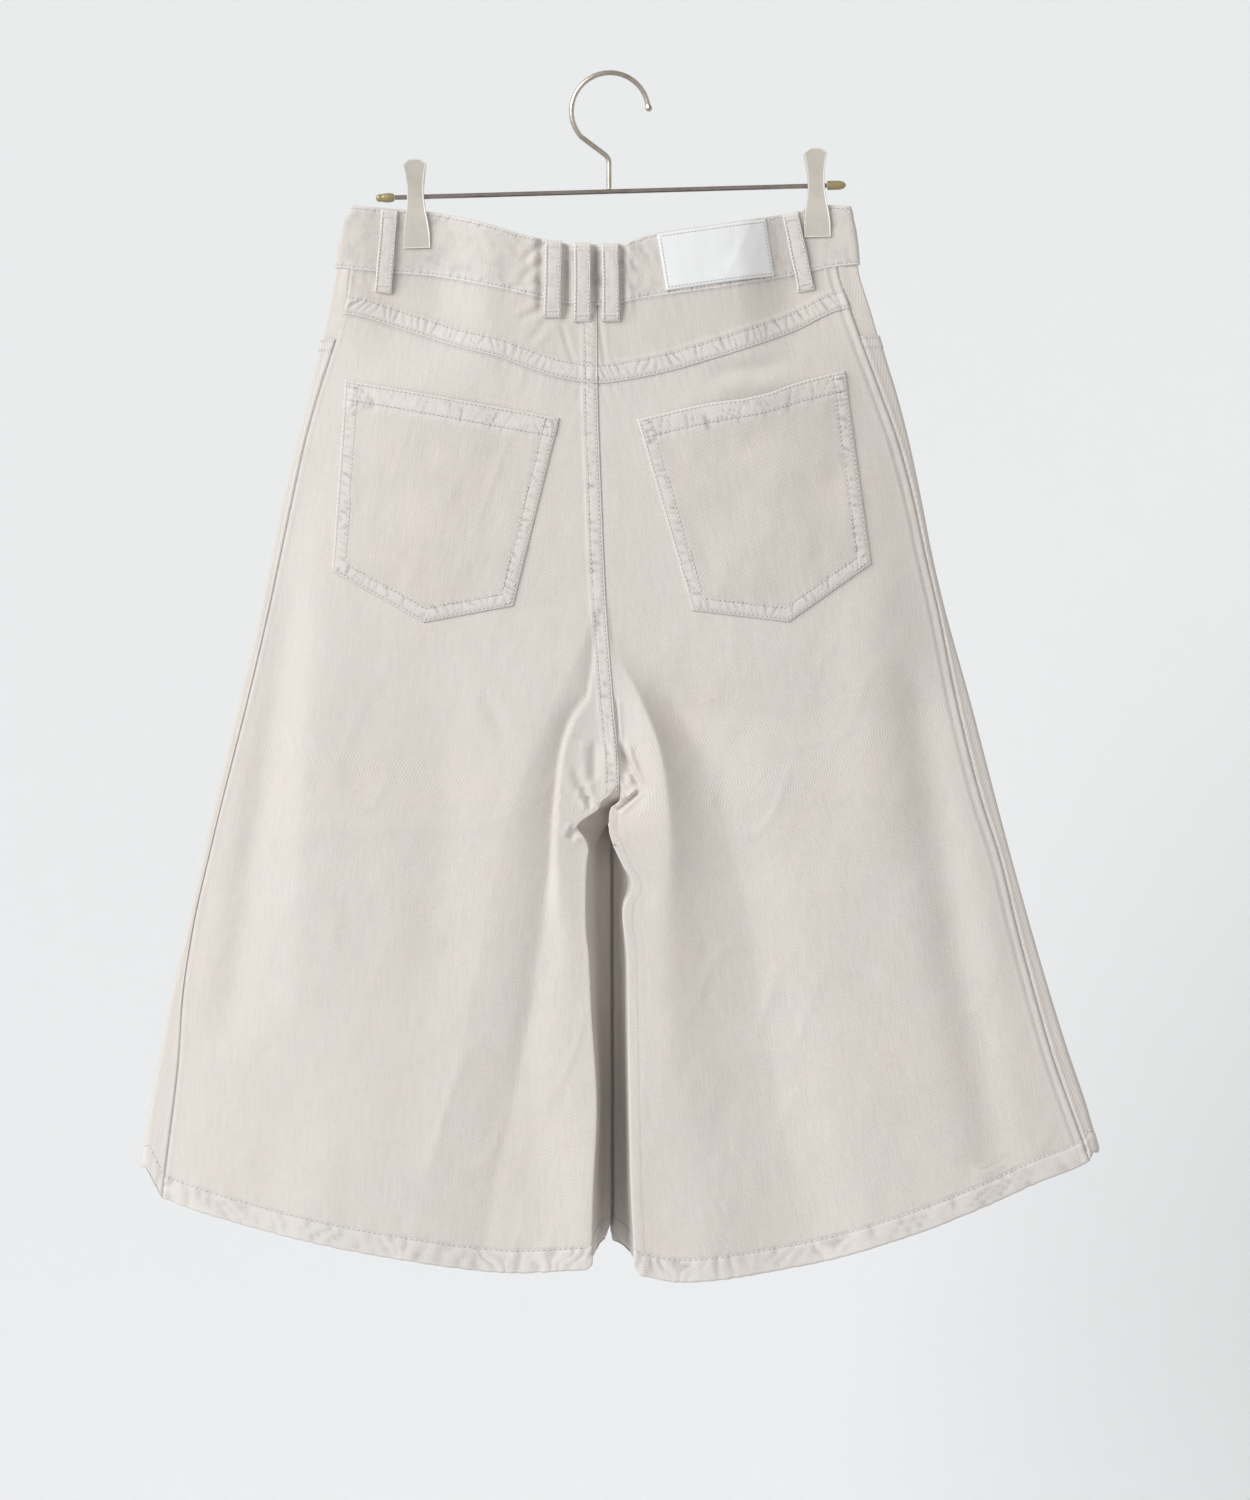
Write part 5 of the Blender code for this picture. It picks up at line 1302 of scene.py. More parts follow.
@dataclass(frozen=True)
class MetalFinish(Finish):
    """Plated wire or sheet metal, with handling marks."""

    colour: Colour
    dark: Colour
    roughness: float = 0.35
    metallic: float = 1.0
    brushed: float = 0.25

    def dress(self, kit: NodeKit, shader: bpy.types.Node) -> None:
        """Join the nodes to the shader."""
        solid = kit.object_place()
        stretch = kit.node("ShaderNodeMapping")
        kit.join(solid, stretch.inputs[0])
        stretch.inputs["Scale"].default_value = (1.0, 1.0, 0.05)
        brushed = kit.noise(stretch.outputs[0], 1500.0, 4.0, 0.7)
        stain = kit.spread(kit.noise(solid, 120.0, 4.0, 0.65), 0.38, 0.72)
        share = kit.math("MULTIPLY_ADD", brushed, self.brushed, kit.math("MULTIPLY", stain, 0.4))
        kit.join(kit.blend(share, self.colour, self.dark), shader.inputs["Base Color"])
        kit.join(kit.math("MULTIPLY_ADD", brushed, 0.22, self.roughness - 0.1),
                 shader.inputs["Roughness"])
        shader.inputs["Metallic"].default_value = self.metallic
        kit.bump(shader, brushed, 0.15, 0.00005)


DENIM = ClothFinish("washed_denim")
DENIM_UPPER = ClothFinish("washed_denim_upper", colour=(0.672, 0.625, 0.580))
DENIM_CROSS = ClothFinish("washed_denim_cross", colour=(0.685, 0.643, 0.603), twill=-1.0)
THREAD = ThreadFinish()
# dark finish of the needle dimples: painted shade in the needle holes
NEEDLE_HOLE_SHADE = ThreadFinish("needle_mark", (0.360, 0.342, 0.325), (0.260, 0.248, 0.236))
PATCH_WHITE = PatchFinish()
WIRE = MetalFinish("dark_wire", (0.42, 0.38, 0.34), (0.16, 0.14, 0.13), 0.32)
HOOK_WIRE = MetalFinish("hook_wire", (0.60, 0.55, 0.48), (0.22, 0.19, 0.16), 0.30)
CLIP_PLATE = MetalFinish("clip_plate", (0.80, 0.765, 0.70), (0.62, 0.575, 0.51), 0.40, 0.75, 0.2)
# near-white, barely metallic copy of the clip plate's metal for the rims: painted highlight
CLIP_RIM_HIGHLIGHT = MetalFinish("clip_rim", (0.92, 0.91, 0.89), (0.82, 0.81, 0.78), 0.30, 0.25, 0.1)
CAP_BRONZE = MetalFinish("cap_bronze", (0.45, 0.38, 0.20), (0.20, 0.16, 0.09), 0.40, 0.35, 0.3)
BUTTON_METAL = MetalFinish("button_metal", (0.58, 0.55, 0.50), (0.30, 0.27, 0.24), 0.30)


@dataclass
class Panels:
    """Backs, yokes, fronts and pocket facings."""

    wall: float = 0.8
    hem_wall: float = 1.9
    hem_height: float = 15.0
    lap: float = 0.7
    lap_width: float = 14.0
    hem_pitch: float = 10.5
    seam_rows: tuple[float, float] = (1.6, 8.6)
    yoke_rows: tuple[float, float] = (1.6, 11.6)
    mouth_rows: tuple[float, float] = (1.8, 8.0)
    fly_rows: tuple[float, float] = (34.0, 28.5)
    thread: Thread = field(default_factory=lambda: Thread("panel_stitches", THREAD.material()))
    hem_thread: Thread = field(default_factory=lambda: Thread(
        "hem_stitches", THREAD.material(), 3.6, 3.0, 0.75))

    @staticmethod
    def spaced(length: float, start: float, end: float, fine: float, coarse: float) -> Array:
        """Return places from 0 to 1 that are finer over the first and last stretches.

        Args:
            length: The whole length.
            start: The finer stretch at the start.
            end: The finer stretch at the end.
            fine: Spacing there.
            coarse: Spacing between.

        Returns:
            Rising shares of the length.
        """
        parts = [np.arange(0.0, start, fine),
                 np.linspace(start, length - end, max(2, int((length - start - end) / coarse))),
                 np.arange(length - end + fine, length, fine), [length]]
        return np.unique(np.concatenate(parts)) / length

    def hem(self, sheet: Sheet, seed: int) -> None:
        """Turn up the hem: a folded edge, a stitched line and slanting puckers between them, with
        painted shade in the pucker valleys and the groove at the stitched line, and pale wear and
        painted highlight on the crests and the folded edge.
        """
        noise = SoftNoise(seed, 256)
        up, along = sheet.bottom, sheet.left
        bars = valleys(along + 0.3 * up, up, self.hem_pitch, noise, 2.2)
        grain = noise(along / 3.0, up / 5.0)
        wave = 0.4 - bars + 0.25 * grain
        window = ease((up + 1.5) / 3.0) * ease((self.hem_height + 3.0 - up) / 5.0)
        sheet.raise_by(0.7 * wave * window + 0.25 * ease((self.hem_height - up) / 3.0))
        sheet.roll(up, 1.2)
        sheet.raise_by(-0.5 * bell(up - self.hem_height, 0.9))
        # painted shade in the groove above the hem and in the pucker valleys; pale crests are wear and
        # painted highlight
        sheet.mark(dent=0.35 * bell(up - self.hem_height - 0.5, 0.8)
                   + np.clip((0.55 * bars + 0.25 * grain) * window, 0.0, 0.8) * ease(up / 2.0),
                   worn=np.clip((0.75 - bars) * window, 0.0, 0.7))
        sheet.points[..., 2] -= 0.5 * wave * ease((7.0 - up) / 7.0)
        points, normals = sheet.trace(sheet.bottom, self.hem_height, True)
        self.hem_thread.line(points, normals)

    def outseam(self, sheet: Sheet, distance: Array, along: Array, seed: int, double: bool) -> None:
        """Shape the side seam: a groove between two pale ridges, with painted shade in the groove and
        wear and painted highlight on the ridges.
        """
        noise = SoftNoise(seed, 256)
        ripple = 0.5 + 0.5 * noise(along / 5.5, 1.5)
        sheet.raise_by((0.42 + 0.22 * ripple) * bell(distance - 2.2, 1.5)
                       - 0.5 * bell(distance, 0.8))
        # painted shade in the groove; wear and painted highlight on the ridge
        sheet.mark(dent=0.8 * bell(distance, 0.9), worn=0.6 * ripple * bell(distance - 2.2, 1.3))
        if double:
            sheet.raise_by(-0.35 * bell(distance - 6.5, 0.9) + 0.2 * bell(distance - 8.6, 1.6))
            # painted shade in the second groove; wear and painted highlight on the second ridge
            sheet.mark(dent=0.6 * bell(distance - 6.5, 1.0), worn=0.35 * bell(distance - 8.6, 1.4))

    def back(self, side: Side) -> None:
        """Make one back with its hem, side seam and centre seam.

        Args:
            side: The half to make.
        """
        word = side.name.lower()
        length = 602.8
        rows = np.concatenate([
            [-69.0, -34.5], np.arange(0.0, 17.0, 1.3), np.linspace(18.0, 268.0, 92),
            np.arange(269.2, 344.0, 1.15), np.linspace(345.5, 576.0, 84),
            np.arange(577.2, 602.5, 1.2), [length]]) / length
        rows = 1.0 + rows[:, None]
        shares = np.unique(np.concatenate([
            np.linspace(0.0, 0.045, 9), np.linspace(0.045, 0.56, 40),
            np.linspace(0.56, 0.8, 34), np.linspace(0.8, 1.0, 50)]))[None, :]
        turns = np.linspace(0.0, 1.0, 19)[None, 1:]
        grid = np.concatenate([FORM.flat(Layer.BACK, side, shares, rows),
                               FORM.turn(Layer.BACK, side, turns, rows)], axis=1)
        sheet = Sheet(grid, (0.0, -1.0, 0.0))
        below = sheet.top - sheet.top[2:3]
        sheet.raise_by(-0.4 * (1.0 - ease((below + 0.5) / 2.2)))
        noise = SoftNoise(61 + side, 256)
        fall = ease((below - 0.3) / 2.0) * np.exp(-np.maximum(below, 0.0) / 9.0)
        gather = np.sin(2.0 * math.pi * (sheet.left + 5.0 * noise(sheet.left / 13.0, 2.0)) / 6.4)
        sheet.raise_by(0.12 * fall * gather * (0.6 + 0.4 * noise(sheet.left / 19.0, 5.0)))
        # painted shade in the gathers' troughs and a line of painted shadow under the yoke's lapped
        # edge
        sheet.mark(dent=0.3 * fall * np.clip(-gather, 0.0, 1.0) + 0.6 * bell(below - 0.6, 1.1))
        self.outseam(sheet, sheet.left, sheet.top, 70 + side, side is Side.RIGHT)
        self.centre_seam(sheet, side, ease((FORM.level_row(492.0) - rows) / 0.02))
        self.inseam(sheet, sheet.right, ease((rows - FORM.level_row(500.0)) / 0.03))
        self.hem(sheet, 80 + side)
        thick = np.where(sheet.bottom < self.hem_height, self.hem_wall, self.wall)
        piece = Workshop.shell("back_panel_" + word, sheet, thick, DENIM.material(), "denim")
        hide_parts("back_" + word)

    def centre_seam(self, sheet: Sheet, side: Side, share: Array) -> None:
        """Fell the centre seam: the left half laps over the right one with two stitch rows."""
        if side is Side.LEFT:
            sheet.raise_by(share * self.lap * ease((12.0 - sheet.right) / 1.8))
            fresh = Relief(sheet.lift.shape)
            fresh.sew(sheet.right, sheet.top, self.seam_rows, 91, 5.6, 0.3)
            sheet.raise_by(share * fresh.lift)
            sheet.mark(share * fresh.dent, share * fresh.worn)
            inside = np.clip(1.0 - sheet.right / 0.7, 0.0, 1.0)
            sheet.raise_by(-share * 0.7 * (1.0 - np.sqrt(1.0 - inside ** 2)))
            # pale line on the lap's rolled edge: wear and painted highlight
            sheet.mark(worn=share * 0.6 * bell(sheet.right - 0.5, 0.6))
        else:
            sheet.raise_by(-0.35 * share * ease((2.0 - sheet.right) / 2.0))
            # painted shadow under the left half's lap
            sheet.mark(dent=0.7 * share * bell(sheet.right, 1.3))

    def inseam(self, sheet: Sheet, distance: Array, share: Array) -> None:
        """Close the inside leg seam with a groove and a low ridge."""
        sheet.raise_by(share * (0.35 * bell(distance - 2.4, 1.5) - 0.4 * bell(distance, 0.9)))
        # light painted shade in the groove
        sheet.mark(dent=0.15 * share * bell(distance, 1.0))

    def yoke(self, side: Side) -> None:
        """Make one yoke, whose lower edge laps over the back.

        Args:
            side: The half to make.
        """
        word = side.name.lower()
        rows = self.spaced(52.0, 6.0, 17.0, 0.8, 1.5)[:, None]
        rows = np.concatenate([[[-0.04]], rows])
        shares = self.spaced(176.0, 6.0, 2.0, 0.8, 1.05)[None, :]
        turns = np.linspace(0.0, 1.0, 11)[None, 1:]
        grid = np.concatenate([FORM.flat(Layer.BACK, side, shares, rows),
                               FORM.turn(Layer.BACK, side, turns, rows)], axis=1)
        sheet = Sheet(grid, (0.0, -1.0, 0.0))
        sheet.raise_by(self.lap * ease((self.lap_width + 2.0 - sheet.bottom) / 2.4))
        sheet.sew(sheet.bottom, sheet.left, self.yoke_rows, 101 + side, 5.2, 0.5, -0.15)
        sheet.roll(sheet.bottom, 0.7)
        noise = SoftNoise(111 + side, 256)
        fall = np.exp(-sheet.top / 7.0)
        gather = np.sin(2.0 * math.pi * (sheet.left + 4.0 * noise(sheet.left / 11.0, 1.0)) / 5.6)
        sheet.raise_by(0.1 * fall * gather)
        # painted shade in the gathers' troughs and a line of painted shadow under the waistband's
        # lower edge
        sheet.mark(dent=0.3 * fall * np.clip(-gather, 0.0, 1.0) + 0.5 * bell(sheet.top - 2.0, 1.2))
        self.outseam(sheet, sheet.left, sheet.top, 120 + side, side is Side.RIGHT)
        self.centre_seam(sheet, side, np.ones_like(rows))
        for at in self.yoke_rows:
            self.thread.line(*sheet.trace(sheet.bottom, at, True))
        piece = Workshop.shell("yoke_panel_" + word, sheet, self.wall, DENIM_UPPER.material(),
                               "denim_light")
        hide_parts("back_yoke_" + word)
        if side is Side.LEFT:
            for at in self.seam_rows:
                self.thread.line(*sheet.trace(sheet.right, at, False))

    def centre_stitches(self) -> None:
        """Stitch the two rows down the felled centre seam, below the yoke."""
        rows = np.linspace(1.003, FORM.level_row(484.0), 150)
        edge = FORM.inner_seam(Layer.BACK, Side.LEFT, rows)
        for away in self.seam_rows:
            x = edge[:, 0] - away
            points, normals = FORM.surface(Layer.BACK, x, edge[:, 2])
            self.thread.line(points + normals * (self.lap - 0.2), normals)

    def front(self, side: Side) -> None:
        """Make one front, cut away at its pocket mouth, and the facing behind the mouth.

        Args:
            side: The half to make.
        """
        word = side.name.lower()
        rows = self.spaced(640.0, 14.0, 26.0, 1.3, 2.9)[:, None] * 2.0
        strips = np.linspace(0.0, 1.0, 9)[None, :]
        folds = np.linspace(0.0, 1.0, 9)[None, 1:]
        shares = self.spaced(200.0, 2.0, 2.0, 1.0, 2.0)[None, 1:]
        turns = np.linspace(0.0, 1.0, 11)[None, 1:]
        mouth = self.mouth_line(side, shares)
        seat = self.mouth_line(side, np.zeros((1, 1)))
        settled = 1.4

        def spread(start: Array) -> Array:
            """Return the rows from a start, which are the plain ones once they settle."""
            return np.where(rows < settled, start + (settled - start) * rows / settled, rows)

        grid = np.concatenate([
            FORM.strip(side, strips, spread(seat + 0.0 * strips)),
            FORM.side_fold(side, folds, spread(seat + 0.0 * folds)),
            FORM.flat(Layer.FRONT, side, shares, spread(mouth)),
            FORM.turn(Layer.FRONT, side, turns, rows + 0.0 * turns)], axis=1)
        sheet = Sheet(grid, (0.0, 1.0, 0.0))
        sheet.normals = self.out_of_leg(sheet)
        reach = np.concatenate([np.ones_like(strips), np.ones_like(folds),
                                ease((0.52 - shares) / 0.03), np.zeros_like(turns)], axis=1)
        sheet.raise_by(0.35 * reach * ease((10.0 - sheet.top) / 1.5))
        for at in self.mouth_rows:
            sheet.raise_by(-0.32 * reach * bell(sheet.top - at, 0.7))
            # painted shade in the groove of each stitch row
            sheet.mark(dent=0.5 * reach * bell(sheet.top - at, 0.8))
        self.outseam(sheet, sheet.left, sheet.top, 130 + side, False)
        self.inseam(sheet, sheet.right, np.ones_like(rows))
        self.hem(sheet, 140 + side)
        thick = np.where(sheet.bottom < self.hem_height, self.hem_wall, self.wall)
        piece = Workshop.shell("front_panel_" + word, sheet, thick, DENIM.material(), "denim")
        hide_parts("front_" + word)
        count = strips.size + folds.size + int((shares < 0.5).sum())
        for at in self.mouth_rows:
            points, normals = sheet.trace(sheet.top, at, True)
            self.thread.line(points[8:count], normals[8:count])
        self.facing(side)

    @staticmethod
    def mouth_line(side: Side, shares: Array, under: float = 0.0) -> Array:
        """Return the row value of the pocket mouth on front columns, or so far under it."""
        reach, depth, power = 0.5, 48.0, 2.4
        share = np.clip(shares / reach, 0.0, 1.0)
        fall = depth * (1.0 - share ** power) ** (1.0 / power)
        _, waist, hip, hem = FORM.seam_drops(Layer.FRONT, side, shares)
        drop = waist + fall + under
        return np.where(drop < hip, (drop - waist) / (hip - waist), 1.0 + (drop - hip) / (hem - hip))

    @staticmethod
    def out_of_leg(sheet: Sheet) -> Array:
        """Return normals of a front that wraps round its side, all turned outwards."""
        normals = unit(np.cross(np.gradient(sheet.points, axis=1),
                                np.gradient(sheet.points, axis=0)))
        middle = normals[normals.shape[0] // 2, int(normals.shape[1] * 0.6)]
        return normals if middle[1] > 0.0 else -normals

    def facing(self, side: Side) -> None:
        """Make the facing that shows in a pocket mouth."""
        word = side.name.lower()
        steps = np.linspace(0.0, 1.0, 26)[:, None]
        strips = np.linspace(0.0, 1.0, 7)[None, :]
        folds = np.linspace(0.0, 1.0, 9)[None, 1:]
        shares = np.linspace(0.0, 0.53, 40)[None, 1:]
        under = 9.0
        seat = self.mouth_line(side, np.zeros((1, 1)), under)
        mouth = self.mouth_line(side, shares, under)
        grid = np.concatenate([FORM.strip(side, strips, steps * seat + 0.0 * strips),
                               FORM.side_fold(side, folds, steps * seat + 0.0 * folds),
                               FORM.flat(Layer.FRONT, side, shares, steps * mouth)], axis=1)
        sheet = Sheet(grid, (0.0, 1.0, 0.0))
        sheet.normals = self.out_of_leg(sheet)
        sheet.raise_by(-1.15)
        sheet.raise_by(1.1 * ease((7.0 - sheet.left) / 6.0) * ease((30.0 - sheet.top) / 20.0))
        piece = Workshop.shell("pocket_facing_" + word, sheet, self.wall, DENIM.material(),
                               "denim_light")
        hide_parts("front_facing_" + word)

    def fly(self) -> None:
        """Stitch the fly's curved line and its lap on the front."""
        turn = np.linspace(0.0, 1.0, 60)
        top, straight, run = 172.0, 118.0, 0.8
        bend = 0.5 * math.pi * np.clip((turn - run) / (1.0 - run), 0.0, 1.0)
        for away in self.fly_rows:
            drop = (top + straight * np.minimum(turn / run, 1.0)
                    + (20.0 + 0.5 * away) * np.sin(bend))
            x = FORM.centre[Layer.FRONT](drop) - away * np.cos(bend)
            self.thread.line(*FORM.surface(Layer.FRONT, x, drop))

    def build(self) -> None:
        """Make every panel and its sewing."""
        for side in Side:
            self.back(side)
            self.yoke(side)
            self.front(side)
        self.centre_stitches()
        self.fly()
        self.thread.build()
        self.hem_thread.build()


@dataclass
class Waistband:
    """The waistband, its belt loops and its patch."""

    wall: float = 2.2
    flap_over: float = 8.0
    flap_under: float = 10.0
    loop_width: float = 11.2
    loop_wall: float = 1.5
    loop_arch: float = 1.3
    loop_lay: float = 0.3
    patch_lay: float = 0.35
    edge_row: float = 2.2
    patch_row: float = 2.0
    patch_wall: float = 0.8
    grid_height: float = 41.2
    # place, width and share of the stripes of painted shade beside the centre loops, where the band
    # pleats
    shade_stripes: tuple[Triple, ...] = ((-28.5, 3.0, 1.0), (-8.8, 2.8, 1.0), (-46.0, 2.4, 0.6),
                                  (9.0, 2.2, 0.6))
    loops: tuple[tuple[str, Layer, tuple[float, float], tuple[float, float]], ...] = (
        ("back_left", Layer.BACK, (-149.0, 90.4), (-153.6, 147.6)),
        ("centre_left", Layer.BACK, (-37.4, 113.0), (-38.4, 165.6)),
        ("centre", Layer.BACK, (-18.0, 114.4), (-18.0, 168.6)),
        ("centre_right", Layer.BACK, (0.7, 115.0), (1.4, 168.2)),
        ("back_right", Layer.BACK, (122.8, 92.6), (134.0, 146.4)),
        ("front_left", Layer.FRONT, (-82.0, 108.6), (-86.0, 161.0)),
        ("front_right", Layer.FRONT, (82.0, 109.4), (86.0, 161.5)),
    )
    patch_corners: tuple[tuple[float, float], ...] = ((32.6, 108.6), (105.7, 97.6), (111.9, 136.2),
                                                      (38.8, 147.2))
    thread: Thread = field(default_factory=lambda: Thread("band_stitches", THREAD.material()))

    @staticmethod
    def band_end(rows: Array, reach: Array, lift: Array | float) -> Array:
        """Return points on the waistband's front, past the centre front by a reach."""
        x = FORM.centre[Layer.FRONT](FORM.hip_centre) + reach
        drop = mix(FORM.waist[Layer.FRONT](x), FORM.top[Layer.FRONT](x), -rows)
        points = FORM.place(Layer.FRONT, x, FORM.out(Layer.FRONT, x, drop), drop)
        return points + np.array((0.0, 1.0, 0.0)) * np.asarray(lift)[..., None]

    def band(self) -> None:
        """Make the band as one strip from the centre front round to the centre front."""
        edge = np.array([0.0, 0.2, 0.5, 0.9, 1.4, 2.0, 2.8, 3.8])
        middle = np.linspace(5.2, 36.0, 19)
        rows = np.concatenate([edge, middle, self.grid_height - edge[::-1]])[:, None]
        rows = -1.0 + rows / self.grid_height
        shares = np.linspace(0.0, 1.0, 128)[None, :]
        folds = np.linspace(0.0, 1.0, 9)[None, 1:-1]
        turns = np.linspace(0.0, 1.0, 8)[None, 1:]
        left_reach = np.array([[self.flap_over, 6.0, 3.0, 0.0, -4.0, -8.0]])
        right_reach = np.array([[8.0, 4.0, 0.0, -3.5, -7.0, -self.flap_under]])
        parts = [
            self.band_end(rows, left_reach,
                          self.wall + 0.4 - 1.1 * ease((-left_reach - 2.0) / 12.0)),
            FORM.flat(Layer.FRONT, Side.LEFT, shares[:, -3:0:-1], rows),
            FORM.side_fold(Side.LEFT, folds[:, ::-1], rows),
            self.strip_of_band(Side.LEFT, rows, True),
            FORM.flat(Layer.BACK, Side.LEFT, shares, rows),
            FORM.turn(Layer.BACK, Side.LEFT, turns, rows),
            FORM.flat(Layer.BACK, Side.RIGHT, shares[:, ::-1], rows),
            self.strip_of_band(Side.RIGHT, rows, False),
            FORM.side_fold(Side.RIGHT, folds, rows),
            FORM.flat(Layer.FRONT, Side.RIGHT, shares[:, 1:-2], rows),
            self.band_end(rows, right_reach, 0.0),
        ]
        grid = np.concatenate(parts, axis=1)
        sheet = Sheet(grid, (0.0, -1.0, 0.0))
        for _ in range(2):
            sheet.normals[:, 1:-1] = unit(sheet.normals[:, :-2] + sheet.normals[:, 1:-1]
                                          + sheet.normals[:, 2:])
        x = grid[..., 0]
        back = ease(-grid[..., 1] / 4.0)
        top, low = sheet.top, sheet.bottom
        whole = top + low
        crown = np.sin(math.pi * np.clip(top / whole, 0.0, 1.0))
        sheet.raise_by(BAND_PROUD + BAND_CROWN * crown)
        # stripes of painted shade beside the centre loops
        stripe_shade = back * sum(share * bell(x - place, width) for place, width, share in self.shade_stripes)
        sheet.mark(dent=0.5 * stripe_shade)
        noise = SoftNoise(151, 256)
        crease = np.clip(1.0 - 3.0 * np.abs(noise((x - 0.8 * top) / 21.0, (top + 0.5 * x) / 60.0)),
                         0.0, 1.0)
        tight = 1.0 + 1.8 * back * bell(x + 15.0, 40.0)
        sheet.raise_by(-0.4 * tight * crease * ease((top - 3.0) / 6.0) * ease((low - 3.0) / 6.0))
        fade = np.exp(-np.minimum(top, low) / 7.0) + 0.5 * (tight - 1.0)
        grey = noise(sheet.left / 5.5, top / 6.5 + 30.0) + 0.6 * noise(sheet.left / 2.2, top / 2.6)
        # grey mottling, stronger near the edges and about the tight middle, and painted shade in the
        # creases
        sheet.mark(dent=np.clip((0.25 + 0.3 * fade) * grey + 0.12 * crease * tight, 0.0, 0.5))
        sheet.raise_by(0.5 * noise(sheet.left / 26.0, top / 30.0 + 4.0))
        sheet.roll(top, 1.1)
        sheet.roll(low, 1.1)
        sheet.sew(low, sheet.left, (self.edge_row,), 152, 6.0, 0.3)
        sheet.sew(top, sheet.left, (self.edge_row,), 153, 6.4, 0.26)
        for distance in (low, top):
            self.thread.line(*sheet.trace(distance, self.edge_row, True))
        piece = Workshop.shell("waist_band", sheet, self.wall, DENIM_CROSS.material(), "denim_light")
        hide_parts("waistband")

    @staticmethod
    def strip_of_band(side: Side, rows: Array, towards_back: bool) -> Array:
        """Return the band's short run between the side fold and the back's open part."""
        shares = np.linspace(1.0, 0.0, 7)[None, :-1]
        if not towards_back:
            shares = shares[:, ::-1]
        return FORM.strip(side, shares, rows)

    @staticmethod
    def strip(layer: Layer, top: Array, low: Array, half_width: float,
              cells: tuple[int, int]) -> tuple[Sheet, Array, Array]:
        """Lay a straight strip on a layer.

        Args:
            layer: The layer that carries it.
            top: Its upper end, as x and drop.
            low: Its lower end.
            half_width: Half its width.
            cells: Cells along and across.

        Returns:
            The sheet, distances down it and distances from its middle.
        """
        down = np.linspace(0.0, 1.0, cells[0] + 1)[:, None]
        across = np.sin(np.linspace(-1.0, 1.0, cells[1] + 1) * 0.5 * math.pi)[None, :]
        across = across * (1.0 + 0.09 * ease(4.0 * down - 3.0) + 0.04 * np.sin(9.0 * down + top[0]))
        length = float(np.linalg.norm(low - top))
        along = (low - top) / length
        x = top[0] + (low[0] - top[0]) * down + across * half_width * along[1]
        drop = top[1] + (low[1] - top[1]) * down - across * half_width * along[0]
        points, normals = FORM.surface(layer, x, drop)
        points[..., 1] = points[..., 1].mean(axis=1, keepdims=True)
        normals = unit(normals.mean(axis=1, keepdims=True) * (0.2, 1.0, 0.5)) * np.ones_like(points)
        sheet = Sheet(points, normals[len(down) // 2, cells[1] // 2])
        sheet.normals = normals
        return sheet, down * length + 0.0 * x, across * half_width + 0.0 * x

    def belt_loop(self, word: str, layer: Layer, top: tuple[float, float],
                  low: tuple[float, float]) -> None:
        """Make one belt loop, which arches over the waistband.

        Args:
            word: Where it sits, for its name.
            layer: The layer that carries it.
            top: Its upper end, as x and drop.
            low: Its lower end.
        """
        sheet, down, across = self.strip(layer, np.array(top), np.array(low),
                                         0.5 * self.loop_width, (56, 18))
        length = down[-1, 0]
        share = down / length
        base = BAND_PROUD + BAND_CROWN + self.loop_lay + self.loop_wall
        sheet.raise_by(base + self.loop_arch * np.sin(math.pi * share))
        end = np.minimum(down, length - down)
        sheet.raise_by(-0.9 * ease(1.0 - end / 2.4))
        inside = 0.5 * self.loop_width - np.abs(across)
        sheet.roll(inside, 0.75)
        sheet.roll(end, 0.7)
        sheet.raise_by(-0.3 * bell(inside - 2.0, 0.55))
        noise = SoftNoise(len(word) + int(top[0]) % 50, 64)
        sheet.raise_by(0.16 * noise(down / 4.5, across / 3.2) + 0.25 * noise(down / 14.0, 1.0))
        # painted shade in the stitch grooves; the loops are paled all over and along their edges and
        # ends: painted highlight, with wear on the edges
        sheet.mark(dent=0.3 * bell(inside - 2.0, 0.7),
                   worn=0.35 + 0.5 * bell(inside - 0.8, 0.7) + 0.4 * bell(end - 1.0, 0.9))
        sheet.mark(dent=np.clip(0.45 * noise(down / 3.1, across / 2.6), 0.0, 1.0))
        piece = Workshop.shell("loop_" + word, sheet, self.loop_wall, DENIM.material(),
                               "denim_light")
        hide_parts("belt_loop_" + word)
        face, normals = sheet.face(), sheet.normals
        for pick in (4, 14):
            self.thread.line(face[2:-2, pick], normals[2:-2, pick], 2.6)
        for row in (5, -6):
            self.thread.tack(face[row, 3:-3], normals[row, 3:-3], 2.0)

    def patch(self) -> None:
        """Make the plain patch."""
        corners = [np.array(corner) for corner in self.patch_corners]
        down = np.linspace(0.0, 1.0, 41)[:, None]
        across = np.linspace(0.0, 1.0, 77)[None, :]
        spot = [mix(mix(corners[0][axis], corners[1][axis], across),
                    mix(corners[3][axis], corners[2][axis], across), down) for axis in (0, 1)]
        points, normals = FORM.surface(Layer.BACK, spot[0], spot[1])
        sheet = Sheet(points, (0.0, -1.0, 0.0))
        sheet.normals = normals
        edge = np.minimum(np.minimum(sheet.left, sheet.right), np.minimum(sheet.top, sheet.bottom))
        sheet.raise_by(BAND_PROUD + BAND_CROWN + self.patch_lay + self.patch_wall)
        noise = SoftNoise(171, 64)
        sheet.raise_by(0.5 * noise(sheet.left / 26.0, sheet.top / 30.0 + 4.0) * 0.6)
        sheet.roll(edge, 0.5)
        sheet.raise_by(-0.16 * bell(edge - 2.0, 0.45))
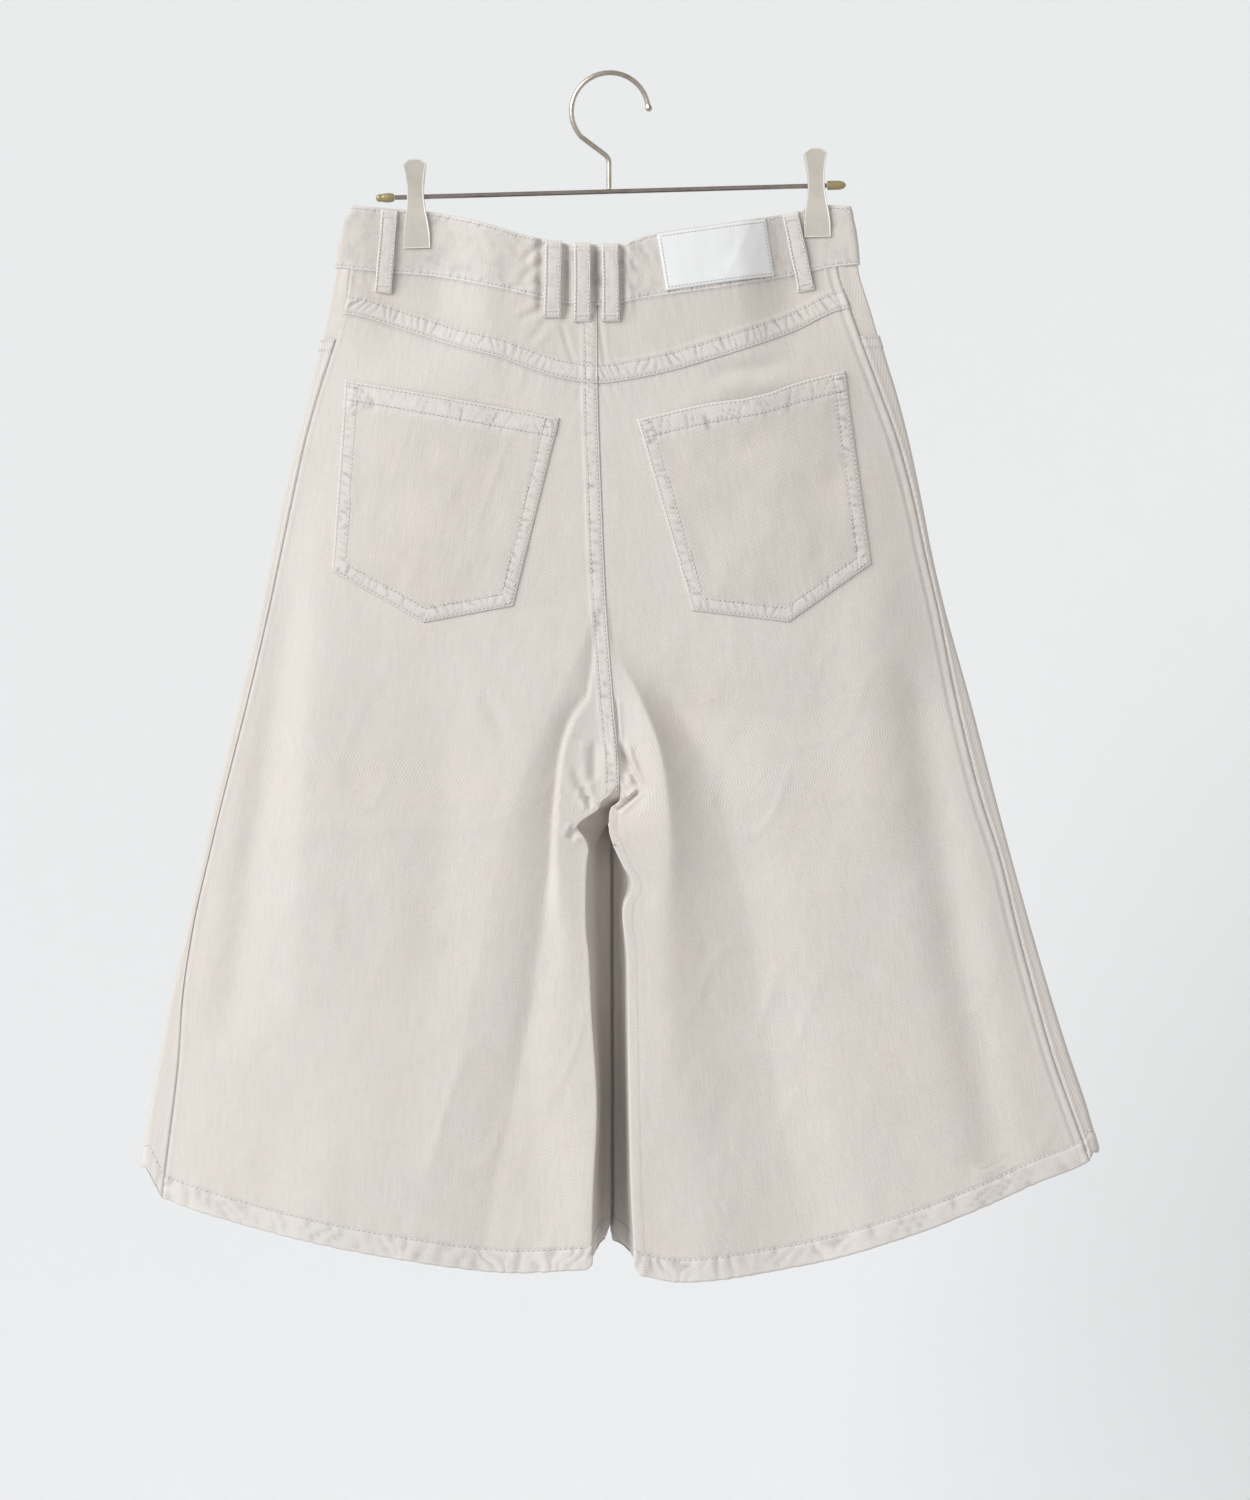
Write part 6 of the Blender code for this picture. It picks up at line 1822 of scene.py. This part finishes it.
        # painted shade in the groove of the stitch row
        sheet.dent = 0.35 * bell(edge - 2.0, 0.4)
        piece = Workshop.shell("plain_patch", sheet, self.patch_wall, PATCH_WHITE.material(),
                               "patch")
        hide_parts("waist_patch")
        thread = Thread("patch_stitches", THREAD.material(), 2.4, 1.9, 0.4)
        for distance, by_rows in ((sheet.top, True), (sheet.bottom, True), (sheet.left, False),
                                  (sheet.right, False)):
            line, ups = sheet.trace(distance, self.patch_row, by_rows)
            thread.line(line[2:-2], ups[2:-2])
        thread.build()

    def build(self) -> None:
        """Make the band and all that is sewn to it."""
        self.band()
        for loop in self.loops:
            self.belt_loop(*loop)
        self.patch()
        self.thread.build()


@dataclass
class BackPockets:
    """The two patch pockets, which end in a point."""

    wall: float = 1.0
    lay: float = 0.3
    hem_width: float = 14.5
    rows: tuple[float, float] = (1.5, 8.6)
    mouth_rows: tuple[float, float] = (1.8, 13.0)
    foot_share: float = 0.90
    corners: dict[Side, tuple[tuple[float, float], ...]] = field(default_factory=lambda: {
        Side.LEFT: ((-178.8, 206.7), (-33.3, 233.6), (-64.6, 360.4), (-125.1, 371.6),
                    (-187.3, 336.9)),
        Side.RIGHT: ((18.8, 234.6), (159.8, 200.6), (177.5, 331.5), (121.4, 371.3),
                     (56.4, 363.6))})
    thread: Thread = field(default_factory=lambda: Thread("pocket_stitches", THREAD.material()))

    @staticmethod
    def distance(x: Array, drop: Array, start: Array, end: Array) -> tuple[Array, Array]:
        """Return distances inwards from an edge of the outline, and along it."""
        along = (end - start) / np.linalg.norm(end - start)
        dx, dd = x - start[0], drop - start[1]
        return dd * along[0] - dx * along[1], dx * along[0] + dd * along[1]

    def pocket(self, side: Side) -> None:
        """Make one pocket.

        Args:
            side: The half that carries it.
        """
        word = side.name.lower()
        top_left, top_right, low_right, point, low_left = (np.array(c) for c in self.corners[side])
        share0 = (point[0] - low_left[0]) / (low_right[0] - low_left[0])
        across = np.unique(np.concatenate([
            np.linspace(0.0, 0.07, 12), np.linspace(0.07, share0, 46), np.linspace(share0, 0.93, 46),
            np.linspace(0.93, 1.0, 12)]))[None, :]
        down = np.unique(np.concatenate([np.linspace(0.0, 0.13, 24), np.linspace(0.13, 0.92, 62),
                                         np.linspace(0.92, 1.0, 14)]))[:, None]
        first = np.clip(across / share0, 0.0, 1.0)
        second = np.clip((across - share0) / (1.0 - share0), 0.0, 1.0)
        spot = []
        for axis in (0, 1):
            top = mix(top_left[axis], top_right[axis], across)
            low = np.where(across < share0, mix(low_left[axis], point[axis], first),
                           mix(point[axis], low_right[axis], second))
            spot.append(mix(top, low, down))
        x, drop = spot
        edges = {"top": self.distance(x, drop, top_left, top_right),
                 "right": self.distance(x, drop, top_right, low_right),
                 "low_right": self.distance(x, drop, low_right, point),
                 "low_left": self.distance(x, drop, point, low_left),
                 "left": self.distance(x, drop, low_left, top_left)}
        points, normals = FORM.surface(Layer.BACK, x, drop)
        sheet = Sheet(points, (0.0, -1.0, 0.0))
        sheet.normals = normals
        sewn = ["right", "low_right", "low_left", "left"]
        stack = np.stack([edges[name][0] for name in sewn])
        nearest = stack.argmin(axis=0)
        rim = stack.min(axis=0)
        offsets = np.array([0.0, 151.0, 301.0, 420.0])
        along = np.choose(nearest, [edges[name][1] + offset
                                    for name, offset in zip(sewn, offsets)])
        sheet.raise_by(self.lay + self.wall + 0.3)
        sheet.sew(rim, along, self.rows, 181 + side, 5.4, 0.46)
        sheet.roll(rim, 0.8)
        mouth, run = edges["top"]
        noise = SoftNoise(191 + side, 256)
        self.hem(sheet, mouth, run, noise)
        middle = ease(np.minimum(rim, mouth) / 22.0)
        sheet.raise_by(0.9 * middle * noise(x / 30.0, drop / 36.0) + 0.25 * middle
                       * noise(x / 11.0, drop / 13.0))
        width = np.linalg.norm(top_right - top_left)
        stands = np.sin(math.pi * np.clip(run / width, 0.0, 1.0)) * ease(1.0 - mouth / 34.0)
        sheet.raise_by(1.2 * stands)
        if side is Side.RIGHT:
            gape = bell(run - 82.0, 26.0) * ease(1.0 - mouth / 42.0)
            sheet.raise_by(3.4 * gape)
            sheet.points[..., 2] -= 3.2 * gape
        piece = Workshop.shell("patch_pocket_" + word, sheet, self.wall, DENIM_UPPER.material(),
                               "denim_light")
        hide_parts("back_pocket_" + word)
        self.stitch(sheet, rim, mouth, down)

    def hem(self, sheet: Sheet, mouth: Array, run: Array, noise: Callable) -> None:
        """Turn down the hem at the mouth, with its puckers and two sunk rows.

        Args:
            sheet: The pocket.
            mouth: Distance from the mouth.
            run: Distance along it.
            noise: The noise that makes the puckers uneven.
        """
        hem = ease((self.hem_width + 6.0 - mouth) / 6.0)
        bars = valleys(run + 0.15 * mouth, mouth, 5.2, noise) + 0.2 * noise(run / 2.0, mouth / 3.0)
        pucker = 0.46 * (0.3 - bars) * hem * ease((mouth - 1.5) / 3.0)
        sheet.raise_by(pucker + 0.35 * ease((self.hem_width - mouth) / 2.0))
        # painted shade in the pucker valleys; pale crests are wear and painted highlight
        sheet.mark(dent=np.clip(-3.6 * pucker - 0.15, 0.0, 1.0),
                   worn=np.clip(2.6 * pucker + 0.2 * hem, 0.0, 0.6))
        for at in self.mouth_rows:
            sheet.raise_by(-0.3 * bell(mouth - at, 0.65))
            # painted shade in the groove of each stitch row
            sheet.mark(dent=0.25 * bell(mouth - at, 0.8))
        sheet.roll(mouth, 0.9)

    def stitch(self, sheet: Sheet, rim: Array, mouth: Array, down: Array) -> None:
        """Sew the rows round the sides and foot, and across the mouth.

        Args:
            sheet: The finished pocket.
            rim: Distance from the sewn edges.
            mouth: Distance from the mouth.
            down: Row shares.
        """
        for at in self.mouth_rows:
            line, ups = sheet.trace(mouth, at, True)
            self.thread.line(line[2:-2], ups[2:-2])
        half = rim.shape[1] // 2
        face = sheet.face()
        for at in self.rows:
            for first, last in ((0, half), (half, rim.shape[1])):
                part = slice(first, last)
                inside = rim[:, part] if first == 0 else rim[:, part][:, ::-1]
                reach = np.argmax(inside > at, axis=1)
                good = (inside > at).any(axis=1) & (reach > 0) & (down[:, 0] > 0.01)
                rows = np.nonzero(good)[0]
                picks = reach[rows] if first == 0 else rim.shape[1] - 1 - reach[rows]
                rows = rows[down[rows, 0] < self.foot_share]
                picks = picks[:len(rows)]
                if len(rows) > 2:
                    self.thread.line(face[rows, picks], sheet.normals[rows, picks])
            low = rim.shape[0] - 1 - np.argmax(rim[::-1] > at, axis=0)
            columns = np.nonzero((rim > at).any(axis=0) & (low > rim.shape[0] * 0.8))[0]
            self.thread.line(face[low[columns], columns], sheet.normals[low[columns], columns])
        for columns in (slice(1, 9), slice(-9, -1)):
            self.thread.tack(face[5, columns], sheet.normals[5, columns], 2.2)
            self.thread.tack(face[2, columns], sheet.normals[2, columns], 1.6)

    def build(self) -> None:
        """Make both pockets and their sewing."""
        for side in Side:
            self.pocket(side)
        self.thread.build()


@dataclass
class Closing:
    """The zip tape with its teeth, and the fly shield."""

    top: float = 170.5
    length: float = 142.0

    def tape(self, name: str, node: str, half_width: float, wall: float, behind: float,
             slot: str, finish: bpy.types.Material, area: float) -> Sheet:
        """Lay one strip behind the centre front.

        Args:
            name: Name of the piece.
            node: The solid that it stands for.
            half_width: Half its width.
            wall: Its thickness.
            behind: How far it lies behind the front's face.
            slot: Not used.
            finish: Its material.
            area: Not used.

        Returns:
            The sheet.
        """
        down = np.linspace(0.0, 1.0, 60)[:, None]
        across = np.linspace(-1.0, 1.0, 17)[None, :]
        drop = self.top + self.length * down + 0.0 * across
        narrow = 1.0 - 0.35 * ease((down - 0.75) / 0.25)
        x = FORM.centre[Layer.FRONT](drop) + across * half_width * narrow
        points, normals = FORM.surface(Layer.FRONT, x, drop)
        sheet = Sheet(points, (0.0, 1.0, 0.0))
        sheet.normals = normals
        sheet.raise_by(-behind - 0.3 + 0.1 * np.cos(across * 9.0))
        # pale edges: wear and painted highlight
        sheet.mark(worn=0.3 * bell(1.0 - np.abs(across) + 0.0 * down, 0.2))
        piece = Workshop.shell(name, sheet, wall, finish, slot)
        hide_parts(node)
        return sheet

    def build(self) -> None:
        """Make the tape, the teeth and the shield."""
        sheet = self.tape("zip_tape", "fly_zip", 12.0, 0.5, 1.5, "tape", DENIM.material(), 0.0032)
        self.tape("fly_facing", "fly_shield", 17.0, 0.8, 3.4, "denim", DENIM.material(), 0.0046)
        teeth = Thread("zip_teeth", BUTTON_METAL.material(), 2.0, 1.6, 1.3)
        face = sheet.face() - sheet.normals * 0.9
        teeth.tack(face[2:-3, 8], -sheet.normals[2:-3, 8], 3.6)
        teeth.build("steel")


# ---- the hanger ------------------------------------------------------------------------------
@dataclass
class Hanger:
    """The wire hanger's carried-over solids and the springs round its rod."""

    rod_left: tuple[float, float] = (-145.6, 82.0)
    rod_right: tuple[float, float] = (148.2, 73.8)
    coil_radius: float = 3.9
    coil_wire: float = 0.55
    coil_length: float = 7.6
    plate: tuple[tuple[float, float, float], ...] = (
        (25.0, 3.6, 9.6), (21.8, 7.8, 9.1), (15.0, 6.6, 7.8), (6.3, 5.7, 5.9), (-1.9, 5.8, 4.8),
        (-8.5, 6.5, 4.6), (-18.9, 8.3, 4.9), (-25.7, 9.0, 4.6), (-35.2, 9.0, 4.0))

    def rod_drop(self, x: float) -> float:
        """Return the drop of the rod's middle at a place across."""
        share = (x - self.rod_left[0]) / (self.rod_right[0] - self.rod_left[0])
        return mix(self.rod_left[1], self.rod_right[1], share)

    def rim(self, word: str, x: float, jaw: str) -> None:
        """Edge one plate of a clip with its rolled rim, in a near-white finish that is a painted
        highlight.

        Args:
            word: Which clip.
            x: Its middle.
            jaw: Which of its two plates.
        """
        height, half, out = np.array(self.plate).T
        outline = np.concatenate([np.stack([half, height], axis=-1),
                                  np.stack([-half, height], axis=-1)[::-1]])
        out = np.concatenate([out, out[::-1]])
        before = unit(outline - np.roll(outline, 1, axis=0))
        after = unit(np.roll(outline, -1, axis=0) - outline)
        inward = unit(np.stack([before[:, 1] + after[:, 1], -before[:, 0] - after[:, 0]], axis=-1))
        tilt = math.atan2(self.rod_left[1] - self.rod_right[1],
                          self.rod_right[0] - self.rod_left[0])
        drop = self.rod_drop(x)
        facing = -1.0 if jaw == "back" else 1.0
        rings = []
        for inset, proud in ((0.1, 0.0), (0.4, 0.3), (0.95, 0.12), (1.1, -0.4), (0.3, -0.4)):
            flat = outline + inset * inward
            rings.append(np.stack([x + flat[:, 0] * math.cos(tilt) - flat[:, 1] * math.sin(tilt),
                                   facing * (out + proud),
                                   flat[:, 0] * math.sin(tilt) + flat[:, 1] * math.cos(tilt)
                                   - drop - DATUM], axis=-1))
        points = np.concatenate(rings)
        faces = tube_faces(len(rings), len(outline), closed=True)
        corners = points[np.array(faces)] - points.mean(axis=0)
        volume = ((np.cross(corners[:, 0], corners[:, 1]) * corners[:, 2]).sum()
                  + (np.cross(corners[:, 0], corners[:, 2]) * corners[:, 3]).sum())
        if volume < 0.0:
            faces = [face[::-1] for face in faces]
        Workshop.mesh(f"clip_{word}_rim_{jaw}", points, faces, CLIP_RIM_HIGHLIGHT.material(), "steel", 30.0)

    @staticmethod
    def dress(node: str, material: bpy.types.Material) -> None:
        """Give a carried-over solid a better finish."""
        piece = bpy.data.objects[frame_object(node)]
        for index in range(len(piece.material_slots)):
            piece.material_slots[index].material = material

    def coil(self, word: str, x: float) -> None:
        """Wind the spring of one clip round the rod.

        Args:
            word: Which clip.
            x: Its middle.
        """
        along = unit(np.array([self.rod_right[0] - self.rod_left[0], 0.0,
                               self.rod_left[1] - self.rod_right[1]]))
        over = np.array([0.0, 1.0, 0.0])
        beside = np.cross(along, over)
        turns, steps, sides = 6.0, 150, 6
        t = np.linspace(0.0, 1.0, steps)
        angle = 2.0 * math.pi * turns * t
        centre = np.array([x, 0.0, -self.rod_drop(x) - DATUM])
        radial = np.cos(angle)[:, None] * over + np.sin(angle)[:, None] * beside
        path = centre + along * ((t - 0.5) * self.coil_length)[:, None] + radial * self.coil_radius
        ahead = unit(np.gradient(path, axis=0))
        side = unit(np.cross(ahead, radial))
        ring = 2.0 * math.pi * np.arange(sides) / sides
        points = np.stack([path + self.coil_wire * (math.cos(a) * radial + math.sin(a) * side)
                           for a in ring], axis=1).reshape(-1, 3)
        faces = tube_faces(steps, sides)
        faces.append(list(range(sides))[::-1])
        faces.append(list(range((steps - 1) * sides, steps * sides)))
        Workshop.mesh("clip_coil_" + word, points, [face[::-1] for face in faces],
                      WIRE.material(), "steel")

    def build(self) -> None:
        """Dress the solids and add the springs."""
        self.dress("hanger_hook", HOOK_WIRE.material())
        self.dress("hanger_rod", WIRE.material())
        for word, x in zip(("left", "right"), CLIPS_X):
            self.dress("hanger_cap_" + word, CAP_BRONZE.material())
            for jaw in ("back", "front"):
                self.dress(f"clip_{word}_jaw_{jaw}", CLIP_PLATE.material())
                self.rim(word, x, jaw)
            self.coil(word, x)
        self.dress("waist_button", BUTTON_METAL.material())


def frame_object(node: str) -> str:
    """Return the name of the object that holds a CAD node."""
    return node if node in bpy.data.objects else next(
        piece.name for piece in bpy.data.objects if piece.name.split(".")[0] == node)


# ---- the studio ------------------------------------------------------------------------------
@dataclass
class Studio:
    """Camera, soft light, pale wall and floor."""

    distance: float = 4.0
    wall_y: float = 0.90
    floor_z: float = -1.35
    key_strength: float = 2.38
    key_angle: float = 0.75
    key_place: Triple = (-2.72, -2.3, 1.5)
    key_colour: Colour = (0.970, 0.990, 1.0)
    fill_share: float = 0.09
    fill_angle: float = 1.2
    fill_place: Triple = (1.7, -2.6, -0.2)
    fill_colour: Colour = (0.97, 0.98, 1.0)
    world_strength: float = 0.485
    world_colour: Colour = (1.0, 0.960, 0.918)
    half_room: float = 3.4
    wall_low: float = -1.9
    wall_high: float = 1.6
    wall_colour: Colour = (0.826, 0.840, 0.854)
    floor_colour: Colour = (0.72, 0.72, 0.73)
    sensor: float = 36.0

    def camera(self) -> None:
        """Place the camera square to the back, framed as the photograph."""
        data = bpy.data.cameras.new("view")
        data.sensor_fit = "VERTICAL"
        data.sensor_height = self.sensor
        data.lens = self.sensor * self.distance / (PHOTO_SIZE[1] * PHOTO_SCALE * MM)
        data.clip_end = 30.0
        camera = bpy.data.objects.new("view", data)
        x = (0.5 * PHOTO_SIZE[0] - PHOTO_ZERO[0]) * PHOTO_SCALE * MM
        z = -((0.5 * PHOTO_SIZE[1] - PHOTO_ZERO[1]) * PHOTO_SCALE + DATUM) * MM
        camera.location = (x, -self.distance, z)
        camera.rotation_euler = (math.pi / 2.0, 0.0, 0.0)
        bpy.context.scene.collection.objects.link(camera)
        bpy.context.scene.camera = camera

    @staticmethod
    def sun(name: str, place: Triple, strength: float, angle: float, colour: Colour) -> None:
        """Add a broad far light, like a large softbox.

        Args:
            name: Its name.
            place: The side that it shines from.
            strength: Its strength.
            angle: How broad it looks, in radians.
            colour: Its colour.
        """
        data = bpy.data.lights.new(name, "SUN")
        data.energy, data.angle, data.color = strength, angle, colour
        lamp = bpy.data.objects.new(name, data)
        lamp.location = place
        lamp.rotation_euler = (-Vector(place)).to_track_quat("-Z", "Y").to_euler()
        bpy.context.scene.collection.objects.link(lamp)

    @staticmethod
    def plane(name: str, corners: Sequence[Triple], colour: Colour, one_sided: bool) -> None:
        """Add a wall or floor.

        Args:
            name: Its name.
            corners: Its corners in metres.
            colour: Its colour.
            one_sided: True where it is clear from behind.
        """
        mesh = bpy.data.meshes.new(name)
        mesh.from_pydata(list(corners), [], [list(range(len(corners)))])
        material = bpy.data.materials.new(name)
        material.use_nodes = True
        kit = NodeKit(material.node_tree)
        shader = material.node_tree.nodes["Principled BSDF"]
        solid = kit.object_place()
        tone = kit.blend(kit.noise(solid, 1.1, 1.0), colour, tuple(0.985 * c for c in colour))
        kit.join(tone, shader.inputs["Base Color"])
        shader.inputs["Roughness"].default_value = 0.95
        if one_sided:
            clear = kit.node("ShaderNodeBsdfTransparent").outputs[0]
            behind = kit.node("ShaderNodeNewGeometry").outputs["Backfacing"]
            choose = kit.node("ShaderNodeMixShader")
            out = material.node_tree.nodes["Material Output"]
            kit.join(behind, choose.inputs[0])
            kit.join(shader.outputs[0], choose.inputs[1])
            kit.join(clear, choose.inputs[2])
            kit.join(choose.outputs[0], out.inputs[0])
        mesh.materials.append(material)
        piece = bpy.data.objects.new(name, mesh)
        bpy.context.scene.collection.objects.link(piece)

    def build(self) -> None:
        """Set up the studio."""
        self.camera()
        world = bpy.data.worlds.new("studio")
        world.use_nodes = True
        background = world.node_tree.nodes["Background"]
        background.inputs[0].default_value = (*self.world_colour, 1.0)
        background.inputs[1].default_value = self.world_strength
        bpy.context.scene.world = world
        bpy.context.scene.view_settings.view_transform = "Standard"
        self.sun("key", self.key_place, self.key_strength, self.key_angle, self.key_colour)
        self.sun("fill", self.fill_place, self.fill_share * self.key_strength, self.fill_angle,
                 self.fill_colour)
        wide, y, z = self.half_room, self.wall_y, self.floor_z
        low, high = self.wall_low, self.wall_high
        self.plane("pale_wall", ((-wide, y, low), (wide, y, low), (wide, y, high),
                                 (-wide, y, high)), self.wall_colour, True)
        self.plane("pale_floor", ((-wide, -wide, z), (wide, -wide, z), (wide, wide, z),
                                  (-wide, wide, z)), self.floor_colour, False)


def main() -> None:
    """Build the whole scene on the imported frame."""
    logging.basicConfig(level=logging.INFO, format="%(message)s")
    for old in list(bpy.data.objects):
        bpy.data.objects.remove(old)
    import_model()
    bpy.ops.object.select_all(action="DESELECT")
    Studio().build()
    Waistband().build()
    Panels().build()
    BackPockets().build()
    Closing().build()
    Hanger().build()
    LOG.info("%d pieces made", len(Workshop.made))


if __name__ == "__main__":
    main()
